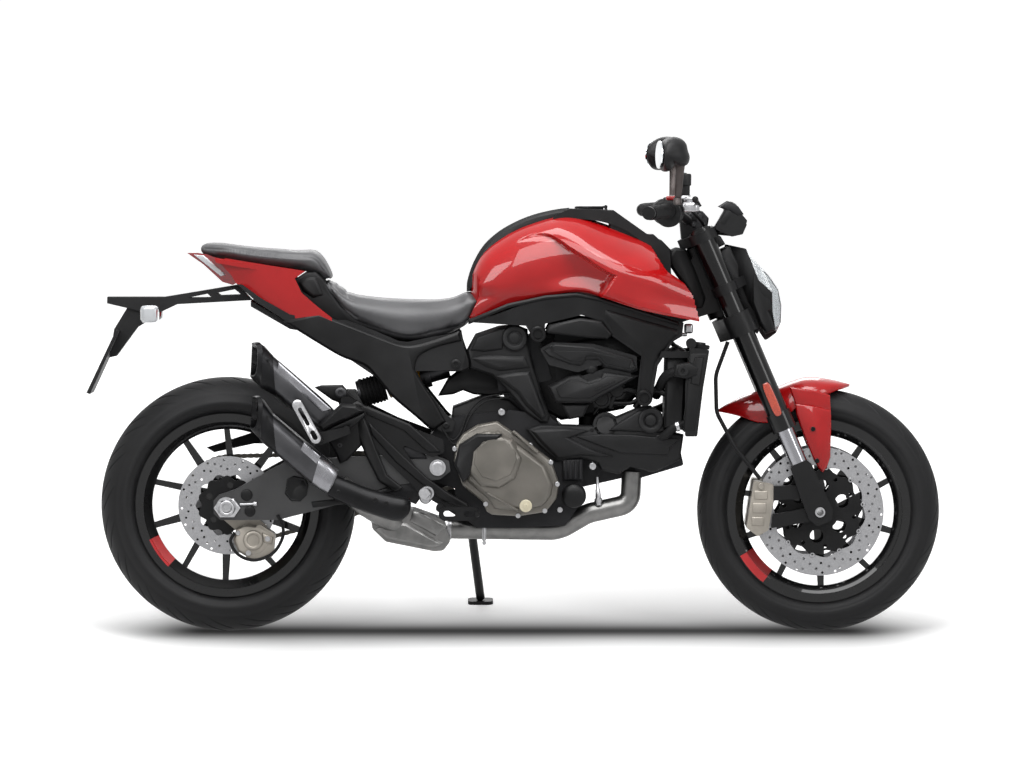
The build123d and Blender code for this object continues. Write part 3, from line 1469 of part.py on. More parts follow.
footpeg_brackets = joined(peg_hanger(PEG_REACH_RIGHT), mirrored(peg_hanger(PEG_REACH_LEFT)))
passenger_peg_right = passenger_peg(PEG_REACH_RIGHT)
passenger_peg_left = mirrored(passenger_peg(PEG_REACH_LEFT))
peg_boss_end = peg_plate_outer + 22
rider_peg = joined(
    cross_rod(rider_peg_at, 17, -peg_plate_outer - SEAT_GAP, -peg_boss_end),
    rod((rider_peg_at[0], -peg_boss_end + 2, rider_peg_at[1]), (rider_peg_at[0] - 6, -284, rider_peg_at[1] + 5), 13),
)
rider_pegs = without(joined(rider_peg, mirrored(rider_peg)), footpeg_brackets)

lever_y = peg_boss_end + 8
brake_lever = joined(
    bent_tube([(520, -lever_y, 318), (560, -lever_y, 294), (626, -lever_y - 4, 296)], [30], 7),
    cross_rod((520, 322), 10, -peg_plate_outer - SEAT_GAP, -lever_y - 6),
    cross_rod((626, 296), 9, -lever_y + 4, -lever_y - 34),
)
foot_levers = without(joined(brake_lever, mirrored(brake_lever)), footpeg_brackets, rider_pegs)

# ---------------------------------------------------------------- parked placement and export
pieces = {
    "front_tyre": front_tyre,
    "front_rim": front_rim,
    "front_discs": front_discs,
    "rear_tyre": rear_tyre,
    "rear_rim": rear_rim,
    "rear_disc": rear_disc,
    "rear_sprocket": rear_sprocket,
    "front_axle": front_axle,
    "yokes": yokes,
    "fork_tubes": fork_tubes,
    "fork_legs": fork_legs,
    "front_calipers": front_calipers,
    "front_fender": front_fender,
    "headlight_shell": headlight_shell,
    "headlight_lens": headlight_lens,
    "headlight_bracket": headlight_bracket,
    "dashboard": dashboard,
    "bar_risers": risers,
    "handlebar": handlebar,
    "grips": grips,
    "bar_controls": bar_controls,
    "mirrors": mirrors,
    "brake_hose": brake_hose,
    "engine_block": engine_block,
    "engine_covers": engine_covers,
    "belt_covers": belt_covers,
    "air_covers": air_covers,
    "radiator": radiator,
    "front_frame": front_frame,
    "seat_subframe": seat_subframe,
    "swingarm": swingarm,
    "swingarm_pivot": swingarm_pivot,
    "rear_axle": rear_axle,
    "rear_caliper": rear_caliper,
    "drive_chain": drive_chain,
    "output_sprocket": output_sprocket,
    "chain_guard": chain_guard,
    "shock_absorber": shock_absorber,
    "shock_spring": shock_spring,
    "silencers": silencers,
    "silencer_caps": silencer_caps,
    "exhaust_pipes": exhaust_pipes,
    "exhaust_shield": exhaust_shield,
    "fuel_tank": fuel_tank,
    "tank_top_cover": tank_top_cover,
    "fuel_cap": fuel_cap,
    "rider_seat": rider_seat,
    "passenger_seat": passenger_seat,
    "tail_fairing": tail_fairing,
    "rear_lights": rear_lights,
    "plate_bracket": plate_bracket,
    "footpeg_brackets": footpeg_brackets,
    "rider_pegs": rider_pegs,
    "passenger_peg_right": passenger_peg_right,
    "passenger_peg_left": passenger_peg_left,
    "foot_levers": foot_levers,
    "side_stand": side_stand,
}

# Lean to the left about the line between the tyres, then centre the whole over the origin.
leaned = Location((0, 0, crown_rise)) * Location((0, 0, 0), (-LEAN, 0, 0))
boxes = [piece.moved(leaned).bounding_box() for piece in pieces.values()]
middle_x = (min(box.min.X for box in boxes) + max(box.max.X for box in boxes)) / 2
middle_y = (min(box.min.Y for box in boxes) + max(box.max.Y for box in boxes)) / 2
parked = Location((-middle_x, -middle_y, 0)) * leaned

os.makedirs("parts", exist_ok=True)
for name, piece in pieces.items():
    placed = piece.moved(parked)
    placed.label = name
    export_step(placed, f"parts/{name}.step")
print("parked by", middle_x, middle_y, crown_rise)
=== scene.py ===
# %% [markdown]
# A naked road motorcycle, parked on its side stand. This lesson dresses a finished mechanical model:
# it gives every part a finish worked out from what it is made of, and adds the pieces that a drawing
# of the mechanism leaves out, such as tread, chain links, bolts, hoses and the seats' covers.

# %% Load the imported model
import json

import bmesh
import bpy
import numpy as np
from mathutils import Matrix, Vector


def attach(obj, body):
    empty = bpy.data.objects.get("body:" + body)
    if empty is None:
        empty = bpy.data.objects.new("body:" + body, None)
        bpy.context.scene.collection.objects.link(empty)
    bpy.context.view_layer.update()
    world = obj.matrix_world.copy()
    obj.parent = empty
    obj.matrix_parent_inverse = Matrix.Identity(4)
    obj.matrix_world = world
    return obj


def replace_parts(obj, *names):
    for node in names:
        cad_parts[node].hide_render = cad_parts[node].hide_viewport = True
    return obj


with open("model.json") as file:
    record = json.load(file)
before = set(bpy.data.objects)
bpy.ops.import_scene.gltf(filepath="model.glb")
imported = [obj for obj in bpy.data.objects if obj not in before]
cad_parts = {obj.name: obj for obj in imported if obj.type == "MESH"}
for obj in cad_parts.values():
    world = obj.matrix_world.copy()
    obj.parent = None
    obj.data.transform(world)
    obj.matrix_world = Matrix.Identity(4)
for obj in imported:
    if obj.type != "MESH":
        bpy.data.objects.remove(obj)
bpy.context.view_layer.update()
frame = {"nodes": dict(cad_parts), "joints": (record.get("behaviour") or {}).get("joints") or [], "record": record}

# %% [markdown]
# The motorcycle leans on its stand, so plain side-view sizes don't fit the model's own axes. Its two
# wheel joints say how it stands: the axle's direction is the machine's left, and the line between
# the axles gives its place. Everything below is written in the upright machine's millimetres, with
# X forward from the rear axle, Y to the left and Z up from the ground, and `park` leans it over.

# %% The upright frame
REAR_AXLE_HIGH, FRONT_AXLE_HIGH, WHEELBASE = 317.0, 302.0, 1472.0
joints = {joint["name"]: joint for joint in frame["joints"]}
LEFT = np.array(joints["rear_wheel_spin"]["axis"])
FORWARD = np.array([1.0, 0.0, 0.0])
UP = np.cross(FORWARD, LEFT)
GROUND = np.array(joints["rear_wheel_spin"]["pos_m"]) - UP * REAR_AXLE_HIGH / 1000


def park(points):
    """Upright millimetres (..., 3) to metres in the leaned machine: ground + x forward + y left + z up."""
    points = np.asarray(points, float) / 1000
    return GROUND + points[..., :1] * FORWARD + points[..., 1:2] * LEFT + points[..., 2:] * UP


def new_object(name, data):
    """An object in the scene for a mesh, a lamp or a camera."""
    made = bpy.data.objects.new(name, data)
    bpy.context.scene.collection.objects.link(made)
    return made


print("ground point", GROUND, "front axle", park((WHEELBASE, 0, FRONT_AXLE_HIGH)))

# %% [markdown]
# A long lens far away shows a vehicle's side without distortion. The camera looks square at the
# machine's right side from a little above, so it sits higher by the lean.

# %% Camera
CAMERA_FAR, LENS, SENSOR = 18.0, 253.6, 36.0
VIEW_CENTRE = (708, 0, 616)
LOOK_DOWN = np.radians(2)
camera_data = bpy.data.cameras.new("camera")
camera_data.lens, camera_data.sensor_width, camera_data.clip_end = LENS, SENSOR, 100
camera = new_object("camera", camera_data)
towards = -LEFT * np.cos(LOOK_DOWN) + UP * np.sin(LOOK_DOWN)
camera.location = park(VIEW_CENTRE) + towards * CAMERA_FAR
elevation = np.arcsin(towards[2])
camera.rotation_euler = (np.pi / 2 - elevation, 0, 0)
bpy.context.scene.camera = camera
print("camera elevation", np.degrees(elevation))

# %% [markdown]
# A studio shot of a vehicle has no visible walls: the floor runs away into white. The world is white
# to the camera and in reflections, and much dimmer as a light, so that dark plastic stays dark.

# %% Studio floor and world


def linear(hex_colour):
    """An sRGB hex value as linear RGBA: each channel is undone from the sRGB curve."""
    channels = np.array([int(hex_colour[i : i + 2], 16) for i in (1, 3, 5)]) / 255
    low, high = channels / 12.92, ((channels + 0.055) / 1.055) ** 2.4
    return (*np.where(channels <= 0.04045, low, high), 1.0)


def node(tree, kind, settings=None, **links):
    """Adds a node, sets its properties and fills its inputs with values or other nodes' sockets."""
    new = tree.nodes.new(kind)
    for name, value in (settings or {}).items():
        setattr(new, name, value)
    for name, value in links.items():
        socket = new.inputs[int(name[1:])] if name[1:].isdigit() else new.inputs[name.replace("_", " ")]
        if isinstance(value, bpy.types.NodeSocket):
            tree.links.new(value, socket)
        else:
            socket.default_value = value
    return new


def arithmetic(tree, operation, first, second=None):
    """The result of one arithmetic node."""
    inputs = {"_0": first} if second is None else {"_0": first, "_1": second}
    return node(tree, "ShaderNodeMath", {"operation": operation}, **inputs).outputs[0]


def map_range(tree, value, **limits):
    """A value moved from the range From_Min..From_Max to To_Min..To_Max (0..1 where they aren't given)."""
    return node(tree, "ShaderNodeMapRange", None, Value=value, **limits).outputs[0]


def looked_at(tree, path):
    """One for light that the camera sees straight, in a gloss or through glass; zero for all other light."""
    seen = arithmetic(tree, "MAXIMUM", path["Is Camera Ray"], path["Is Glossy Ray"])
    return arithmetic(tree, "MAXIMUM", seen, path["Is Transmission Ray"])


SKY_LIGHT = 0.24
world = bpy.data.worlds.new("studio")
world.use_nodes = True
tree = world.node_tree
tree.nodes.clear()
path = node(tree, "ShaderNodeLightPath").outputs
strength = map_range(tree, looked_at(tree, path), To_Min=SKY_LIGHT, To_Max=1.0)
sky = node(tree, "ShaderNodeBackground", None, Color=(1, 1, 1, 1), Strength=strength)
tree.links.new(sky.outputs[0], node(tree, "ShaderNodeOutputWorld").inputs[0])
bpy.context.scene.world = world

FLOOR_WIDE = 60.0
corners = np.array([(-1, -1), (1, -1), (1, 1), (-1, 1)]) * FLOOR_WIDE / 2
floor_mesh = bpy.data.meshes.new("floor")
floor_mesh.from_pydata([(x, y, 0) for x, y in corners], [], [(0, 1, 2, 3)])
floor = new_object("floor", floor_mesh)
print("floor", FLOOR_WIDE, "m wide, sky light", SKY_LIGHT)

# %% [markdown]
# The floor's own glow rises with the distance from the motorcycle, where the lamps no longer reach.
# Its shade is a painted shadow, a soft streak along the line of the wheels:
# depth / (1 + (across / reach)^2), that fades out past both tyres.

# %% The floor's glow and shade
NEAR_GLOW, FAR_GLOW, NEAR_REACH, FAR_REACH = 0.52, 0.83, 1.2, 7.0
white_floor = bpy.data.materials.new("white_studio_floor")
white_floor.use_nodes = True
tree = white_floor.node_tree
tree.nodes.clear()
path = node(tree, "ShaderNodeLightPath").outputs
SMOOTHSTEP = {"interpolation_type": "SMOOTHSTEP"}
spot = node(tree, "ShaderNodeTexCoord").outputs["Object"]
away = node(tree, "ShaderNodeVectorMath", {"operation": "LENGTH"}, _0=spot).outputs["Value"]
glow = node(
    tree, "ShaderNodeMapRange", SMOOTHSTEP, Value=away,
    From_Min=NEAR_REACH, From_Max=FAR_REACH, To_Min=NEAR_GLOW, To_Max=FAR_GLOW,
)
glow = arithmetic(tree, "MULTIPLY", looked_at(tree, path), glow.outputs[0])
lit = node(tree, "ShaderNodeBsdfDiffuse", None, Color=(0.8, 0.8, 0.8, 1))
shining = node(tree, "ShaderNodeEmission", None, Color=(1, 1, 1, 1), Strength=glow)
both = node(tree, "ShaderNodeAddShader", None, _0=lit.outputs[0], _1=shining.outputs[0])

# The painted shadow: a dark streak mixed into the floor along the line of the wheels.
SHADE_LONG, SHADE_DEPTH, SHADE_REACH, SHADE_FULL, SHADE_END = 1480, 0.95, 0.105, 0.80, 1.12
line_start, line_end = park((0, 0, 0)), park((SHADE_LONG, 0, 0))
line_along = (line_end - line_start) / np.linalg.norm(line_end - line_start)
line_across = np.cross((0, 0, 1), line_along)
middle = tuple((line_start + line_end) / 2)
from_middle = node(tree, "ShaderNodeVectorMath", {"operation": "SUBTRACT"}, _0=spot, _1=middle).outputs[0]
dots = [
    node(tree, "ShaderNodeVectorMath", {"operation": "DOT_PRODUCT"}, _0=from_middle, _1=tuple(way))
    for way in (line_along, line_across)
]
along_line, across_line = (dot.outputs["Value"] for dot in dots)
depth = node(
    tree, "ShaderNodeMapRange", SMOOTHSTEP, Value=arithmetic(tree, "ABSOLUTE", along_line),
    From_Min=SHADE_FULL, From_Max=SHADE_END, To_Min=SHADE_DEPTH, To_Max=0.0,
)
share = arithmetic(tree, "DIVIDE", across_line, SHADE_REACH)
share = arithmetic(tree, "ADD", arithmetic(tree, "MULTIPLY", share, share), 1.0)
shade = arithmetic(tree, "DIVIDE", depth.outputs[0], share)
shade = arithmetic(tree, "MULTIPLY", shade, path["Is Camera Ray"])
dark = node(tree, "ShaderNodeEmission", None, Color=(0, 0, 0, 1), Strength=0.0)
shaded = node(tree, "ShaderNodeMixShader", None, _0=shade, _1=both.outputs[0], _2=dark.outputs[0])
tree.links.new(shaded.outputs[0], node(tree, "ShaderNodeOutputMaterial").inputs[0])
floor_mesh.materials.append(white_floor)
print("glow", NEAR_GLOW, "to", FAR_GLOW, "shade", SHADE_DEPTH)

# %% [markdown]
# A large softbox overhead gives the tank its long soft highlight. Two more stand ahead and behind, and
# a fourth lifts the far side. The card is seen in glossy paint only: it lights no matt surface.

# %% Lamps
LAMPS = {
    # name: (place, aims at, width, height, watts), places in upright millimetres
    "overhead_softbox": ((500, -700, 3600), (700, 0, 700), 2600, 1300, 104),
    "rear_softbox": ((-1900, -2300, 2300), (500, 0, 750), 1200, 1200, 38),
    "front_softbox": ((3300, -2100, 1900), (900, 0, 600), 900, 1600, 32),
    "far_side_fill": ((700, 3200, 2600), (700, 0, 600), 2400, 1300, 40),
    "reflected_card": ((450, -2900, 3200), (650, 0, 950), 3600, 2500, 190),
}
for name, (place, aim, wide, high, watts) in LAMPS.items():
    lamp = bpy.data.lights.new(name, "AREA")
    lamp.shape, lamp.size, lamp.size_y, lamp.energy = "RECTANGLE", wide / 1000, high / 1000, watts
    holder = new_object(name, lamp)
    holder.location = park(place)
    holder.rotation_euler = Vector(park(aim) - park(place)).to_track_quat("-Z", "Y").to_euler()
    holder.visible_diffuse = not name.endswith("card")
bpy.context.scene.view_settings.view_transform = "Standard"
print("lamps", ", ".join(LAMPS))

# %% [markdown]
# Most finishes here are paint, moulded plastic or metal, and they differ in few things: the colour,
# how rough and metallic the surface is, a slow mottle of the colour, and a fine grain that catches
# the light. One helper builds that, with each scale given as a real size in millimetres.

# %% The helper for finishes


def finish(name, dark, light, rough, metal=0.0, mottle=60.0, grain=0.0, relief=0.0, **sockets):
    """A surface whose colour drifts from dark to light over `mottle` mm, with a bump grain of `grain` mm."""
    made = bpy.data.materials.new(name)
    made.use_nodes = True
    tree = made.node_tree
    shader = tree.nodes["Principled BSDF"]
    place = node(tree, "ShaderNodeTexCoord").outputs["Object"]
    noise = node(tree, "ShaderNodeTexNoise", None, Vector=place, Scale=1000 / mottle, Detail=4.0)
    drift = map_range(tree, noise.outputs["Fac"], From_Min=0.3, From_Max=0.7)
    colour = node(tree, "ShaderNodeMix", {"data_type": "RGBA"}, _0=drift, _6=linear(dark), _7=linear(light))
    tree.links.new(colour.outputs[2], shader.inputs["Base Color"])
    shader.inputs["Metallic"].default_value = metal
    spread = map_range(tree, drift, To_Min=rough * 0.88, To_Max=min(1, rough * 1.12))
    tree.links.new(spread, shader.inputs["Roughness"])
    if grain:
        fine = node(tree, "ShaderNodeTexNoise", None, Vector=place, Scale=1000 / grain, Detail=2.0)
        height = fine.outputs["Fac"]
        bump = node(tree, "ShaderNodeBump", None, Height=height, Strength=relief, Distance=grain / 4000)
        tree.links.new(bump.outputs[0], shader.inputs["Normal"])
    for socket, value in sockets.items():
        shader.inputs[socket.replace("_", " ")].default_value = value
    return made


GLOSS = {"Coat_Weight": 1.0, "Coat_Roughness": 0.03, "Coat_IOR": 1.38, "Specular_IOR_Level": 0.1}
MATT = {"Specular_IOR_Level": 0.17}
FINISHES = {
    "tyre_rubber": finish("vulcanised_rubber", "#171718", "#1f1f20", 0.62, grain=0.8, relief=0.3, **MATT),
    "black_wheel": finish("gloss_black_wheel_paint", "#070708", "#0c0c0d", 0.28, **GLOSS),
    "disc_steel": finish("ground_stainless_disc", "#8c8c8e", "#9c9c9e", 0.36, metal=0.9, mottle=2.5),
    "chain_steel": finish("oiled_chain_steel", "#57544e", "#6f6c66", 0.4, metal=0.9, mottle=12),
    "bare_alloy": finish("machined_aluminium", "#98989a", "#a9a9ab", 0.33, metal=1.0, mottle=6),
    "black_alloy": finish("black_powder_coat", "#0c0c0d", "#121213", 0.42, grain=1.2, relief=0.25, **MATT),
    "chrome_slider": finish("hard_chrome", "#909094", "#9c9ca0", 0.12, metal=1.0),
    "caliper_grey": finish(
        "cast_anodised_caliper", "#87827a", "#979188", 0.42, metal=0.6, grain=1.6, relief=0.4,
    ),
    "red_paint": finish("red_enamel_under_lacquer", "#a80407", "#b2060a", 0.4, **GLOSS),
    "black_plastic": finish("moulded_black_abs", "#141415", "#1b1b1c", 0.5, grain=1.4, relief=0.3, **MATT),
    "lamp_glass": finish(
        "clear_polycarbonate", "#d9dcde", "#e4e7e9", 0.04, Transmission_Weight=0.85, IOR=1.45,
    ),
    "red_lens": finish("red_acrylic_lens", "#7a0006", "#97000a", 0.12, Coat_Weight=1.0),
    "black_rubber": finish("black_rubber", "#0f0f10", "#161617", 0.68, grain=1.6, relief=0.4, **MATT),
    "engine_grey": finish("grey_cast_engine_paint", "#18181a", "#222224", 0.5, grain=2.2, relief=0.5, **MATT),
    "magnesium_grey": finish(
        "painted_magnesium", "#5d5a54", "#6c6862", 0.4, metal=0.35, grain=1.8, relief=0.3,
    ),
    "radiator_black": finish("black_radiator", "#0c0c0d", "#131314", 0.55, **MATT),
    "shock_body": finish("grey_shock_body", "#2a2a2c", "#3a3a3c", 0.4, metal=0.7),
    "gold_spring": finish("gold_spring_paint", "#a87410", "#c49026", 0.3, metal=0.5, **GLOSS),
    "silencer_metal": finish("dark_brushed_steel", "#39393b", "#454547", 0.34, metal=0.85, mottle=50),
    "pipe_steel": finish("heated_stainless_pipe", "#5f5f5e", "#737271", 0.34, metal=0.9, mottle=30),
    "cap_alloy": finish("black_cap_alloy", "#101011", "#18181a", 0.36, metal=0.3, **MATT),
    "seat_cover": finish("grained_vinyl", "#3a3a3c", "#454547", 0.5, grain=1.8, relief=0.4),
}
slot_of = {part["node"]: part["material_slot"] for part in frame["record"]["subparts"]}
for name, part in frame["nodes"].items():
    part.data.materials.clear()
    part.data.materials.append(FINISHES[slot_of[name]])
print("finishes", len(FINISHES))

# %% [markdown]
# Every added piece is a mesh whose points are worked out as whole arrays. A grid of points becomes a
# surface of four-sided faces. A helper turns such a grid into an object, leans it with `park`, gives
# it a finish and lets it ride on the body that carries it.

# %% Helpers for surfaces


def grid_faces(rows, columns, closed_rows=False, closed_columns=False):
    """Four-sided faces of a grid of rows x columns points, wrapping round where it is closed."""
    row = np.arange(rows if closed_rows else rows - 1)[:, None]
    column = np.arange(columns if closed_columns else columns - 1)[None, :]
    next_row, next_column = (row + 1) % rows, (column + 1) % columns
    corners = [row * columns + column, row * columns + next_column]
    corners += [next_row * columns + next_column, next_row * columns + column]
    return np.stack([np.broadcast_to(c, (row.size, column.size)) for c in corners], -1).reshape(-1, 4)


def add_piece(name, points, faces, body, slot, material=None, smooth=True):
    """A mesh object from upright millimetre points, riding on a body, with normals turned outwards."""
    mesh = bpy.data.meshes.new(name)
    mesh.from_pydata(park(points).reshape(-1, 3), [], [tuple(face) for face in faces])
    mesh.validate()
    work = bmesh.new()
    work.from_mesh(mesh)
    bmesh.ops.remove_doubles(work, verts=work.verts, dist=0.00002)
    bmesh.ops.recalc_face_normals(work, faces=work.faces)
    work.to_mesh(mesh)
    work.free()
    mesh.materials.append(material or FINISHES[slot])
    mesh.shade_smooth() if smooth else mesh.shade_flat()
    piece = new_object(name, mesh)
    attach(piece, body)
    print(name, "on", body, "with", len(mesh.polygons), "faces")
    return piece


def evaluated_mesh(piece):
    """A new mesh: the piece's own with its modifiers worked out."""
    return bpy.data.meshes.new_from_object(piece.evaluated_get(bpy.context.evaluated_depsgraph_get()))


def apply_modifiers(piece):
    """Replaces a piece's mesh by the one that its modifiers make, and removes the modifiers."""
    piece.data = evaluated_mesh(piece)
    piece.modifiers.clear()


def vertex_array(mesh, what="co"):
    """A mesh's points, or its normals, as an array with a row for each vertex."""
    flat = np.empty(len(mesh.vertices) * 3)
    mesh.vertices.foreach_get(what, flat)
    return flat.reshape(-1, 3)


def finish_edges(piece, bevel_mm=0.0, sharp_over=35.0):
    """Rounds a piece's sharp edges with a bevel, applied, and shades the rest smooth by angle."""
    if bevel_mm:
        bevel = piece.modifiers.new("rounded edges", "BEVEL")
        bevel.width, bevel.segments, bevel.limit_method = bevel_mm / 1000, 2, "ANGLE"
        bevel.angle_limit = np.radians(28)
        bevel.harden_normals = True
        apply_modifiers(piece)
    piece.data.shade_smooth()
    piece.data.set_sharp_from_angle(angle=np.radians(sharp_over))
    return piece


def through(points, samples):
    """A smooth curve through points: Catmull-Rom, a cubic whose slope at a point joins its neighbours."""
    points = np.asarray(points, float)
    ends = np.vstack([2 * points[0] - points[1], points, 2 * points[-1] - points[-2]])
    place = np.linspace(0, len(points) - 1 - 1e-9, samples)
    part, t = place.astype(int), (place % 1)[:, None]
    a, b, c, d = (ends[part + k] for k in range(4))
    return 0.5 * (2 * b + (c - a) * t + (2 * a - 5 * b + 4 * c - d) * t**2 + (3 * b - 3 * c + d - a) * t**3)


def smooth_step(value, low, high):
    """Zero below low, one above high, and a smooth cubic between."""
    t = np.clip((value - low) / (high - low), 0, 1)
    return t * t * (3 - 2 * t)


# %% [markdown]
# The tank is the machine's most worked surface. Its cover is a sleeve over the frame: an arch from
# the right lower edge over the spine to the left one. The arch swells at the top for the rider's
# knees to grip below, and in front a wing stands out from the flank, with a sharp crease that
# starts at a point high on the side and runs forwards and down. Such a form is easiest as a grid:
# one direction runs forwards, the other round the arch, with rows packed together at the crease.

# %% Tank cover
TANK_REAR, TANK_FRONT = 603.0, 1170.0
TOP_LINE = [
    (603, 862), (612, 905), (632, 943), (666, 975), (724, 1008), (800, 1033), (860, 1038), (930, 1019),
    (1000, 992), (1045, 972), (1100, 935), (1170, 890),
]
LOWER_LINE = [
    (603, 780), (640, 784), (712, 815), (788, 837), (868, 849), (925, 838), (1033, 804), (1170, 777),
]
HALF_WIDTHS = [(603, 88), (660, 112), (760, 134), (860, 140), (960, 144), (1060, 147), (1170, 152)]
LOWER_HALVES = [(603, 80), (700, 108), (800, 126), (900, 136), (1000, 148), (1170, 170)]
CREASE = [(603, 900), (700, 968), (789, 994), (870, 948), (959, 893), (1060, 866), (1153, 836), (1170, 826)]
FRONT_EDGE = [(1042, 979), (1068, 934), (1090, 900), (1132, 871), (1152, 842), (1170, 776)]  # (X, Z)
STATIONS, UPPER_ROWS, LOWER_ROWS = 150, 46, 54
WING_OUT, WING_START, WING_FULL = 40.0, 789.0, 985.0
NOSE_REACH, NOSE_TIP = 24.0, 836.0
WAIST_SHARE, HEIGHT_POWER, WIDTH_POWER = 0.34, 0.92, 0.80


def along(line, x):
    """Height (or width) of a side line at every x, smoothed through its points."""
    curve = through(line, 400)
    return np.interp(x, curve[:, 0], curve[:, 1])


def tank_flank():
    """The right flank from spine to lower edge, as an array (station, row, xyz)."""
    x = np.linspace(TANK_REAR, TANK_FRONT, STATIONS)[:, None]
    top, low = along(TOP_LINE, x), along(LOWER_LINE, x)
    half, low_half = along(HALF_WIDTHS, x), along(LOWER_HALVES, x)
    waist = low + (top - low) * WAIST_SHARE
    crease = np.minimum(along(CREASE, x), waist + 0.93 * (top - waist))
    crease = np.maximum(crease, waist + 4)
    # upper rows: z = waist + (top - waist) sin(angle) and y = half cos(angle), squared a little
    crease_turn = np.arcsin(((crease - waist) / (top - waist)) ** (1 / HEIGHT_POWER))
    share = np.linspace(0, 1, UPPER_ROWS)[None, :]
    turn = np.pi / 2 + (crease_turn - np.pi / 2) * (1 - (1 - share) ** 1.5)
    z_up = waist + (top - waist) * np.sin(turn) ** HEIGHT_POWER
    y_up = half * np.cos(turn) ** WIDTH_POWER
    # lower rows: on round the same section to the waist, then in to the lower edge
    share = np.linspace(0, 1, LOWER_ROWS + 1)[None, 1:] ** 1.25
    z_down = crease + (low - crease) * share
    above = np.clip((z_down - waist) / (top - waist), 0, 1)
    below = np.clip((waist - z_down) / (waist - low), 0, 1)
    y_down = half * np.cos(
        np.arcsin(above ** (1 / HEIGHT_POWER))
    ) ** WIDTH_POWER - (half - low_half) * below**2
    y, z = np.hstack([y_up, y_down]), np.hstack([z_up, z_down])
    x = np.broadcast_to(x, y.shape)
    # the wing stands out above the crease and ahead of the recess, and the recess dishes in behind it
    grow = WING_OUT * smooth_step(x, WING_START - 30, WING_FULL)
    over_crease = smooth_step(z, crease - 9, crease + 1)
    fade_up = 1 - smooth_step(z, crease + 8, crease + 0.75 * (top - crease) + 30)
    ahead = smooth_step(x - (930 + 0.62 * (z - 850)), -5, 9)
    lower_fade = smooth_step(z, low - 60, low + 26)
    lip = grow * np.maximum(over_crease * fade_up, ahead * (z < crease + 8) * (0.55 + 0.45 * lower_fade))
    hollow = smooth_step(x, 700, 880) * (1 - over_crease) * (1 - ahead) * smooth_step(z, low - 2, low + 46)
    y = y + lip - 16 * hollow
    # a soft rib at the rear foot and a rolled lower edge
    y = y - 5 * (1 - smooth_step(z, low, low + 7))
    # the rear edge gives way to the seat's nose, furthest at the nose's tip
    nose = NOSE_REACH * np.clip(1 - np.abs(z - NOSE_TIP) / np.where(z > NOSE_TIP, 26, 50), 0, 1)
    x = x + nose * (1 - smooth_step(x, TANK_REAR, TANK_REAR + 130))
    return np.stack([x, -y, z], -1)


def tank_cover():
    """Both flanks over a tunnel for the frame, cut to the front edge and closed at both ends."""
    flank = tank_flank()
    rows = flank.shape[1]
    edge = np.array(FRONT_EDGE)
    cut = np.interp(flank[:, :, 2], edge[::-1, 1], edge[::-1, 0])
    ends = np.argmax(np.vstack([flank[:-1, :, 0] >= cut[:-1], np.ones((1, rows), bool)]), axis=0)
    limit = flank[ends, np.arange(rows), 0]
    trimmed = np.empty_like(flank)
    for row in range(rows):
        x = TANK_REAR + (limit[row] - TANK_REAR) * np.linspace(0, 1, STATIONS)
        trimmed[:, row] = np.stack([np.interp(x, flank[:, row, 0], flank[:, row, k]) for k in range(3)], -1)
    arch = np.concatenate([trimmed[:, ::-1], trimmed[:, 1:] * (1, -1, 1)], axis=1)
    tunnel_half, tunnel_top = 96, 772 + 0.25 * (arch[:, :, 2] - 772)
    inside = arch.copy()
    inside[:, :, 1] = np.clip(arch[:, :, 1], -tunnel_half, tunnel_half) * 0.92
    inside[:, :, 2] = np.maximum(tunnel_top, arch[:, :1, 2] + 2)
    loop = np.concatenate([arch, inside[:, ::-1]], axis=1)
    stations, around = loop.shape[:2]
    faces = grid_faces(stations, around, closed_columns=True)
    half = around // 2
    caps = []
    for station in (0, stations - 1):
        ring = station * around + np.arange(around)
        outer, inner = ring[:half], ring[half:][::-1]
        caps += [(outer[i], outer[i + 1], inner[i + 1], inner[i]) for i in range(half - 1)]
    return loop, list(map(tuple, faces)) + caps


tank_points, tank_faces = tank_cover()
tank = add_piece("tank_cover", tank_points, tank_faces, "chassis", "red_paint")
finish_edges(tank, sharp_over=50)
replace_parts(tank, "fuel_tank")

# %% [markdown]
# A tyre is a profile turned about the axle. Its tread grooves sweep round and outwards at once, so
# the grid is twisted by the same sweep: then each groove runs straight down a few columns, and those
# columns can stand close together while the plain rubber between grooves has wide ones.

# %% Tyres with cut grooves
BEAD, HEEL, GROOVE_DEEP = 214.0, 230.0, 7.0


def wheel_points(centre_x, centre_z, radius, angle, across):
    """Points of a wheel: radius and angle (anticlockwise from forwards, seen from the right), at one Y."""
    x = centre_x + radius * np.cos(angle)
    z = centre_z + radius * np.sin(angle)
    return np.stack(np.broadcast_arrays(x, across, z), -1)


def groove_columns(pitches, radius, half_wide):
    """Angles of the grid's columns and each one's distance in mm from the nearest of two grooves."""
    near = half_wide * np.array([-1.25, -0.95, -0.55, 0, 0.55, 0.95, 1.25])
    pitch = 2 * np.pi * radius / pitches
    land = np.linspace(half_wide * 1.25, pitch / 2 - half_wide * 1.25, 7)[1:-1]
    one = np.concatenate([near, land])
    places = np.concatenate([one, one + pitch / 2])
    which = np.repeat([0, 1], one.size)
    offset = np.concatenate([near, np.full(land.size, 99.0)])
    angles = (np.arange(pitches)[:, None] * pitch + places[None, :]).ravel() / radius
    return angles, np.tile(np.tile(offset, 2), pitches), np.tile(which, pitches)


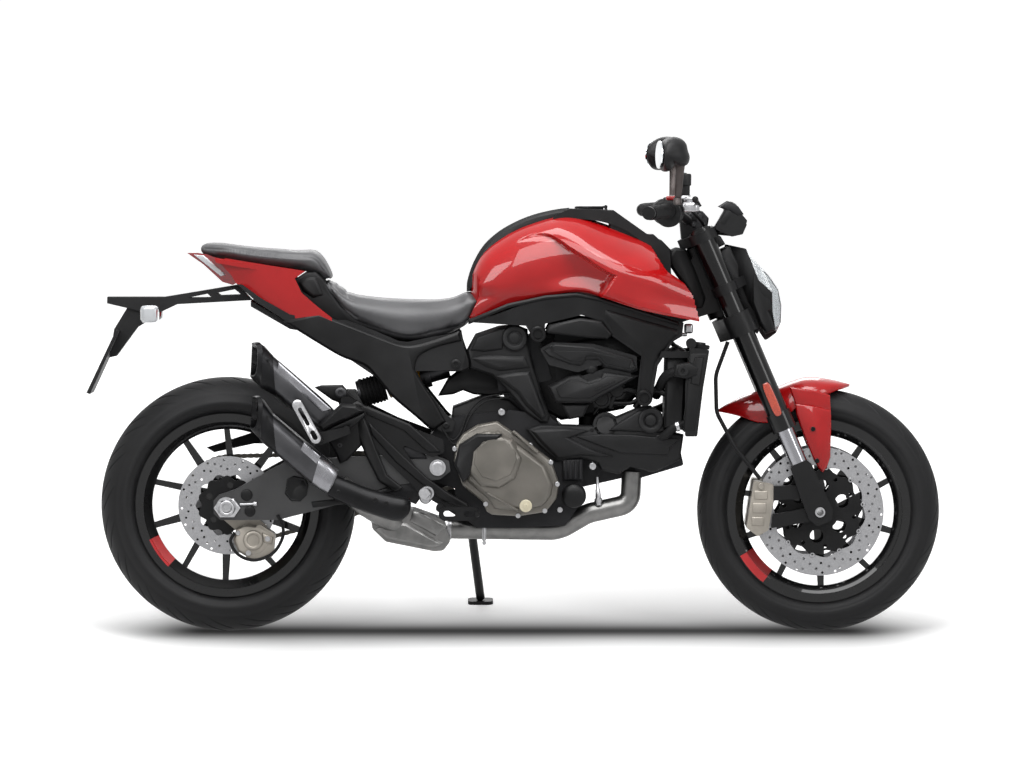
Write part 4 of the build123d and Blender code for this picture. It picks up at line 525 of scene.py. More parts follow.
def tyre_piece(name, body, centre, radius, half, bead_half, pitches, groove, reach):
    """Crown arc, side walls with rings, beads and liner; grooves are cut by lowering the radius."""
    crown, shoulder = half * 1.02, np.radians(52)
    arc = np.linspace(-shoulder, shoulder, 61)
    tread_y, tread_r = crown * np.sin(arc), radius - crown * (1 - np.cos(arc))
    share = arc / shoulder
    edge_y, edge_r = tread_y[-1], tread_r[-1]
    halfway = (edge_r + BEAD) / 2
    wall = [
        (edge_y, edge_r), (half - 0.5, halfway + 12), (half - 8, HEEL + 9), (bead_half, HEEL),
        (bead_half, BEAD + 1),
    ]
    wall = through(wall, 32)[1:]
    over_heel = wall[:, 1] - HEEL
    rings = 0.9 * np.exp(-(((over_heel - 22) / 1.6) ** 2)) + 0.9 * np.exp(-(((over_heel - 11) / 1.2) ** 2))
    step_in = radius - 55
    wall[:, 0] += rings + 1.6 * (1 - smooth_step(wall[:, 1], step_in - 1.5, step_in + 1.0)) - 0.8
    liner = np.array(
        [(bead_half - 9, BEAD + 1), (half - 11, halfway), (edge_y - 5, edge_r - 9), (0, radius - 11)]
    )
    y = np.concatenate([tread_y, wall[:, 0], liner[:, 0], -liner[-2::-1, 0], -wall[::-1, 0]])
    r = np.concatenate([tread_r, wall[:, 1], liner[:, 1], liner[-2::-1, 1], wall[::-1, 1]])
    spread = np.concatenate([share, np.ones(len(wall) + len(liner)), -np.ones(len(liner) - 1 + len(wall))])
    angles, offset, which = groove_columns(pitches, radius, groove)
    side = np.abs(spread)[:, None]
    sweep = -reach * side**1.4
    start = np.where(which == 0, 0.10, 0.42)[None, :]
    stop = np.where(which == 0, 0.72, 0.97)[None, :]
    taper = smooth_step(side, start, start + 0.16) * (1 - smooth_step(side, stop - 0.22, stop))
    cut = 1 - smooth_step(np.abs(offset)[None, :], 0.5 * groove * taper, 1.0 * groove * taper + 0.02)
    depth = GROOVE_DEEP * cut * (taper > 0.02) * (np.arange(y.size) < arc.size)[:, None]
    twist = angles[None, :] + sweep
    points = wheel_points(centre[0], centre[1], r[:, None] - depth, twist, y[:, None])
    faces = grid_faces(y.size, angles.size, closed_rows=True, closed_columns=True)
    piece = add_piece(name, points, faces, body, "tyre_rubber")
    return finish_edges(piece, sharp_over=60)


FRONT_AXLE = (WHEELBASE, FRONT_AXLE_HIGH)
REAR_AXLE = (0.0, REAR_AXLE_HIGH)
front_tread = tyre_piece("front_tyre_tread", "front_wheel", FRONT_AXLE, 302.0, 60.0, 45.0, 22, 4.4, 0.30)
rear_tread = tyre_piece("rear_tyre_tread", "rear_wheel", REAR_AXLE, 317.0, 90.0, 70.0, 20, 4.8, 0.34)
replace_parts(front_tread, "front_tyre")
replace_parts(rear_tread, "rear_tyre")

# %% [markdown]
# A strip of red tape lies on each rim, low at the back. It follows the rim's own profile: round the
# lip, along the bead seat's underside and down the slope of the well.

# %% Rim tapes


def rim_tape(name, body, centre, bead_half, start, stop, lip=226.0):
    """Two strips, right and left: the rim's inner profile, half a millimetre proud, over an arc."""
    slope = np.array(
        [
            (bead_half + 6.5, lip), (bead_half + 6.5, 207.4), (bead_half * 0.66, 207.4),
            (bead_half * 0.49, 188.2),
        ]
    )
    back = slope[::-1] + np.array([(0.3, 0.5), (0.3, 0.5), (-0.5, 0.5), (-0.6, 0)])
    profile = np.vstack([slope, back])
    angle = np.radians(np.linspace(start, stop, 25))
    points, faces = [], []
    for side in (-1, 1):
        grid = wheel_points(centre[0], centre[1], profile[:, 1:2], angle[None, :], side * profile[:, :1])
        base = sum(part.shape[0] for part in points)
        ring = grid_faces(len(profile), angle.size, closed_rows=True) + base
        ends = [tuple(base + np.arange(len(profile)) * angle.size + column) for column in (0, angle.size - 1)]
        faces += list(map(tuple, ring)) + ends
        points.append(grid.reshape(-1, 3))
    return add_piece(name, np.vstack(points), faces, body, "red_paint", FINISHES["rim_tape"], smooth=False)


FINISHES["rim_tape"] = finish("red_vinyl_tape", "#b3161b", "#c21d22", 0.45)
rim_tape("front_rim_tape", "front_wheel", FRONT_AXLE, 45.0, 210, 232)
rim_tape("rear_rim_tape", "rear_wheel", REAR_AXLE, 70.0, 204, 226, 212.0)

# %% [markdown]
# A brake disc is a flat ring, drilled through and waved at its inner edge. Flat shapes with many
# holes are what a filled two-dimensional curve is for: every closed line inside another is a hole.

# %% Drilled discs


def circle(radius, steps, centre=(0, 0), wave=0.0, lobes=0, turn=0.0):
    """A closed ring of points, its radius waving by `wave` in `lobes` smooth lobes."""
    angle = np.linspace(0, 2 * np.pi, steps, endpoint=False) + turn
    far = radius + wave * np.cos(lobes * (angle - turn))
    return np.stack([centre[0] + far * np.cos(angle), centre[1] + far * np.sin(angle)], -1)


def flat_solid(name, lines, centre, across, thick, body, slot):
    """A plate with holes: closed lines in the side view, filled and given a thickness about `across`."""
    curve = bpy.data.curves.new(name, "CURVE")
    curve.dimensions, curve.fill_mode, curve.extrude = "2D", "BOTH", thick / 2
    for line in lines:
        spline = curve.splines.new("POLY")
        spline.points.add(len(line) - 1)
        rows = np.column_stack([line, np.zeros(len(line)), np.ones(len(line))])
        spline.points.foreach_set("co", rows.ravel())
        spline.use_cyclic_u = True
    holder = bpy.data.objects.new(name, curve)
    mesh = bpy.data.meshes.new_from_object(holder)
    flat = vertex_array(mesh)
    points = np.column_stack([centre[0] + flat[:, 0], across - flat[:, 2], centre[1] + flat[:, 1]])
    faces = [tuple(face.vertices) for face in mesh.polygons]
    bpy.data.objects.remove(holder)
    bpy.data.curves.remove(curve)
    bpy.data.meshes.remove(mesh)
    return add_piece(name, points, faces, body, slot, smooth=False)


def drill(pattern, folds, hole, steps=10):
    """Holes repeated round a disc: each (radius, angle in degrees) of the pattern, `folds` times."""
    turns = np.radians(360 / folds) * np.arange(folds)
    spots = [(far, turn + np.radians(angle)) for far, angle in pattern for turn in turns]
    return [circle(hole, steps, (far * np.cos(turn), far * np.sin(turn))) for far, turn in spots]


FRONT_HOLES = [(124, 0), (133, 8), (143, 15), (153, 21), (129, 20), (139, 28), (149, 2), (154, 33)]
REAR_HOLES = [(90, 0), (98, 9), (107, 17), (115, 25), (94, 26), (103, 34), (113, 4)]
disc_rings = []
for side, hand in ((-1, "right"), (1, "left")):
    lines = [circle(160, 120), circle(112, 160, wave=-3.5, lobes=10, turn=np.radians(9))]
    lines += drill(FRONT_HOLES, 10, 3.3)
    where = (FRONT_AXLE, 72.0 * side)
    disc_rings.append(flat_solid(f"front_disc_ring_{hand}", lines, *where, 4.5, "front_wheel", "disc_steel"))
    arms = [circle(104, 200, wave=6.0, lobes=10, turn=np.radians(9)), circle(24, 40)]
    arms += drill([(62, 24)], 6, 17, 14) + drill([(88, 27)], 10, 5.5)
    flat_solid(f"front_disc_carrier_{hand}", arms, *where, 6.0, "front_wheel", "black_alloy")
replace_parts(disc_rings[0], "front_discs")
rear_lines = [circle(122, 100), circle(74, 160, wave=4.5, lobes=10)] + drill(REAR_HOLES, 8, 3.0)
rear_ring = flat_solid("rear_disc_ring", rear_lines, REAR_AXLE, -71.0, 4.5, "rear_wheel", "disc_steel")
carrier = [circle(69, 160, wave=5.0, lobes=10, turn=np.radians(18)), circle(32, 40)]
carrier += drill([(50, 10)], 5, 8, 12)
flat_solid("rear_disc_carrier", carrier, REAR_AXLE, -71.0, 6.0, "rear_wheel", "black_alloy")
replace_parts(rear_ring, "rear_disc")

# %% [markdown]
# Bolts hold everything, and dozens of them show. Each head is a small turned profile with a hexagon
# socket, and all the heads of one body make one mesh.

# %% Bolt heads


def turned(profile, start, axis, steps=18):
    """A surface turned about an axis: profile rows are (distance along the axis, radius)."""
    profile = np.asarray(profile, float)
    axis = np.asarray(axis, float) / np.linalg.norm(axis)
    side = np.cross(axis, (0.0, 0.0, 1.0) if abs(axis[2]) < 0.9 else (1.0, 0.0, 0.0))
    side /= np.linalg.norm(side)
    other = np.cross(axis, side)
    angle = np.linspace(0, 2 * np.pi, steps, endpoint=False)
    around = np.cos(angle)[:, None] * side + np.sin(angle)[:, None] * other
    points = np.asarray(start, float) + profile[:, None, :1] * axis + profile[:, None, 1:2] * around
    return points, grid_faces(len(profile), steps, closed_columns=True)


def gather(parts):
    """Several (points, faces) parts as one list of points and one of faces."""
    points, faces, count = [], [], 0
    for part_points, part_faces in parts:
        flat = np.asarray(part_points).reshape(-1, 3)
        faces += [tuple(int(i) + count for i in face) for face in part_faces]
        points.append(flat)
        count += len(flat)
    return np.vstack(points), faces


def joined(name, parts, body, slot, material=None, sharp_over=40.0, bevel_mm=0.0):
    """One mesh of several (points, faces) parts, bevelled where a width is given."""
    return finish_edges(add_piece(name, *gather(parts), body, slot, material), bevel_mm, sharp_over)


def bolt(place, radius, axis=(0, -1, 0), tall=None, socket=0.5):
    """One cap screw's head: a turned edge, a flat top and a six-sided socket (a closed profile)."""
    tall = tall or radius * 0.8
    profile = [(-1, 0.001), (-1, radius * 0.96), (0, radius), (tall * 0.8, radius), (tall, radius * 0.84)]
    profile += [(tall, radius * socket), (tall * 0.35, radius * socket), (tall * 0.3, 0.001)]
    return turned(profile, place, axis, 12)


def bolt_set(name, places, body, slot="bare_alloy"):
    """One mesh of all the (place, radius, axis) bolts of a body; a height and a socket may follow."""
    return joined(name, [bolt(*place) for place in places], body, slot)


RIGHT, LEFTWARDS = (0, -1, 0), (0, 1, 0)
buttons = []
for side in (-1, 1):
    for angle in np.radians(np.arange(10) * 36 + 9):
        place = (FRONT_AXLE[0] + 110 * np.cos(angle), side * 71.0, FRONT_AXLE[1] + 110 * np.sin(angle))
        buttons.append((place, 6.5, (0, side, 0), 7.0))
bolt_set("front_disc_buttons", buttons, "front_wheel")

# %% [markdown]
# The lower fork casting is black and the tube that slides out of it is hard chrome, but they are one
# part here. A mask along the fork's own direction changes the finish at the casting's top edge. The
# direction and the axle are worked out once, and a dot product gives each point's height along it.

# %% Fork: black castings, chrome sliders, orange reflectors
RAKE = np.radians(23.1)
FORK_UP = np.array([-np.sin(RAKE), 0, np.cos(RAKE)])
FORK_AHEAD = np.array([np.cos(RAKE), 0, np.sin(RAKE)])
AXLE_POINT = np.array([WHEELBASE, 0, FRONT_AXLE_HIGH])
CASTING_TOP, FORK_SPREAD = 133, 103
SIDE = np.array([0.0, 1.0, 0.0])


def on_fork(along, ahead=0.0, across=0.0):
    """Upright points at distances along and ahead of the fork's axis, at one Y (arrays or numbers)."""
    along, ahead, across = np.broadcast_arrays(along, ahead, across)
    return AXLE_POINT + along[..., None] * FORK_UP + ahead[..., None] * FORK_AHEAD + across[..., None] * SIDE


def masked_along(base, name, start, end, other, rough, metal):
    """A copy of a finish that turns into another colour between two places in the model, in metres."""
    made = base.copy()
    made.name = name
    tree = made.node_tree
    shader = tree.nodes["Principled BSDF"]
    run = np.asarray(end, float) - np.asarray(start, float)
    scale = run / np.dot(run, run)
    place = node(tree, "ShaderNodeTexCoord").outputs["Object"]
    dot = node(tree, "ShaderNodeVectorMath", {"operation": "DOT_PRODUCT"}, _0=place, _1=tuple(scale))
    height = arithmetic(tree, "SUBTRACT", dot.outputs["Value"], float(np.dot(start, scale)))
    mask = map_range(tree, height)
    for socket, value in (("Base Color", linear(other)), ("Roughness", rough), ("Metallic", metal)):
        old = shader.inputs[socket]
        if socket == "Base Color":
            first = old.links[0].from_socket
            mix = node(tree, "ShaderNodeMix", {"data_type": "RGBA"}, _0=mask, _6=first, _7=value)
            tree.links.new(mix.outputs[2], old)
        else:
            tree.links.new(map_range(tree, mask, To_Min=old.default_value, To_Max=value), old)
    return made


edge = park(np.array([on_fork(CASTING_TOP), on_fork(CASTING_TOP + 0.5)]))
fork_finish = masked_along(
    FINISHES["black_alloy"], "black_casting_chrome_slider", edge[0], edge[1], "#8f8f93", 0.12, 1.0,
)
frame["nodes"]["fork_legs"].data.materials[0] = fork_finish


def capped(grid):
    """The points and faces of a tube-like grid, its first and last rings closed by flat caps."""
    rows, columns = grid.shape[:2]
    first, last = tuple(range(columns)), tuple(range((rows - 1) * columns, rows * columns))
    faces = [tuple(face) for face in grid_faces(rows, columns, closed_columns=True)]
    return grid, faces + [first[::-1], last]


def rounded_box(centre, axes, sizes, corner):
    """A block with round corners: outline |x/a|^4 + |y/b|^4 = 1, its edge a quarter circle in section."""
    axes, half = np.asarray(axes, float), np.asarray(sizes, float) / 2
    angle = np.linspace(0, 2 * np.pi, 40, endpoint=False)
    flat = np.stack([np.sign(f(angle)) * np.abs(f(angle)) ** 0.5 for f in (np.cos, np.sin)], -1)
    turn = np.linspace(0, np.pi / 2, 4)
    inset, height = corner * (1 - np.sin(turn)), half[2] - corner * (1 - np.cos(turn))
    inset, height = np.concatenate([inset, inset[::-1]]), np.concatenate([height, -height[::-1]])
    shape = flat[None, :, :] * (half[None, None, :2] - inset[:, None, None])
    flat = np.asarray(centre) + shape[..., :1] * axes[0] + shape[..., 1:] * axes[1]
    return capped(flat + height[:, None, None] * axes[2])


FINISHES["orange_reflector"] = finish(
    "orange_prismatic_reflector", "#a82a05", "#cf3f0c", 0.2, mottle=3, grain=2.0, relief=1.0, Coat_Weight=1.0
)
REFLECTOR_AT, REFLECTOR_LONG, REFLECTOR_WIDE = 305, 88, 21
fork_axes = (FORK_AHEAD, FORK_UP, SIDE)
parts, backs = [], []
for side in (-1, 1):
    middle = on_fork(REFLECTOR_AT, 0.0, side * (FORK_SPREAD + 29.0))
    parts.append(rounded_box(middle, fork_axes, (REFLECTOR_WIDE, REFLECTOR_LONG, 6), 2))
    middle = middle - side * 2.5 * SIDE
    backs.append(rounded_box(middle, fork_axes, (REFLECTOR_WIDE + 5, REFLECTOR_LONG + 5, 6), 2))
add_piece("fork_reflectors", *gather(parts), "steering", "red_lens", FINISHES["orange_reflector"])
add_piece("fork_reflector_backs", *gather(backs), "steering", "black_plastic")

# %% [markdown]
# Cast covers and panels are not flat plates: their faces are stepped and bevelled. A panel helper
# takes a side outline, shrinks it step by step with the distance each step stands out, and closes it.
# Shrinking an outline moves every edge inwards by the same distance, as a chamfer does.

# %% Raised panels


def shrink(outline, inset):
    """An outline (anticlockwise rows of x, z) with each edge moved inwards by `inset` mm."""
    outline = np.asarray(outline, float)
    area = np.sum(outline[:, 0] * np.roll(outline[:, 1], -1) - np.roll(outline[:, 0], -1) * outline[:, 1])
    outline = outline if area > 0 else outline[::-1]
    before = outline - np.roll(outline, 1, axis=0)
    after = np.roll(outline, -1, axis=0) - outline
    before, after = (v / np.linalg.norm(v, axis=1, keepdims=True) for v in (before, after))
    inward = [np.stack([-v[:, 1], v[:, 0]], -1) for v in (before, after)]
    turn = 1 + np.sum(inward[0] * inward[1], axis=1, keepdims=True)
    return outline + inset * (inward[0] + inward[1]) / np.maximum(turn, 0.35)


def panel(outline, steps):
    """A stepped block on the right side: steps are (inset, Y) from its base to its flat face."""
    rings = np.stack([shrink(outline, row[0]) for row in steps])
    across = np.array([[row[1]] * len(outline) for row in steps], float)
    return capped(np.stack([rings[..., 0], across, rings[..., 1]], -1))


def panel_piece(name, panels, body, slot, material=None, bevel=0.8, mirror=False):
    """One mesh of several panels (outline, steps), with narrow bevels on their edges."""
    parts = [panel(*one) for one in panels]
    if mirror:
        parts += [(points * (1, -1, 1), faces) for points, faces in parts]
    return finish_edges(add_piece(name, *gather(parts), body, slot, material, smooth=False), bevel, 25)


def round_outline(centre, radius, steps=40, start=0.0):
    """Points of a circle in the side view, or of an arc from `start` degrees to its end at 360."""
    angle = np.radians(np.linspace(start, 360, steps, endpoint=start > 0))
    return np.stack([centre[0] + radius * np.cos(angle), centre[1] + radius * np.sin(angle)], -1)


# %% [markdown]
# The covers over the two toothed belts are moulded plastic. The rear one is a rounded head with a
# round boss, and a pointed lobe that hangs from it; the front one is a long shield with the cam's
# round boss at its end. Each is a stack of panels, so that its parting lines and chamfers are real.

# %% Belt covers
belt_rear = [
    (595, 704), (604, 659), (658, 641), (698, 601), (742, 548), (778, 523), (796, 523), (802, 539),
    (778, 610), (760, 673), (749, 717), (747, 755), (716, 768), (675, 764), (617, 744),
]
belt_lobe = [(664, 640), (722, 596), (742, 566), (782, 529), (794, 540), (752, 652), (700, 648)]
belt_brow = [(606, 684), (640, 692), (740, 690), (752, 660), (676, 652), (640, 664)]
belt_head = [(604, 704), (622, 738), (676, 757), (700, 760), (684, 706), (640, 700)]
belt_front = [
    (742, 508), (769, 472), (818, 427), (880, 436), (920, 423), (929, 405), (974, 396), (1001, 414),
    (1054, 401), (1066, 403), (1125, 432), (1134, 494), (1096, 503), (1081, 543), (1052, 566), (1023, 563),
    (967, 539), (943, 548), (920, 543), (907, 517), (840, 519), (778, 519),
]
belt_leaf = [
    (866, 490), (907, 473), (978, 448), (1097, 443), (1101, 463), (1126, 484), (1000, 496), (929, 497),
]
belt_cam = [(948, 505), (1000, 503), (1092, 499), (1076, 540), (1050, 559), (1024, 556), (980, 530)]
belt_body = [
    (752, 506), (778, 476), (820, 434), (878, 442), (960, 440), (900, 462), (854, 486), (900, 505),
    (840, 512),
]
belt_panels = [
    (belt_rear, [(0, -74), (0, -104), (6, -111)]),
    (belt_lobe, [(0, -104), (0, -114), (9, -121)]),
    (belt_brow, [(0, -104), (0, -113), (10, -118)]),
    (belt_head, [(0, -104), (0, -113), (5, -117)]),
    (round_outline((715, 734), 32), [(0, -100), (0, -119), (3, -123), (13, -123), (15, -119)]),
    (round_outline((715, 734), 14), [(0, -110), (0, -120), (2, -121)]),
    (belt_front, [(0, -74), (0, -110), (5, -117)]),
    (belt_leaf, [(0, -108), (0, -119), (4, -123)]),
    (belt_cam, [(0, -108), (0, -120), (5, -125)]),
    (belt_body, [(0, -108), (0, -118), (7, -123)]),
    (round_outline((1052, 530), 32), [(0, -108), (0, -125), (3, -129), (13, -129), (15, -125)]),
    (round_outline((1052, 530), 14), [(0, -110), (0, -126), (2, -127)]),
    (round_outline((940, 518), 32), [(0, -100), (0, -114), (2, -117), (11, -117), (12, -113)]),
]
covers = panel_piece("belt_cover_mouldings", belt_panels, "chassis", "black_plastic")
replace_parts(covers, "belt_covers")
bolt_set(
    "belt_cover_screws",
    [((669, -111, 728), 7, RIGHT, 3), ((1071, -122, 488), 6, RIGHT, 3), ((906, -118, 508), 5, RIGHT, 3)],
    "chassis", "black_plastic",
)

# %% [markdown]
# The airbox covers are two facing shells with a sensor's round cap between them. They are the same on
# both sides, so one set of panels is made and mirrored.

# %% Airbox covers
air_upper = [
    (778, 706), (796, 686), (849, 666), (880, 661), (894, 676), (920, 676), (934, 660), (1001, 646),
    (1021, 655), (1010, 688), (907, 717), (814, 724),
]
air_upper_face = [
    (800, 704), (850, 676), (884, 674), (894, 688), (922, 688), (938, 670), (1000, 656), (1004, 680),
    (906, 704),
]
air_lower = [
    (796, 615), (813, 575), (827, 573), (903, 573), (1023, 641), (1005, 644), (934, 655), (925, 640),
    (898, 633), (876, 645), (849, 641),
]
air_lower_face = [
    (812, 612), (826, 584), (900, 583), (1000, 638), (940, 644), (926, 632), (898, 624), (872, 634),
    (850, 632),
]
air_foot = [(829, 571), (900, 571), (885, 539), (849, 532)]
air_rib = [(916, 605), (963, 627), (961, 630), (914, 608)]
air_panels = [
    (air_upper, [(0, -120), (0, -134), (8, -146)]),
    (air_upper_face, [(0, -140), (3, -148)]),
    (air_lower, [(0, -118), (0, -132), (7, -142)]),
    (air_lower_face, [(0, -136), (4, -145)]),
    (air_foot, [(0, -84), (0, -118), (6, -124)]),
    (air_rib, [(0, -142), (0.6, -147)]),
]
panel_piece("airbox_cover_shells", air_panels, "chassis", "black_plastic", mirror=True)
sensor_cap = [(0, 0.001), (0, 17), (16, 17), (24, 13), (28, 6), (29, 0.001)]
caps = [turned(sensor_cap, (905, side * 112, 659), (0, side, 0), 32) for side in (-1, 1)]
joined("airbox_sensor_caps", caps, "chassis", "black_plastic")
bolt_set(
    "airbox_screws",
    [((x, side * 146, z), 5, (0, side, 0), 3) for side in (-1, 1) for x, z in ((806, 712), (1008, 662))],
    "chassis", "black_plastic",
)

# %% [markdown]
# The clutch cover is a magnesium casting. A ring of bolts holds its flange; the face is faceted, its
# upper left corner is a dark plastic shield, and a round bulge covers the clutch basket.

# %% Clutch cover
clutch_flange = [
    (622, 519), (586, 497), (569, 472), (564, 432), (586, 370), (635, 330), (645, 306), (658, 298),
    (724, 294), (791, 305), (818, 338), (825, 374), (805, 432), (751, 472), (671, 528),
]
clutch_face = [
    (634, 506), (584, 462), (578, 432), (598, 378), (646, 338), (664, 312), (722, 306), (784, 317),
    (806, 344), (812, 374), (792, 424), (742, 462), (676, 510),
]
clutch_rib = [(706, 504), (714, 508), (776, 456), (770, 448)]
clutch_ledge = [(640, 352), (648, 356), (728, 312), (722, 306)]
clutch_panels = [
    (clutch_flange, [(0, -98), (0, -160), (3, -166)]),
    (clutch_face, [(0, -160), (4, -176), (13, -184)]),
    (clutch_rib, [(0, -164), (1.5, -178)]),
    (clutch_ledge, [(0, -176), (2, -188)]),
    (round_outline((662, 432), 74, 10, 9), [(0, -176), (8, -192), (15, -197)]),
    (round_outline((666, 436), 56, 9, 20), [(0, -190), (3, -199)]),
]
panel_piece("clutch_cover", clutch_panels, "chassis", "magnesium_grey", bevel=1.5)
clutch_shield = [
    (621, 500), (577, 473), (565, 423), (586, 377), (604, 394), (613, 423), (617, 454), (640, 478),
    (672, 482), (686, 500),
]
panel_piece(
    "clutch_cover_shield", [(clutch_shield, [(0, -160), (1, -193), (6, -200.5)])], "chassis", "black_plastic",
    bevel=1.2,
)
flange_bolts = [(566, 461), (753, 470), (804, 428), (820, 374), (789, 308), (723, 296), (643, 325)]
case_bolts = [((827, -112, 308), 7, RIGHT), ((908, -116, 416), 9, RIGHT), ((682, -108, 550), 9, RIGHT)]
bolt_set("clutch_cover_bolts", [((x, -165, z), 6.2, RIGHT) for x, z in flange_bolts] + case_bolts, "chassis")
FINISHES["filler_cap"] = finish("ivory_nylon", "#cfc6ab", "#ded6bd", 0.4)
filler_shape = [(0, 0.001), (0, 15.5), (9, 15.5), (11, 13.5), (11, 6), (13, 5), (13, 0.001)]
filler = turned(filler_shape, (742, -178, 321), RIGHT, 28)
joined("oil_filler_cap", [filler], "chassis", "bare_alloy", FINISHES["filler_cap"])

# %% [markdown]
# On the left side a round cover hides the alternator, and a plate shields the output sprocket.

# %% Left covers
CRANK_AT = (790, 400)
alternator = [
    (round_outline(CRANK_AT, 92, 48), [(0, 98), (0, 124), (4, 130)]),
    (round_outline(CRANK_AT, 80, 48), [(0, 128), (2, 146), (14, 154)]),
    (round_outline(CRANK_AT, 40, 32), [(0, 152), (4, 158)]),
    (
        [(690, 296), (690, 474), (640, 494), (584, 481), (567, 440), (573, 350), (620, 298)],
        [(0, 117.5), (0, 124), (6, 131)],
    ),
    ([(670, 306), (716, 306), (716, 484), (670, 464)], [(0, 98), (0, 126), (5, 131)]),
]
left_covers = panel_piece("left_engine_covers", alternator, "chassis", "magnesium_grey", bevel=1.2)
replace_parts(left_covers, "engine_covers")
ring_bolts = np.radians(np.arange(8) * 45 + 12)
left_bolts = [
    ((CRANK_AT[0] + 86 * np.cos(a), 130, CRANK_AT[1] + 86 * np.sin(a)), 5.5, LEFTWARDS)
    for a in ring_bolts
]
left_bolts += [((x, 131, z), 5, LEFTWARDS) for x, z in ((596, 464), (584, 372), (640, 316), (660, 474))]
bolt_set("left_cover_bolts", left_bolts, "chassis")

# %% [markdown]
# Under the front cylinder sit the oil filter, a dark canister lying across the machine, with a ribbed
# box above it, and the exhaust's oxygen sensor, a stepped metal plug screwed into the pipe.

# %% Oil filter, sensor and pipe clamp
filter_shape = [(0, 0.001), (0, 30), (60, 30), (66, 27), (69, 20), (71, 12), (71, 0.001)]
oil_filter = turned(filter_shape, (862, -70, 343), RIGHT, 36)
joined("oil_filter", [oil_filter], "chassis", "black_alloy", sharp_over=45)
ribs = [([(833, 434), (833, 380), (884, 380), (884, 434)], [(0, -60), (0, -108), (3, -112)])]
ribs += [
    ([(x, 432), (x, 384), (x + 5, 384), (x + 5, 432)], [(0, -108), (0.5, -118)])
    for x in (839, 851, 863, 875)
]
panel_piece("ribbed_oil_box", ribs, "chassis", "engine_grey", bevel=0.6)
sensor = [
    (-4, 0.001), (-4, 8), (4, 8), (4, 10), (12, 10), (13, 7), (34, 6), (36, 4.5), (66, 3.5), (66, 0.001),
]
joined("oxygen_sensor", [turned(sensor, (923, -82, 322), (-0.05, -0.05, 1), 20)], "chassis", "bare_alloy")

TUBE_STEPS, TUBE_ROUND = 80, 12


def tube(path, radius):
    """A round tube along a smooth curve through points: a circle carried in the curve's normal plane."""
    line = through(path, TUBE_STEPS) if len(path) > 2 else np.linspace(path[0], path[1], 2)
    along = np.gradient(line, axis=0)
    along /= np.linalg.norm(along, axis=1, keepdims=True)
    guide = np.array([0.0, 0.0, 1.0]) if abs(along[:, 2]).max() < 0.9 else SIDE
    side = np.cross(along, guide)
    side /= np.linalg.norm(side, axis=1, keepdims=True)
    other = np.cross(along, side)
    angle = np.linspace(0, 2 * np.pi, TUBE_ROUND, endpoint=False)[None, :, None]
    points = line[:, None] + radius * (np.cos(angle) * side[:, None] + np.sin(angle) * other[:, None])
    return capped(points)


clamp = [tube([(639, -90, 318), (639, -90, 222)], 3.2), tube([(639, -82, 318), (639, -97, 318)], 5)]
clamp += [tube([(639, -82, 224), (639, -97, 224)], 5)]
band = [(-5, 25), (-5, 27.5), (5, 27.5), (5, 25)]
clamp += [turned(band, (x, -60, 258 - (x - 552) * 0.015), (1, 0, -0.015), 40) for x in (639, 552)]
joined("pipe_clamps", clamp, "chassis", "bare_alloy")

# %% [markdown]
# Two thin control lines run from the swingarm up behind the rear belt cover; they are clipped at both
# ends, so they are plain tubes and not free cords.

# %% Lines and frame bosses
line_path = [
    (700, -84, 596), (680, -88, 593), (635, -92, 583), (600, -100, 548), (577, -112, 494), (556, -116, 482),
    (530, -114, 520),
]
lines = [tube(line_path, 2.4), tube([(x + 4, y - 5, z - 9) for x, y, z in line_path], 2.0)]
joined("clipped_control_lines", lines, "chassis", "black_rubber", sharp_over=60)
tube_end = [(-6, 13), (-6, 20), (9, 20), (12, 17), (12, 13.5), (-2, 13), (-2, 0.001)]
bosses = [
    turned(tube_end, (x, side * 136, z), (0, side, 0), 36)
    for side in (-1, 1)
    for x, z in ((772, 744), (1036, 586))
]
joined("frame_tube_ends", bosses, "chassis", "black_alloy")
bolt_set(
    "chassis_bolts",
    [((569, side * 118, 670), 12, (0, side, 0), 6) for side in (-1, 1)]
    + [((545, side * 118, 517), 8, (0, side, 0), 5) for side in (-1, 1)],
    "chassis", "black_alloy",
)
bolt_set("pivot_bolts", [((524, side * 152.5, 414), 15, (0, side, 0), 4, 0.6) for side in (-1, 1)], "chassis")

# %% [markdown]
# The frame is cast, so its faces are never flat sheets: a raised lip follows the tank's lower edge, and
# a shallow six-sided panel stands between the two tube ends.

# %% Frame mouldings
frame_lip = [
    (600, 780), (600, 768), (698, 808), (790, 829), (870, 836), (925, 825), (1121, 764), (1121, 775),
    (925, 836), (868, 847), (790, 840), (698, 820),
]
frame_panel = [(790, 750), (796, 746), (894, 735), (943, 731), (958, 744), (932, 778), (876, 784), (800, 768)]
frame_leg = [
    (962, 738), (1030, 700), (1024, 596), (1048, 596), (1062, 672), (1100, 726), (1118, 742), (1118, 756),
    (940, 806), (936, 786), (950, 770),
]
frame_parts = [
    (frame_lip, [(0, -112), (0, -138.3), (4, -143)]),
    (frame_panel, [(0, -130), (0, -138.3), (6, -144)]),
    (frame_leg, [(0, -130), (0, -138.3), (9, -142)]),
]
panel_piece("frame_mouldings", frame_parts, "chassis", "black_alloy", bevel=1.2, mirror=True)

# %% [markdown]
# Behind the covers the machine is packed: the airbox, the throttle bodies and their hoses fill the
# space between the cylinders, and the radiator's fan housing the space ahead of the frame. They are
# dark and half hidden, so plain rounded shapes are enough, but they must be there to block the light.

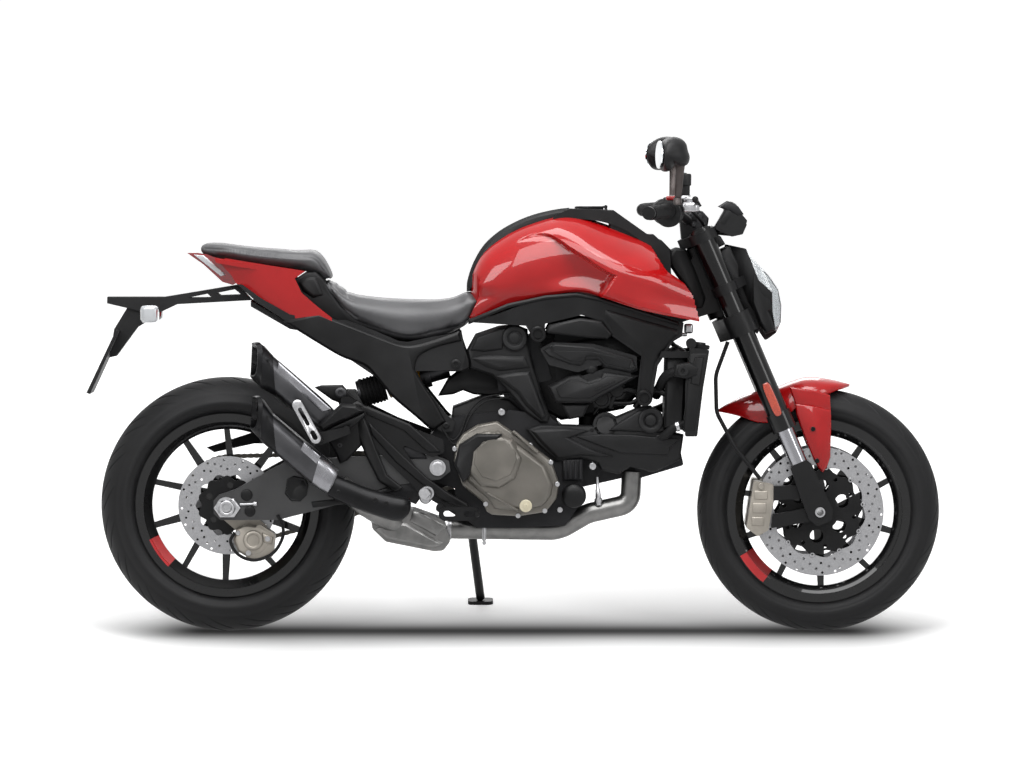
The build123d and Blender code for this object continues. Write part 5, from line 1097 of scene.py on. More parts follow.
# %% Airbox, throttle bodies and fan housing
airbox = [
    (690, 640), (736, 690), (752, 742), (800, 750), (905, 733), (1010, 698), (1034, 666), (1030, 600),
    (985, 556), (905, 540), (830, 528), (780, 556), (742, 598),
]
rear_duct = [
    (524, 588), (548, 630), (582, 656), (622, 668), (676, 660), (716, 610), (690, 592), (650, 588),
    (612, 592), (586, 602), (562, 592),
]
fan_housing = [(1084, 512), (1090, 694), (1122, 712), (1142, 700), (1132, 506)]
upper_panel = [
    (800, 716), (792, 706), (868, 700), (1008, 676), (1040, 690), (962, 742), (936, 734), (890, 730),
]
rear_block = [(556, 520), (560, 560), (640, 590), (700, 580), (760, 530), (700, 500), (600, 500)]
core = [
    (airbox, [(8, 70), (0, 60), (0, -60), (8, -70)]),
    (rear_duct, [(5, 58), (0, 52), (0, -52), (5, -58)]),
    (fan_housing, [(6, 138), (0, 130), (0, -130), (6, -138)]),
    (rear_block, [(4, 78), (0, 72), (0, -72), (4, -78)]),
    (upper_panel, [(0, -60), (0, -96), (5, -102)]),
]
panel_piece("airbox_and_housings", core, "chassis", "radiator_black", bevel=2.0)
throttle = [(0, 27), (18, 27), (20, 23), (30, 23), (31, 18), (36, 16), (36, 0.001)]
bodies = [turned([(-60, 24), *throttle], (x, -72, z), RIGHT, 28) for x, z in ((968, 604), (930, 582))]
bodies += [tube([(952, -92, 560), (962, -98, 588), (990, -100, 606), (1018, -96, 600)], 8)]
bodies += [tube([(912, -84, 545), (930, -94, 566), (958, -96, 572), (1000, -92, 572), (1030, -88, 584)], 5.5)]
bodies += [tube([(1015, -84, 560), (1034, -92, 588), (1062, -100, 604), (1090, -104, 596)], 9)]
joined("throttle_bodies", bodies, "chassis", "black_alloy")

# %% [markdown]
# Rubber hoses carry the coolant. Each is a tube along a smooth curve that leaves its stub straight,
# bends once or twice and enters the next stub straight. Both ends are clamped, so none is free.

# %% Coolant hoses and wiring
hoses = [
    # the hose's curve, its radius
    ([(1138, -158, 655), (1112, -160, 652), (1088, -140, 640), (1074, -104, 612), (1066, -70, 590)], 12),
    ([(1134, -130, 522), (1108, -132, 512), (1086, -122, 492), (1060, -100, 480)], 11),
    ([(1134, 128, 560), (1104, 130, 560), (1072, 110, 548), (1040, 80, 540)], 11),
    ([(1046, -118, 742), (1072, -128, 724), (1098, -126, 700), (1118, -110, 682)], 6),
    ([(1058, -110, 752), (1090, -120, 736), (1116, -116, 712), (1128, -96, 694)], 4),
    ([(1064, 114, 748), (1092, 122, 730), (1116, 116, 706), (1126, 96, 690)], 5),
]
joined("coolant_hoses", [tube(*hose) for hose in hoses], "chassis", "black_rubber", sharp_over=50)
clips = [turned([(-4, 12.2), (-4, 14), (4, 14), (4, 12.2)], (1120, -159.5, 653), (1, 0, 0.1), 28)]
clips += [turned([(-4, 11.2), (-4, 13), (4, 13), (4, 11.2)], (1118, -131, 516), (1, 0, 0.3), 28)]
clips += [rounded_box((1146, -96, 757), np.eye(3), (22, 26, 24), 5)]
clips += [rounded_box((1128, -92, 742), np.eye(3), (30, 12, 9), 3)]
joined("hose_clips_and_lock", clips, "chassis", "bare_alloy")

# %% [markdown]
# The radiator is a core of thin fins between two side tanks. The real fins stand 1.5 mm apart, too
# fine to see here, so they are drawn every 5 mm.

# %% Radiator tanks and fins
side_tank = [(1148, 699), (1192, 699), (1179, 608), (1161, 505), (1132, 503), (1139, 610)]
tank_step = [(1158, 690), (1184, 690), (1173, 616), (1147, 622)]
boss_wedge = [(1106, 642), (1112, 672), (1150, 676), (1170, 662), (1166, 642), (1140, 634)]
radiator_parts = [
    (side_tank, [(0, -148), (0, -171), (4, -174)]),
    (tank_step, [(0, -170), (3, -178)]),
    (boss_wedge, [(0, -148), (0, -176), (5, -181)]),
]
panel_piece("radiator_tanks", radiator_parts, "chassis", "radiator_black", bevel=1.5, mirror=True)
FINS = 39
slats = []
for share in np.linspace(0.03, 0.97, FINS):
    x, z = 1161 + 31 * share, 505 + 194 * share
    slat = [(x - 1, z), (x + 2.6, z), (x + 2.8, z + 1.6), (x - 0.8, z + 1.6)]
    slats.append(panel(slat, [(0, 146), (0, -146)]))
add_piece("radiator_fins", *gather(slats), "chassis", "shock_body", smooth=False)
cap = [(0, 0.001), (0, 15), (6, 15), (7, 24), (15, 24.5), (17, 22), (17, 14), (22, 13), (22, 0.001)]
stub = [(0, 0.001), (0, 14), (10, 14), (12, 12), (12, 6), (7, 5.5), (7, 0.001)]
cap_parts = [turned(cap, (1172, -128, 702), (0.12, 0, 1), 32), turned(stub, (1130, -178, 655), RIGHT, 28)]
joined("radiator_cap", cap_parts, "chassis", "black_plastic")

# %% [markdown]
# A motorcycle seat is a foam block under a stretched vinyl cover. The foam is lofted: every section
# across the machine is a flat-bottomed oval, wide where the thighs rest and narrow at the tank. Then
# Blender's cloth simulation blows the cover up a little, so that it bulges as stuffed vinyl does, and
# the sewn channels are pressed in last, because the remeshing before it would wipe them out.

# %% Seat helpers
SEAT_STEPS, SEAT_ROUND, CLOTH_STEPS = 90, 72, 20


def seat_block(upper, lower, plan):
    """Sections along the machine: y = half cos^0.45, z from the flat base to the crowned top."""
    x = np.linspace(upper[0][0], upper[-1][0], SEAT_STEPS)[:, None]
    high, low, half = along(upper, x), along(lower, x), along(plan, x)
    turn = np.linspace(0, 2 * np.pi, SEAT_ROUND, endpoint=False)[None, :]
    wide = np.sign(np.cos(turn)) * np.abs(np.cos(turn)) ** 0.5
    over = np.sign(np.sin(turn)) * np.abs(np.sin(turn)) ** np.where(np.sin(turn) < 0, 0.34, 0.62)
    middle, tall = (high + low) / 2, (high - low) / 2
    y = half * wide * np.where(over < 0, 1 - 0.16 * over**2, 1)
    z = middle + tall * over - 7 * np.abs(wide) ** 3 * (over > 0) * over
    points = np.stack([np.broadcast_to(x, y.shape), y, z], -1)
    return capped(points)


def puffed(piece, voxel_mm, cap_mm):
    """Remeshes a closed cover, blows it up with cloth pressure, and lets no point move more than cap_mm."""
    remesh = piece.modifiers.new("even mesh", "REMESH")
    remesh.mode, remesh.voxel_size = "VOXEL", voxel_mm / 1000
    apply_modifiers(piece)
    start = vertex_array(piece.data)
    cloth = piece.modifiers.new("stuffed cover", "CLOTH")
    cloth.settings.use_pressure, cloth.settings.uniform_pressure_force = True, 4.0
    cloth.settings.effector_weights.gravity = 0.0
    for step in range(1, CLOTH_STEPS + 1):
        bpy.context.scene.frame_set(step)
    move = vertex_array(evaluated_mesh(piece)) - start
    far = np.linalg.norm(move, axis=1, keepdims=True)
    move *= np.minimum(1, cap_mm / 1000 / np.maximum(far, 1e-9))
    piece.modifiers.clear()
    piece.data.vertices.foreach_set("co", (start + move).ravel())
    bpy.context.scene.frame_set(1)
    fine = piece.modifiers.new("smooth cover", "SUBSURF")
    fine.levels = fine.render_levels = 1
    apply_modifiers(piece)
    piece.data.shade_smooth()
    return piece


def upright(points):
    """The inverse of park: metres in the leaned machine to upright millimetres."""
    away = (points - GROUND) * 1000
    return np.stack([away @ FORWARD, away @ LEFT, away @ UP], -1)


def press_channels(piece, channels):
    """Presses channels into a cover: each point sinks along its normal by depth * exp(-(distance / width)^2).
    A channel is (line of (x, z), depth, width, narrowest |y|, widest |y|), all in millimetres."""
    mesh = piece.data
    points, normal = vertex_array(mesh), vertex_array(mesh, "normal")
    at = upright(points)
    sink = np.zeros(len(points))
    for line, depth, width, inner, outer in channels:
        curve = through(line, 60)
        away = np.sqrt(((at[:, None, [0, 2]] - curve[None]) ** 2).sum(-1).min(1))
        aside = np.abs(at[:, 1])
        share = smooth_step(aside, inner - 4, inner + 4) * (1 - smooth_step(aside, outer - 4, outer + 4))
        sink = np.maximum(sink, depth * np.exp(-((away / width) ** 2)) * share)
    mesh.vertices.foreach_set("co", (points - normal * sink[:, None] / 1000).ravel())
    mesh.update()


# %% [markdown]
# The rider's seat rises at its back into a low bolster, which is a separate panel of vinyl with two
# sewn channels across it, and ends in front in a nose over the tank's foot.

# %% Rider's seat
rider_top = [
    (243, 872), (252, 880), (272, 868), (288, 850), (316, 836), (363, 829), (412, 825), (460, 823),
    (527, 823), (569, 831), (596, 848), (612, 843), (623, 835),
]
rider_low = [
    (243, 866), (252, 850), (272, 824), (288, 806), (316, 780), (363, 753), (412, 732), (460, 724),
    (527, 738), (569, 756), (596, 772), (612, 800), (623, 829),
]
rider_plan = [
    (243, 84), (288, 98), (340, 112), (390, 120), (450, 119), (500, 110), (560, 92), (600, 82), (623, 74),
]
rider_block = seat_block(rider_top, rider_low, rider_plan)
rider_cover = puffed(add_piece("rider_seat_cover", *rider_block, "chassis", "seat_cover"), 5, 5)
press_channels(
    rider_cover,
    [
        ([(256, 874), (262, 842), (284, 812), (322, 784)], 3.5, 4.0, 60, 140),
        ([(276, 866), (281, 846), (290, 838)], 3.2, 4.5, 0, 78),
        ([(298, 848), (303, 838), (312, 826)], 3.2, 4.5, 0, 84),
        ([(322, 776), (390, 752), (450, 738), (520, 750), (590, 766)], 2.2, 3.5, 60, 140),
    ],
)
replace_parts(rider_cover, "rider_seat")
print("rider seat", len(rider_cover.data.polygons), "faces")

# %% [markdown]
# The passenger's seat is a smaller pad on the tail. One channel runs along each side and one goes
# across it in front, where it drops to the rider's seat.

# %% Passenger's seat
pass_top = [
    (-70, 955), (-60, 963), (-20, 965), (43, 957), (110, 951), (182, 947), (214, 947), (232, 936), (250, 906),
    (260, 884),
]
pass_low = [
    (-70, 947), (-60, 940), (-20, 934), (43, 924), (110, 915), (182, 905), (214, 896), (232, 888), (250, 878),
    (260, 874),
]
pass_plan = [(-70, 50), (-40, 62), (20, 80), (90, 94), (170, 103), (230, 98), (260, 90)]
pass_block = seat_block(pass_top, pass_low, pass_plan)
pass_cover = puffed(add_piece("passenger_seat_cover", *pass_block, "chassis", "seat_cover"), 4, 4)
press_channels(
    pass_cover,
    [
        ([(-56, 954), (0, 952), (90, 942), (160, 935), (214, 930), (240, 900)], 2.2, 3.5, 40, 140),
        ([(150, 958), (190, 940), (226, 915)], 2.6, 4.0, 0, 70),
    ],
)
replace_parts(pass_cover, "passenger_seat")
print("passenger seat", len(pass_cover.data.polygons), "faces")

# %% [markdown]
# Under the seats a black inner cover closes the tail. The rear lamp is a red wedge with a clear strip,
# and each indicator a clear lens over an amber bulb on a short arm.

# %% Tail covers, indicators and lamp strip
inner_tail = [
    (158, 872), (176, 884), (196, 897), (222, 899), (240, 880), (258, 846), (284, 812), (322, 784),
    (360, 762), (330, 742), (280, 760), (220, 800), (178, 836),
]
fold = [(176, 872), (200, 886), (222, 886), (232, 862), (240, 840), (214, 832), (188, 850)]
tail_covers = [(inner_tail, [(0, -20), (0, -84), (5, -89)]), (fold, [(0, -84), (0, -90), (8, -95)])]
panel_piece("tail_inner_covers", tail_covers, "chassis", "black_plastic", bevel=1.5, mirror=True)
tail_screws = [((213, side * 110, 802), 5, (0, side, 0), 2) for side in (-1, 1)]
bolt_set("tail_screws", tail_screws, "chassis", "black_alloy")

FINISHES["clear_indicator"] = finish("grey_clear_polycarbonate", "#b9bcc0", "#d2d5d8", 0.08, Coat_Weight=1.0)
blinkers = [rounded_box((-190, side * 116, 794), np.eye(3), (46, 78, 42), 9) for side in (-1, 1)]
joined("rear_indicator_lenses", blinkers, "chassis", "lamp_glass", FINISHES["clear_indicator"], sharp_over=60)
strip = [([(-84, 940), (-58, 938), (-4, 890), (-16, 886)], [(0, -50), (0, -57), (2, -58.5)])]
panel_piece(
    "rear_lamp_strip", strip, "chassis", "lamp_glass", FINISHES["clear_indicator"], bevel=0.8, mirror=True,
)

# %% [markdown]
# The two silencers are flattened tubes of dark steel. Their sections change along the machine, so
# each is a loft: a list of upper and lower edge points in the side view, with a rounded section of
# formula |a|^n + |b|^n = 1 stretched between them. The lower can ends in front in a polished band, and
# along each can's upper edge a strip of lighter steel is a painted highlight.

# %% Silencers
CAN_ROUND, CAN_POWER, LOWER_CAN_Y, UPPER_CAN_Y = 48, 0.72, -197, -177


def flat_tube(stations, middle_y):
    """Sections between upper and lower side-view points: a = cos^power across, b = sin^power up."""
    rows = np.array([[*upper, *lower, half] for upper, lower, half in stations], float)
    turn = np.linspace(0, 2 * np.pi, CAN_ROUND, endpoint=False)
    across = np.sign(np.cos(turn)) * np.abs(np.cos(turn)) ** CAN_POWER
    up = np.sign(np.sin(turn)) * np.abs(np.sin(turn)) ** CAN_POWER
    middle, reach = (rows[:, 0:2] + rows[:, 2:4]) / 2, (rows[:, 0:2] - rows[:, 2:4]) / 2
    side = middle[:, None] + reach[:, None] * up[None, :, None]
    y = middle_y + rows[:, 4, None] * across[None]
    points = np.stack([side[..., 0], y, side[..., 1]], -1)
    return capped(points)


lower_can = [
    ((118, 551), (127, 449), 47), ((150, 524), (148, 430), 47), ((190, 490), (180, 403), 44),
    ((236, 452), (214, 375), 41),
]
lower_band = [
    ((236, 452), (214, 375), 42), ((258, 434), (231, 362), 42), ((279, 414), (252, 352), 38),
    ((282, 411), (256, 352), 34),
]
upper_can = [
    ((118, 691), (125, 592), 45), ((150, 664), (146, 573), 45), ((200, 621), (184, 542), 42),
    ((240, 586), (222, 516), 39), ((258, 569), (240, 508), 34), ((276, 550), (262, 512), 26),
]
cans = [flat_tube(lower_can, LOWER_CAN_Y), flat_tube(upper_can, UPPER_CAN_Y)]
silencer_bodies = joined("silencer_bodies", cans, "chassis", "silencer_metal", sharp_over=32)
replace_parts(silencer_bodies, "silencers")
# A lighter steel, used for the lower can's polished band and for the painted highlights on the upper edges.
FINISHES["polished_steel"] = finish("polished_steel_band", "#77777a", "#8c8c90", 0.26, metal=0.9, mottle=40)
bright = [flat_tube(lower_band, LOWER_CAN_Y)]
# These two strips are painted highlights: lighter steel along the upper edge of each can.
upper_painted_highlight = [(133, 677), (129, 656), (240, 556), (262, 562)]
lower_painted_highlight = [(196, 482), (188, 462), (226, 428), (236, 445)]
bright += [panel(upper_painted_highlight, [(0, -205), (0, -219), (4, -221)])]
bright += [panel(lower_painted_highlight, [(0, -226), (0, -240.5), (3, -242)])]
joined(
    "silencer_band_and_painted_highlights", bright, "chassis", "silencer_metal", FINISHES["polished_steel"], sharp_over=32,
)

# %% [markdown]
# The black end caps are cut off upright behind. Each holds a sunk perforated plate and the mouth of
# the outlet pipe, and its mouth is cut at a slant: the further to the right, the further forwards.

# %% Silencer caps
END_IN = np.array([14.0, -10.0])


def end_cap(stations, middle_y):
    """A cap's shell, its rim turned in, a sunk plate, and the mouth of the outlet pipe."""
    rear_up, rear_low = (np.array(point, float) for point in stations[0][:2])
    half = stations[0][2]
    middle = (rear_up + rear_low) / 2
    rings = []
    for share, push in ((0.30, 22), (0.86, 20), (0.88, 2), (0.95, 0)):
        shift = END_IN / np.linalg.norm(END_IN) * push
        upper, lower = (middle + (point - middle) * share + shift for point in (rear_up, rear_low))
        rings.append((upper, lower, half * share))
    points, faces = flat_tube(rings + stations, middle_y)
    slant = np.where(np.arange(len(points)) < 6, 18.0, 0.0)[:, None]
    points[..., 0] += slant * np.clip((middle_y - points[..., 1]) / 48, -0.2, 1)
    return points, faces


lower_cap = [
    ((70, 592), (64, 512), 42), ((80, 594), (72, 504), 45), ((96, 583), (88, 482), 47),
    ((118.5, 551), (127.5, 448), 48),
]
upper_cap = [
    ((68, 724), (64, 640), 40), ((80, 726), (72, 630), 43), ((96, 716), (88, 612), 45),
    ((118.5, 691.5), (125.5, 591), 46),
]
caps = [end_cap(lower_cap, LOWER_CAN_Y), end_cap(upper_cap, UPPER_CAN_Y)]
outlet = [(0, 13), (0, 17), (-14, 17.5), (-14, 14), (-2, 13)]
holes = []
for z, y in ((552, LOWER_CAN_Y), (684, UPPER_CAN_Y)):
    caps.append(turned(outlet, (84, y, z - 4), (1, 0, -0.6), 28))
    for row, column in np.ndindex(5, 5):
        up, aside = row - 2, column - 2
        if abs(up) + abs(aside) > 1:
            hole_at = (80 - 0.26 * up, y + 13 * aside, z + 12 * up)
            holes.append(turned([(0, 2.6), (2, 2.6), (2, 0.001)], hole_at, (-1, 0, 0.4), 6))
slits = [panel([(106, 686), (110, 684), (112, 656), (108, 656)], [(0, -215), (0, -223.4)])]
slits += [panel([(104, 548), (109, 546), (111, 514), (106, 514)], [(0, -238), (0, -245.2)])]
cap_piece = joined("silencer_end_caps", caps, "chassis", "cap_alloy", sharp_over=32)
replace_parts(cap_piece, "silencer_caps")
add_piece("silencer_cap_holes", *gather(holes + slits), "chassis", "radiator_black", smooth=False)

# %% [markdown]
# The heat shield is a rolled sheet over the pipe between the catalyst box and the lower silencer. It
# is a half tube, so its section turns from the upper to the lower edge with a round outside.

# %% Heat shield
shield_top = [(279, 397), (318, 381), (355, 366), (414, 349), (448, 342), (458, 333), (459, 318)]
shield_low = [(252, 347), (300, 324), (355, 303), (395, 290), (418, 285), (436, 287), (452, 300)]
shield_out = [-231, -232, -233, -233, -232, -229, -224]
upper, lower = through(shield_top, 40), through(shield_low, 40)
turn = np.radians(np.linspace(8, 172, 25))
share = (1 - np.cos(turn)) / 2
reach = np.interp(np.linspace(0, len(shield_out) - 1, 40), np.arange(len(shield_out)), shield_out)
side = upper[:, None] * (1 - share)[None, :, None] + lower[:, None] * share[None, :, None]
SHIELD_Y, SHEET_THICK = -196, 2.5
depth = SHIELD_Y + (reach[:, None] - SHIELD_Y) * np.sin(turn)[None, :] ** 0.55
outside = np.stack([side[..., 0], depth, side[..., 1]], -1)
inside = outside + SHEET_THICK * SIDE
loop = np.concatenate([outside, inside[:, ::-1]], 1)
shield = joined("heat_shield", [capped(loop)], "chassis", "cap_alloy", sharp_over=50)
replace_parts(shield, "exhaust_shield")
screws = [((280, -229, 358), 5, RIGHT, 3), ((370, -232, 337), 8, RIGHT, 3), ((398, -232, 330), 6, RIGHT, 2)]
bolt_set("heat_shield_screws", screws, "chassis", "black_alloy")
cat_front = [(452, 280), (519, 243), (538, 258), (548, 268), (490, 301), (462, 309)]
cat_side = [(366, 262), (396, 234), (510, 212), (530, 216), (540, 228), (516, 240), (448, 277), (400, 282)]
cat_faces = [(cat_front, [(0, -130), (0, -139), (5, -143)]), (cat_side, [(0, -130), (0, -139), (9, -145)])]
panel_piece("catalyst_box_faces", cat_faces, "chassis", "pipe_steel", bevel=2.0)

# %% [markdown]
# The chain is built link by link. Its line is two arcs round the sprockets and two straight runs; pins
# stand every 15.9 mm along it, and each link is a pair of waisted plates with a roller at each pin.

# %% Drive chain
PITCH, REAR_TEETH, FRONT_TEETH, CHAIN_Y = 15.875, 45, 15, 103.5
OUTPUT_AT = (610.0, 408.0)
big, small = PITCH / (2 * np.sin(np.pi / REAR_TEETH)), PITCH / (2 * np.sin(np.pi / FRONT_TEETH))
run = np.array([OUTPUT_AT[0], OUTPUT_AT[1] - REAR_AXLE_HIGH])
slope, spread = np.arctan2(run[1], run[0]), np.arcsin((big - small) / np.hypot(*run))
top_turn, low_turn = np.pi / 2 + slope - spread, -np.pi / 2 + slope + spread
front_arc = np.linspace(top_turn, low_turn, 40)
rear_arc = np.linspace(low_turn, top_turn - 2 * np.pi, 90)
chain_line = np.vstack(
    [
        np.column_stack([OUTPUT_AT[0] + small * np.cos(front_arc), OUTPUT_AT[1] + small * np.sin(front_arc)]),
        np.column_stack([big * np.cos(rear_arc), REAR_AXLE_HIGH + big * np.sin(rear_arc)]),
    ]
)
closed = np.vstack([chain_line, chain_line[:1]])
length = np.concatenate([[0], np.cumsum(np.linalg.norm(np.diff(closed, axis=0), axis=1))])
links = 2 * round(length[-1] / PITCH / 2)
place = np.linspace(0, length[-1], links + 1)
pins = np.column_stack([np.interp(place, length, closed[:, k]) for k in (0, 1)])
plate_half = [(-13.4, 2.4), (-11.6, 4.8), (-7.9, 5.8), (0, 4.4), (7.9, 5.8), (11.6, 4.8), (13.4, 2.4)]
plate = plate_half + [(a, -b) for a, b in plate_half[::-1]]
roller = [(0, 3.6), (15.4, 3.6), (15.4, 0.001), (0, 0.001)]
chain_parts = []
for index in range(links):
    start, stop = pins[index], pins[index + 1]
    middle, way = (start + stop) / 2, (stop - start) / np.linalg.norm(stop - start)
    lift = np.array([-way[1], way[0]])
    outline = [middle + a * way + b * lift for a, b in plate]
    near, far = (5.4, 7.4) if index % 2 else (3.2, 5.2)
    for side in (-1, 1):
        chain_parts.append(panel(outline, [(0, CHAIN_Y + side * near), (0, CHAIN_Y + side * far)]))
    chain_parts.append(turned(roller, (start[0], CHAIN_Y + 7.7, start[1]), RIGHT, 8))
chain = add_piece("drive_chain_links", *gather(chain_parts), "chassis", "chain_steel", smooth=False)
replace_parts(chain, "drive_chain")
print("chain links", links, "faces", len(chain.data.polygons))

# %% [markdown]
# The shock's spring is a real coil: the path is a helix about the shock's axis, closer at both ends,
# and a round wire is carried along it. A black collar and dust sleeve cover its rear third.

# %% Shock spring
SHOCK_REAR, SHOCK_FRONT = np.array([299.0, 0, 583]), np.array([562.0, 0, 660])
shock_axis = (SHOCK_FRONT - SHOCK_REAR) / np.linalg.norm(SHOCK_FRONT - SHOCK_REAR)
shock_up = np.cross(shock_axis, (0, 1, 0))
COILS, COIL_RADIUS, WIRE_RADIUS = 6.5, 27.5, 5.0
rows = np.linspace(0, 1, 320)[:, None]
turns = 2 * np.pi * COILS * (rows - 0.012 * np.sin(2 * np.pi * COILS * rows))
reach = SHOCK_REAR + (SHOCK_FRONT - SHOCK_REAR) * (0.16 + 0.58 * rows)
coil = reach + COIL_RADIUS * (np.cos(turns) * shock_up + np.sin(turns) * SIDE)
wire_along = np.gradient(coil, axis=0)
wire_along /= np.linalg.norm(wire_along, axis=1, keepdims=True)
wire_out = (coil - reach) / COIL_RADIUS
wire_side = np.cross(wire_along, wire_out)
turn = np.linspace(0, 2 * np.pi, 12, endpoint=False)[None, :, None]
wire = coil[:, None] + WIRE_RADIUS * (np.cos(turn) * wire_out[:, None] + np.sin(turn) * wire_side[:, None])
spring = add_piece("shock_coil", *capped(wire), "chassis", "gold_spring")
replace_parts(spring, "shock_spring")
sleeve = [(0, 24.6), (0, 34), (3, 36)]
for step in range(6):
    sleeve += [(5 + 9 * step, 36), (9 + 9 * step, 36), (10 + 9 * step, 33.5), (13 + 9 * step, 33.5)]
sleeve += [(59, 36), (61, 35), (61, 24.6)]
collar = turned(sleeve, SHOCK_REAR + 34 * shock_axis, shock_axis, 40)
joined("shock_dust_sleeve", [collar], "chassis", "black_rubber", sharp_over=35)

# %% [markdown]
# At the end of the swingarm a silver hexagonal plate carries the axle, and a long screw moves it to
# tighten the chain. The arm itself is cast, with round pads and a raised frame round its opening.

# %% Swingarm end
arm_finish = finish("cast_alloy_swingarm", "#1f1f20", "#29292a", 0.46, grain=1.2, relief=0.25)
frame["nodes"]["swingarm"].data.materials[0] = arm_finish
axle_plate = [(-31, 314), (-15, 337), (20, 337), (36, 314), (20, 291), (-15, 291)]
axle_nut = [(0, 12), (0, 19), (5, 19), (7, 17), (7, 12.5), (1, 12)]
adjuster = [(0, 0.001), (0, 3.2), (34, 3.2), (34, 6.2), (42, 6.2), (42, 0.001)]
hub_parts = [panel(axle_plate, [(0, -146.5), (0, -153), (3, -155)])]
hub_parts += [panel(axle_plate, [(0, 155), (0, 153), (3, 146.5)])]
hub_parts += [turned(axle_nut, (2, side * 155, 314), (0, side, 0), 32) for side in (-1, 1)]
hub_parts += [turned(adjuster, (34, side * 149.5, 323), (1, 0, 0.04), 12) for side in (-1, 1)]
joined("axle_plates", hub_parts, "chassis", "bare_alloy", sharp_over=35, bevel_mm=0.6)
arm_parts = []
for side in (-1, 1):
    for x, z, radius in ((51, 346, 15), (59, 306, 14)):
        pad = [(0, 0.001), (0, radius), (4, radius - 1), (5, radius - 3), (5, 0.001)]
        arm_parts.append(turned(pad, (x, side * 146, z), (0, side, 0), 32))
arm_frame = [(146, 348), (150, 386), (168, 394), (196, 388), (204, 372), (200, 346), (184, 330), (160, 332)]
inner_frame = shrink(arm_frame, 7)
ring = np.stack([arm_frame, arm_frame, shrink(arm_frame, 2), shrink(arm_frame, 5), inner_frame, inner_frame])
ring_y = np.array([-146, -149, -151.5, -151.5, -149, -146])
rings = np.stack([ring[..., 0], np.broadcast_to(ring_y[:, None], ring.shape[:2]), ring[..., 1]], -1)
ring_faces = list(map(tuple, grid_faces(6, 8, closed_rows=True, closed_columns=True)))
arm_parts += [(rings, ring_faces), (rings * (1, -1, 1), ring_faces)]
arm_rib = [(210, 330), (330, 344), (420, 372), (424, 360), (336, 328), (214, 314)]
arm_parts += [panel(arm_rib, [(0, -146), (3, -151)]), panel(arm_rib, [(3, 151), (0, 146)])]
joined("swingarm_castings", arm_parts, "chassis", "black_alloy", sharp_over=35, bevel_mm=0.8)

# %% [markdown]
# The rear brake's caliper hangs below the swingarm. It is a cast body with one round piston housing,
# and its hose loops up to the arm.

# %% Rear caliper
caliper_body = [
    (24, 262), (52, 272), (96, 262), (112, 240), (104, 214), (84, 196), (52, 190), (28, 204), (16, 232),
]
caliper_parts = [
    (round_outline((66, 232), 25, 32), [(0, -100), (0, -119), (4, -122), (9, -122), (11, -119), (14, -119)]),
    (caliper_body, [(0, -100), (0, -112), (5, -117)]),
    ([(88, 252), (116, 240), (112, 222), (92, 226)], [(0, -112), (0, -119), (3, -121)]),
]
panel_piece("rear_caliper_body", caliper_parts, "chassis", "caliper_grey", bevel=1.5)
caliper_bolts = [((54, -117, 200), 7, RIGHT), ((102, -120, 236), 7, RIGHT), ((28, -116, 250), 6, RIGHT)]
bolt_set("rear_caliper_bolts", caliper_bolts, "chassis")
brake_path = [
    (128, -152, 296), (140, -140, 268), (138, -130, 236), (114, -124, 200), (70, -121, 183), (30, -120, 196),
    (10, -119, 228), (20, -118, 252),
]
joined("rear_brake_line", [tube(brake_path, 4)], "chassis", "black_rubber", sharp_over=60)

# %% [markdown]
# The peg hangers are cast arms with a raised rib along each edge.

# %% Peg hangers
rib_upper = [(232, 508), (240, 522), (300, 566), (326, 580), (348, 566), (318, 548), (290, 548), (248, 506)]
rib_ahead = [
    (326, 578), (348, 566), (456, 522), (516, 470), (532, 452), (500, 452), (440, 506), (352, 544),
    (316, 552),
]
rib_down = [
    (318, 546), (344, 540), (372, 462), (400, 396), (440, 364), (418, 354), (378, 380), (346, 444),
    (322, 506),
]
rib_foot = [
    (352, 530), (366, 516), (440, 444), (498, 390), (552, 352), (600, 324), (598, 312), (540, 330),
    (476, 380), (420, 428), (360, 496),
]
rib_steps = [(0, -156), (0, -160), (4, -163)]
hanger = [(rib_upper, rib_steps), (rib_ahead, rib_steps)]
hanger += [(rib_down, [(0, -156), (0, -160), (5, -164)]), (rib_foot, rib_steps)]
panel_piece("peg_hanger_ribs", hanger, "chassis", "black_alloy", bevel=1.5)
hanger_front = [
    (230, 522), (260, 551), (287, 575), (325, 572), (345, 557), (314, 541), (268, 521), (240, 505),
]
hanger_low = [
    (238, 486), (253, 481), (287, 502), (325, 526), (348, 545), (345, 556), (312, 541), (268, 521),
    (240, 505),
]
peg_gusset = [(218, 612), (236, 617), (288, 618), (304, 600), (326, 580), (300, 566), (262, 580)]
hanger_web = [(245, 490), (290, 540), (330, 540), (336, 470), (300, 432), (282, 424), (270, 452)]
hanger_parts = [
    (hanger_front, [(0, -160), (0, -226), (7, -240)]),
    (peg_gusset, [(0, -110), (0, -118), (3, -121)]),
    (hanger_low, [(0, -160), (0, -224), (4, -230)]),
    (hanger_web, [(0, -150), (0, -158), (5, -164)]),
]
panel_piece("peg_hanger_front", hanger_parts, "chassis", "black_alloy", bevel=1.5)
hanger_bolts = [((283, -120, 598), 14, RIGHT, 8), ((282, -162, 470), 6, RIGHT)]
bolt_set("hanger_bolts", hanger_bolts, "chassis", "shock_body")

# %% [markdown]
# The rider's pegs are silver and have seven rings each, and the brake pedal ends in a plate with two
# slots. The gear lever on the left is a bent rod with a sleeve at its end.

# %% Rider's pegs and foot levers
peg_ring = [(0, 9.5), (1, 11.5), (5, 11.5), (6, 9.5)]
peg_foot = [(0, 0.001), (0, 14), (10, 15), (14, 12), (14, 0.001)]
pegs = []
for side in (-1, 1):
    pegs += [turned(peg_ring, (496, side * (216 + 9 * step), 353), (0, side, 0), 20) for step in range(7)]
    pegs.append(turned(peg_foot, (494, side * 162, 340), (0, side, 0), 24))
joined("rider_peg_rings", pegs, "chassis", "bare_alloy")


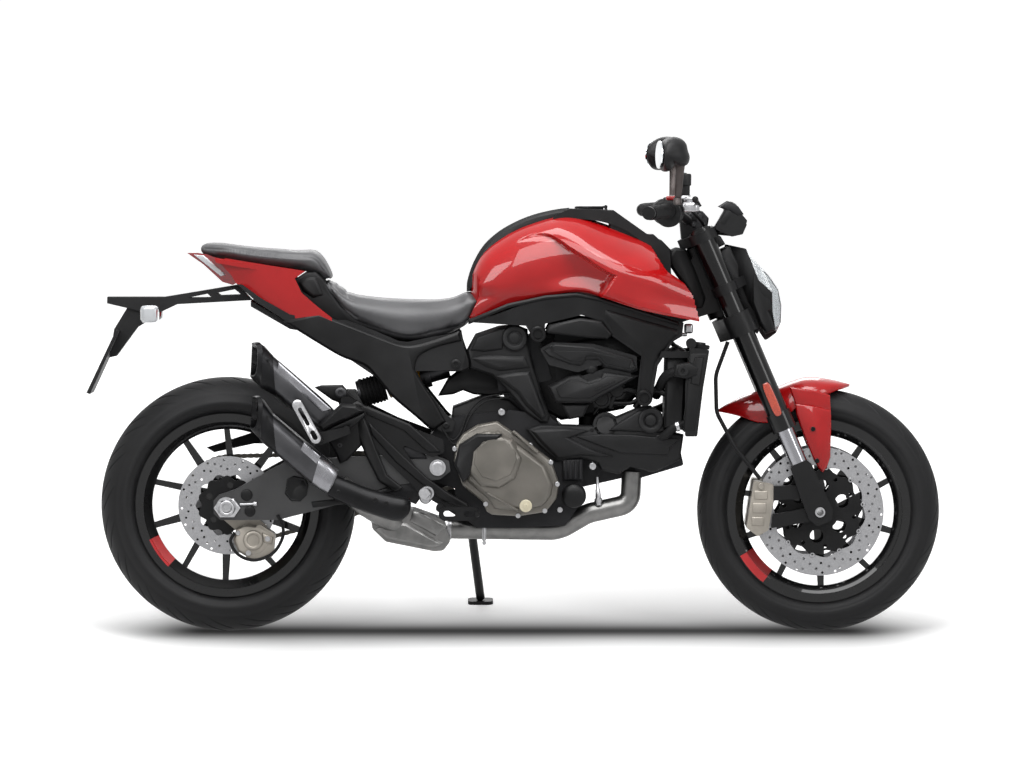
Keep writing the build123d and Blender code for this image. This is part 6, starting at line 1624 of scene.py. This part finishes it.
def pill(centre, half_long, radius):
    """A slot's outline: two half circles joined by straight sides."""
    turn = np.linspace(-np.pi / 2, np.pi / 2, 12)
    right = np.column_stack([half_long + radius * np.cos(turn), radius * np.sin(turn)])
    return np.vstack([right, -right]) + centre


pedal_lines = [pill((0, 0), 34, 17), pill((-24, 1), 8, 7)[::-1], pill((26, 1), 8, 7)[::-1]]
pedal = flat_solid("brake_pedal_plate", pedal_lines, (578, 302), -206, 8, "chassis", "black_alloy")
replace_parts(pedal, "foot_levers")
lever_pivot = [(0, 0.001), (0, 10), (46, 10), (46, 0.001)]
pedal_end = [(0, 0.001), (0, 7), (14, 7), (16, 6), (16, 0.001)]
lever_sleeve = [(0, 0.001), (0, 9), (12, 9.5), (13, 8.5), (15, 9.5), (24, 9.5), (26, 7), (26, 0.001)]
lever_parts = [
    turned(lever_pivot, (530, -158, 316), RIGHT, 20),
    turned(pedal_end, (622, -208, 302), RIGHT, 20),
    turned(lever_pivot, (520, 158, 322), LEFTWARDS, 20),
    tube([(520, 204, 320), (560, 205, 296), (600, 206, 292), (628, 207, 297)], 6),
    turned(lever_sleeve, (626, 195, 297), LEFTWARDS, 24),
]
joined("foot_lever_tubes", lever_parts, "chassis", "black_alloy")

# %% [markdown]
# The passenger's pegs are flat bars with a long slot and a forked foot; each rides on its own hinge.

# %% Passenger's pegs
PEG_MIDDLE, PEG_LEAN = (203, 533), np.radians(-61.5)
peg_slots = [pill((0, 0), 47, 12.5), pill((-14, 0), 20, 5)[::-1], pill((38, 0), 7, 6)[::-1]]
c, s = np.cos(PEG_LEAN), np.sin(PEG_LEAN)
peg_lines = [line @ np.array([[c, s], [-s, c]]) for line in peg_slots]
for name, across in (("passenger_peg_right", -266), ("passenger_peg_left", 214)):
    peg = flat_solid(name + "_bar", peg_lines, PEG_MIDDLE, across, 20, name, "bare_alloy")
    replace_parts(finish_edges(peg, 1.5, 40), name)

# %% [markdown]
# Both mirrors are deep shells on flattened stalks. A shell's sections across the machine are one side
# outline, scaled by (1 - |u|^3)^0.45 from its middle to its ends, and each head is turned in a little,
# so that its glass faces the rider. That is why the far one shows its glass from this side.

# %% Mirrors
MIRROR_OUTLINE = [
    (1070, 1204), (1078, 1223), (1100, 1233), (1120, 1228), (1132, 1216), (1136, 1200), (1141, 1182),
    (1135, 1165), (1118, 1160), (1104, 1163), (1092, 1150), (1078, 1148), (1071, 1160), (1069, 1182),
]
MIRROR_AT, MIRROR_OUT, MIRROR_HALF = np.array([1076.0, 1190.0]), 350.0, 74.0
outline = through(MIRROR_OUTLINE + MIRROR_OUTLINE[:1], 60)[:-1]
steps = np.linspace(-1, 1, 25)
scale = np.maximum(0.02, (1 - np.abs(steps) ** 3)) ** 0.45
head = MIRROR_AT + (outline[None] - MIRROR_AT) * scale[:, None, None]
across = np.broadcast_to(MIRROR_HALF * steps[:, None], head.shape[:2])
head = np.stack([head[..., 0], across, head[..., 1]], -1)
glass_outline = round_outline((0, 0), 1, 40)
glass = np.stack([np.zeros(40), glass_outline[:, 0] * 66, glass_outline[:, 1] * 34], -1)


def turned_in(points, side, angle):
    """Turns a head about an upright line through its middle and puts it on its side of the machine."""
    middle = np.array([MIRROR_AT[0] + 26, 0, 0])
    c, s = np.cos(angle), side * np.sin(angle)
    x, y, z = np.moveaxis(points - middle, -1, 0)
    spun = np.stack([x * c + y * s, -x * s + y * c, z], -1)
    return spun + middle + np.array([0, side * MIRROR_OUT, 0])


def swept(path, places, radii, section):
    """A section carried along a smooth path without turning, its radius given at places from 0 to 1."""
    line = through(path, 30)
    wide = np.interp(np.linspace(0, 1, 30), places, radii)
    return capped(line[:, None] + wide[:, None, None] * section[None])


MIRROR_TURN = {-1: 0.10, 1: 0.36}  # radians by side
STALK = [(1119, 350, 1168), (1118, 345, 1140), (1116, 325, 1104), (1114, 300, 1078)]
rear = np.array([MIRROR_AT[0] - 7.5, 0, MIRROR_AT[1] - 1])
leaned = rear + glass[..., 2:] * (0.03, 0, 0)
glass_rings = np.stack([leaned + glass, leaned + glass + (-2.5, 0, 0), leaned + glass * 0.94 + (-3, 0, 0)])
turn = np.linspace(0, 2 * np.pi, 20, endpoint=False)
oval = np.stack([np.cos(turn), np.sin(turn) * 0.4, np.zeros(20)], -1)
stalk_foot = [(0, 0.001), (0, 10), (16, 10), (18, 8), (18, 0.001)]
shells, glasses, stalks = [], [], []
for side, angle in MIRROR_TURN.items():
    shells.append(capped(turned_in(head, side, angle)))
    glasses.append(capped(turned_in(glass_rings, side, angle)))
    stalk_path = np.array(STALK) * (1, side, 1)
    stalks.append(swept(stalk_path, [0, 0.3, 1], [12.5, 10, 7.5], oval))
    stalks.append(turned(stalk_foot, (1114, side * 300, 1066), (0, 0, 1), 24))
mirror_shells = joined("mirror_shells", shells, "steering", "black_plastic", sharp_over=50)
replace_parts(mirror_shells, "mirrors")
FINISHES["mirror_glass"] = finish("silvered_glass", "#dfe3e6", "#eef1f3", 0.04, metal=1.0)
joined("mirror_glasses", glasses, "steering", "chrome_slider", FINISHES["mirror_glass"])
FINISHES["stalk_brown"] = finish("brown_anodised_stalk", "#3d3634", "#4a4240", 0.4, metal=0.4)
joined("mirror_stalks", stalks, "steering", "black_plastic", FINISHES["stalk_brown"], sharp_over=45)

# %% [markdown]
# A grip is a rubber tube with rings moulded round it, ending in a metal weight. Inboard of it stand the
# round throttle or switch housing, the brake or clutch master cylinder with its fluid cup, and a lever.

# %% Grips, housings and levers
ribs = [(0, 13.5), (0, 20), (4, 21), (8, 17.2)]
for step in range(13):
    ribs += [(12 + 8 * step, 16.6), (14 + 8 * step, 17.6), (17 + 8 * step, 17.6), (19 + 8 * step, 16.6)]
ribs += [(118, 16.5), (120, 17.5), (123, 17.5), (123, 13.5)]
weight = [(0, 0.001), (0, 14.5), (10, 15), (14, 12.5), (14, 6.5), (9, 6), (9, 0.001)]
housing = [(-46, 12), (-46, 23), (-40, 28), (-14, 31), (-12, 33), (-1, 33), (0, 30), (0, 12)]
cup = [(0, 0.001), (0, 10), (2, 12), (24, 12), (26, 15), (50, 15), (54, 13), (54, 0.001)]
collar = [(0, 13), (0, 21), (22, 21), (22, 13)]
knob = [(-8, 0.001), (-7, 5), (-3, 8), (3, 8), (7, 5), (8, 0.001)]
turn = np.linspace(0, 2 * np.pi, 16, endpoint=False)
blade = np.stack([np.cos(turn), np.zeros(16), np.sin(turn) * 0.5], -1)
LEVER = [(1166, 226, 1064), (1164, 260, 1068), (1158, 330, 1076), (1155, 384, 1080)]
CABLE = [(1134, 196, 1062), (1150, 150, 1052), (1180, 96, 1020), (1196, 60, 985)]
grips, weights, housings, cylinders, levers = [], [], [], [], []
for side in (-1, 1):
    inner, outer = np.array([1090.0, side * 268, 1051.0]), np.array([1042.5, side * 392, 1046.0])
    axis = (outer - inner) / np.linalg.norm(outer - inner)
    grips.append(turned(ribs, inner, axis, 28))
    weights.append(turned(weight, inner + 123.5 * axis, axis, 28))
    housings.append(turned(housing, inner - 2 * axis + (0, 0, -8), axis, 36))
    housings.append(rounded_box(inner - 30 * axis + (10, 0, 8), np.eye(3), (44, 40, 40), 6))
    housings.append(turned(cup, (1134, side * 212, 1088), (0.02, 0, 1), 28))
    housings.append(turned(collar, (1106, side * 232, 1048), (-0.05, side, 0), 28))
    cylinders.append(rounded_box((1146, side * 236, 1060), np.eye(3), (46, 58, 24), 6))
    cylinders.append(rounded_box((1146, side * 210, 1078), np.eye(3), (26, 26, 14), 4))
    levers.append(swept(np.array(LEVER) * (1, side, 1), [0, 0.15, 0.9, 1], [9, 7.5, 7, 8], blade))
    levers.append(turned(knob, (1155, side * 386, 1080), (0, side, 0), 20))
    levers.append(tube(np.array(CABLE) * (1, side, 1), 4))
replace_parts(joined("ribbed_grips", grips, "steering", "black_rubber"), "grips")
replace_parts(joined("bar_housings", housings, "steering", "black_plastic"), "bar_controls")
joined("bar_levers", levers, "steering", "black_alloy")
joined("bar_weights", weights, "steering", "black_alloy")
joined("master_cylinders", cylinders, "steering", "bare_alloy")
joined("stop_switch", [rounded_box((1104, -250, 1082), np.eye(3), (36, 22, 11), 4)], "steering", "red_paint")

# %% [markdown]
# The bar is clamped between risers by two caps, each held by four screws. The top yoke carries the
# fork's top caps and the steering nut, and the display stands ahead of it: a dark glass in a housing.

# %% Clamps, yoke tops and display
frame["nodes"]["bar_risers"].data.materials[0] = FINISHES["black_alloy"]
clamps = [rounded_box((1152, side * 30, 1034), np.eye(3), (50, 34, 28), 6) for side in (-1, 1)]
clamps += [rounded_box((1150, side * 32, 1000), np.eye(3), (40, 28, 40), 6) for side in (-1, 1)]
joined("bar_clamps", clamps, "steering", "black_alloy")
tops = [((x, y, 1047), 5, (0, 0, 1), 4) for x in (1134, 1170) for y in (-40, -20, 20, 40)]
for side in (-1, 1):
    top = on_fork(739.0, 0.0, side * FORK_SPREAD)
    tops += [(top, 21, FORK_UP, 7, 0.0), (top + 6 * FORK_UP, 11, FORK_UP, 6)]
tops += [(on_fork(730.0, -36.0, 0.0), 19, FORK_UP, 10)]
bolt_set("yoke_top_nuts", tops, "steering")
display_up, display_out = np.array([0.50, 0, 0.866]), np.array([-0.866, 0, 0.50])
display_at = np.array([1230.0, 0, 1036.0])
axes = np.array([(0, 1, 0), display_up, display_out])
display_box = rounded_box(display_at + (10, 0, -4), axes, (146, 84, 26), 9)
joined("display_housing", [display_box], "steering", "black_plastic", sharp_over=50)
FINISHES["display_glass"] = finish("dark_display_glass", "#050607", "#08090b", 0.06, **GLOSS)
display_pane = rounded_box(display_at + 10.5 * display_out + (8, 0, -4), axes, (126, 66, 4), 2)
joined("display_glass", [display_pane], "steering", "black_plastic", FINISHES["display_glass"], sharp_over=50)
hood = [(1222, 1058), (1246, 1073), (1270, 1060), (1284, 1040), (1268, 1034), (1250, 1046)]
hood_low = [
    (1214, 1012), (1230, 1000), (1258, 985), (1284, 996), (1292, 1014), (1282, 1036), (1262, 1030),
    (1240, 1026),
]
display_sides = [(hood, [(0, -40), (0, -70), (4, -74)]), (hood_low, [(0, -30), (0, -60), (8, -68)])]
panel_piece("display_sides", display_sides, "steering", "engine_grey", bevel=1.5, mirror=True)

# %% [markdown]
# Black rubber and plastic close the space between the tank and the steering head: the lock, the
# cables and the wiring run there. The cover stays narrow, so that the fork legs turn past it.

# %% Steering head cover and headlight inside
head_cover = [
    (1094, 922), (1100, 950), (1116, 957), (1142, 953), (1164, 905), (1192, 832), (1184, 806), (1158, 802),
    (1146, 850), (1118, 886),
]
panel_piece(
    "steering_head_cover", [(head_cover, [(6, 48), (0, 40), (0, -40), (6, -48)])], "chassis",
    "radiator_black", bevel=3.0,
)
TUBE_GLOSS = {"Coat_Weight": 0.35, "Coat_Roughness": 0.1, "Specular_IOR_Level": 0.12}
frame["nodes"]["fork_tubes"].data.materials[0] = finish(
    "black_anodised_tube", "#060607", "#0a0a0b", 0.3, **TUBE_GLOSS,
)
high_bowl = [(-20, 22), (0, 23), (2, 20), (-5, 16), (-6, 0.001), (-20, 0.001)]
low_bowl = [(-24, 30), (0, 31), (3, 27), (-6, 22), (-8, 0.001), (-24, 0.001)]
lamp_parts = [
    turned(high_bowl, (1312, 0, 884), (1, 0, 0.1), 36), turned(low_bowl, (1346, 0, 806), (1, 0, -0.1), 36),
]
joined("lamp_reflectors", lamp_parts, "steering", "chrome_slider")

# %% [markdown]
# The seat frame's side is one broad pressing, with a sunk plate at its front corner.

# %% Seat frame sides
beam_low = [(140, 776), (228, 721), (287, 687), (342, 666), (371, 637), (414, 586), (468, 540), (511, 502)]
beam_leg = [(544, 527), (519, 573), (494, 611), (473, 645), (468, 662), (479, 690), (520, 711), (583, 727)]
beam_top = [(578, 752), (540, 738), (477, 719), (439, 717), (393, 732), (329, 757), (230, 795)]
corner_plate = [
    (466, 655), (481, 656), (553, 651), (584, 651), (601, 660), (601, 680), (584, 730), (520, 716),
    (472, 695),
]
beam = np.vstack([through(beam_low, 40), through(beam_leg, 40), through(beam_top, 30)])
frame_parts = [(beam, [(0, -100), (0, -119), (6, -126)]), (corner_plate, [(0, -100), (0, -114), (4, -117)])]
frame_side = panel_piece("seat_frame_sides", frame_parts, "chassis", "engine_grey", bevel=1.5, mirror=True)
frame_side.data.materials[0] = FINISHES["black_alloy"]

# %% [markdown]
# On the steering, a cover closes the top yoke and two cheeks stand on each side of the headlight.

# %% Steering shells
yoke_line = [
    (1146, 970), (1148, 988), (1160, 998), (1192, 1000), (1226, 986), (1238, 966), (1222, 958), (1150, 958),
]
cheek_front = [
    (1306, 905), (1319, 877), (1353, 848), (1355, 803), (1347, 799), (1362, 752), (1338, 742), (1322, 770),
    (1302, 820),
]
cheek_rear = [
    (1214, 925), (1226, 952), (1248, 962), (1270, 918), (1292, 885), (1306, 830), (1330, 765), (1318, 742),
    (1286, 770), (1252, 850),
]
shell_parts = [(yoke_line, [(0, -60), (0, -78), (5, -84)]), (cheek_front, [(0, -56), (0, -76), (6, -84)])]
shell_parts += [(cheek_rear, [(0, -30), (0, -58), (4, -62)])]
panel_piece("steering_shells", shell_parts, "steering", "black_plastic", bevel=1.5, mirror=True)
clamp_line = [
    (1140, 1004), (1138, 1034), (1152, 1050), (1182, 1048), (1198, 1030), (1194, 1006), (1170, 1000),
]
panel_piece(
    "clamp_block", [(clamp_line, [(2, 46), (0, 40), (0, -40), (2, -46)])], "steering", "engine_grey",
    bevel=2.0,
)
clamp_bolts = [
    ((x, -46, z), r, RIGHT, 4)
    for x, z, r in ((1152, 1036, 6), (1176, 1036, 6), (1160, 1014, 5), (1184, 1012, 5))
]
bolt_set("clamp_bolts", clamp_bolts, "steering", "shock_body")

# %% [markdown]
# A black band follows the tank's spine, and a skirt closes the gap between its front end and the
# steering head. Two dark blocks behind the rider's heel fill the gaps that the frame leaves there.

# %% Spine band, skirt and gap fillers
spine_top = [
    (595, 848), (597, 876), (611, 918), (637, 962), (674, 996), (719, 1022), (766, 1040), (813, 1051),
    (850, 1056),
]
spine_low = [(850, 1020), (813, 1012), (768, 998), (722, 978), (685, 950), (655, 918), (632, 880), (622, 850)]
spine = np.vstack([through(spine_top, 40), through(spine_low, 30)])
panel_piece(
    "spine_band", [(spine, [(9, 48), (0, 34), (0, -34), (9, -48)])], "chassis", "black_plastic", bevel=3.0,
)
skirt = [
    (948, 1044), (964, 1042), (1000, 1010), (1048, 981), (1080, 976), (1103, 952), (1106, 916), (1092, 906),
    (1060, 930), (1000, 965), (950, 985),
]
panel_piece(
    "spine_skirt", [(skirt, [(4, 57), (0, 50), (0, -50), (4, -57)])], "chassis", "black_plastic", bevel=2.0,
)
heel_gap = [(388, 358), (452, 396), (500, 375), (489, 350), (470, 322), (434, 338), (400, 340)]
hinge_gap = [(430, 470), (480, 470), (498, 436), (450, 436)]
gap_parts = [(heel_gap, [(0, -120), (0, -140), (4, -144)]), (hinge_gap, [(0, -120), (0, -150), (4, -154)])]
panel_piece("heel_guard_foot", gap_parts, "chassis", "engine_grey", bevel=1.5)

# %% [markdown]
# The front fender is a thin blade over the tyre with a beak at each end, and two faceted legs bolted
# to the fork. Each section across is an arch from the top line down to the side line.

# %% Front fender
FENDER_THICK, ARCH_STEPS = 3.0, 21
FENDER_ROWS = [
    # x, top, side edge, half width (upright millimetres)
    (1223, 553, 550, 3), (1247, 568, 546, 26), (1281, 586, 538, 48), (1318, 598, 526, 62),
    (1367, 609, 528, 70), (1397, 621, 548, 76), (1431, 632, 572, 78), (1460, 634, 584, 77),
    (1485, 631, 592, 70), (1513, 626, 603, 52), (1532, 621, 608, 32), (1550, 616, 613, 4),
]
rows = through(FENDER_ROWS, 60)
arch = np.linspace(-np.pi / 2, np.pi / 2, ARCH_STEPS)
arch_shares = list(zip(np.sin(arch), 1 - np.cos(arch) ** 0.8))
rings = []
for x, top, edge, half in rows:
    shell = [(x, half * a, top + (edge - top) * d) for a, d in arch_shares]
    thin = max(half - FENDER_THICK, 0.5)
    lining = [(x, thin * a, top - FENDER_THICK + (edge - top) * d) for a, d in arch_shares]
    rings.append(shell + lining[::-1])
fender_crown = capped(np.array(rings))
leg_upper = [(1397, 612), (1461, 602), (1485, 595), (1498, 591), (1500, 552), (1450, 564), (1412, 568)]
leg_lower = [
    (1412, 570), (1450, 566), (1500, 554), (1501, 520), (1499, 437), (1490, 411), (1480, 399), (1469, 411),
    (1459, 428), (1436, 484), (1414, 544),
]
legs = [
    panel(line, [(0, y[0]), (0, y[1]), (3, y[2])])
    for line, y in ((leg_upper, (-68, -79, -82)), (leg_lower, (-78, -81, -84)))
]
legs += [(points * (1, -1, 1), faces) for points, faces in legs]
fender = joined("front_fender_blade", [fender_crown] + legs, "steering", "red_paint", bevel_mm=0.8)
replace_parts(fender, "front_fender")
fender_bolts = [
    ((x, side * 83.5, z), 6, (0, side, 0), 4)
    for side in (-1, 1)
    for x, z in ((1456, 507), (1466, 428))
]
bolt_set("fender_bolts", fender_bolts, "steering", "black_alloy")

# %% [markdown]
# The front calipers carry four raised pads on their outer faces: three blocks and a round one above.

# %% Front caliper pads
pads = ((1326, 344, 34, 22), (1322, 312, 34, 26), (1318, 279, 30, 22))  # x, z, width, height
round_pad = [(0, 0.001), (0, 8), (5, 8), (6, 7), (6, 0.001)]
caliper_ribs = []
for side in (-1, 1):
    caliper_ribs += [
        rounded_box((x, side * 106, z), np.eye(3), (wide, 6, high), 2.5)
        for x, z, wide, high in pads
    ]
    caliper_ribs.append(turned(round_pad, (1326, side * 105, 366), (0, side, 0), 20))
joined("front_caliper_bosses", caliper_ribs, "steering", "caliper_grey")
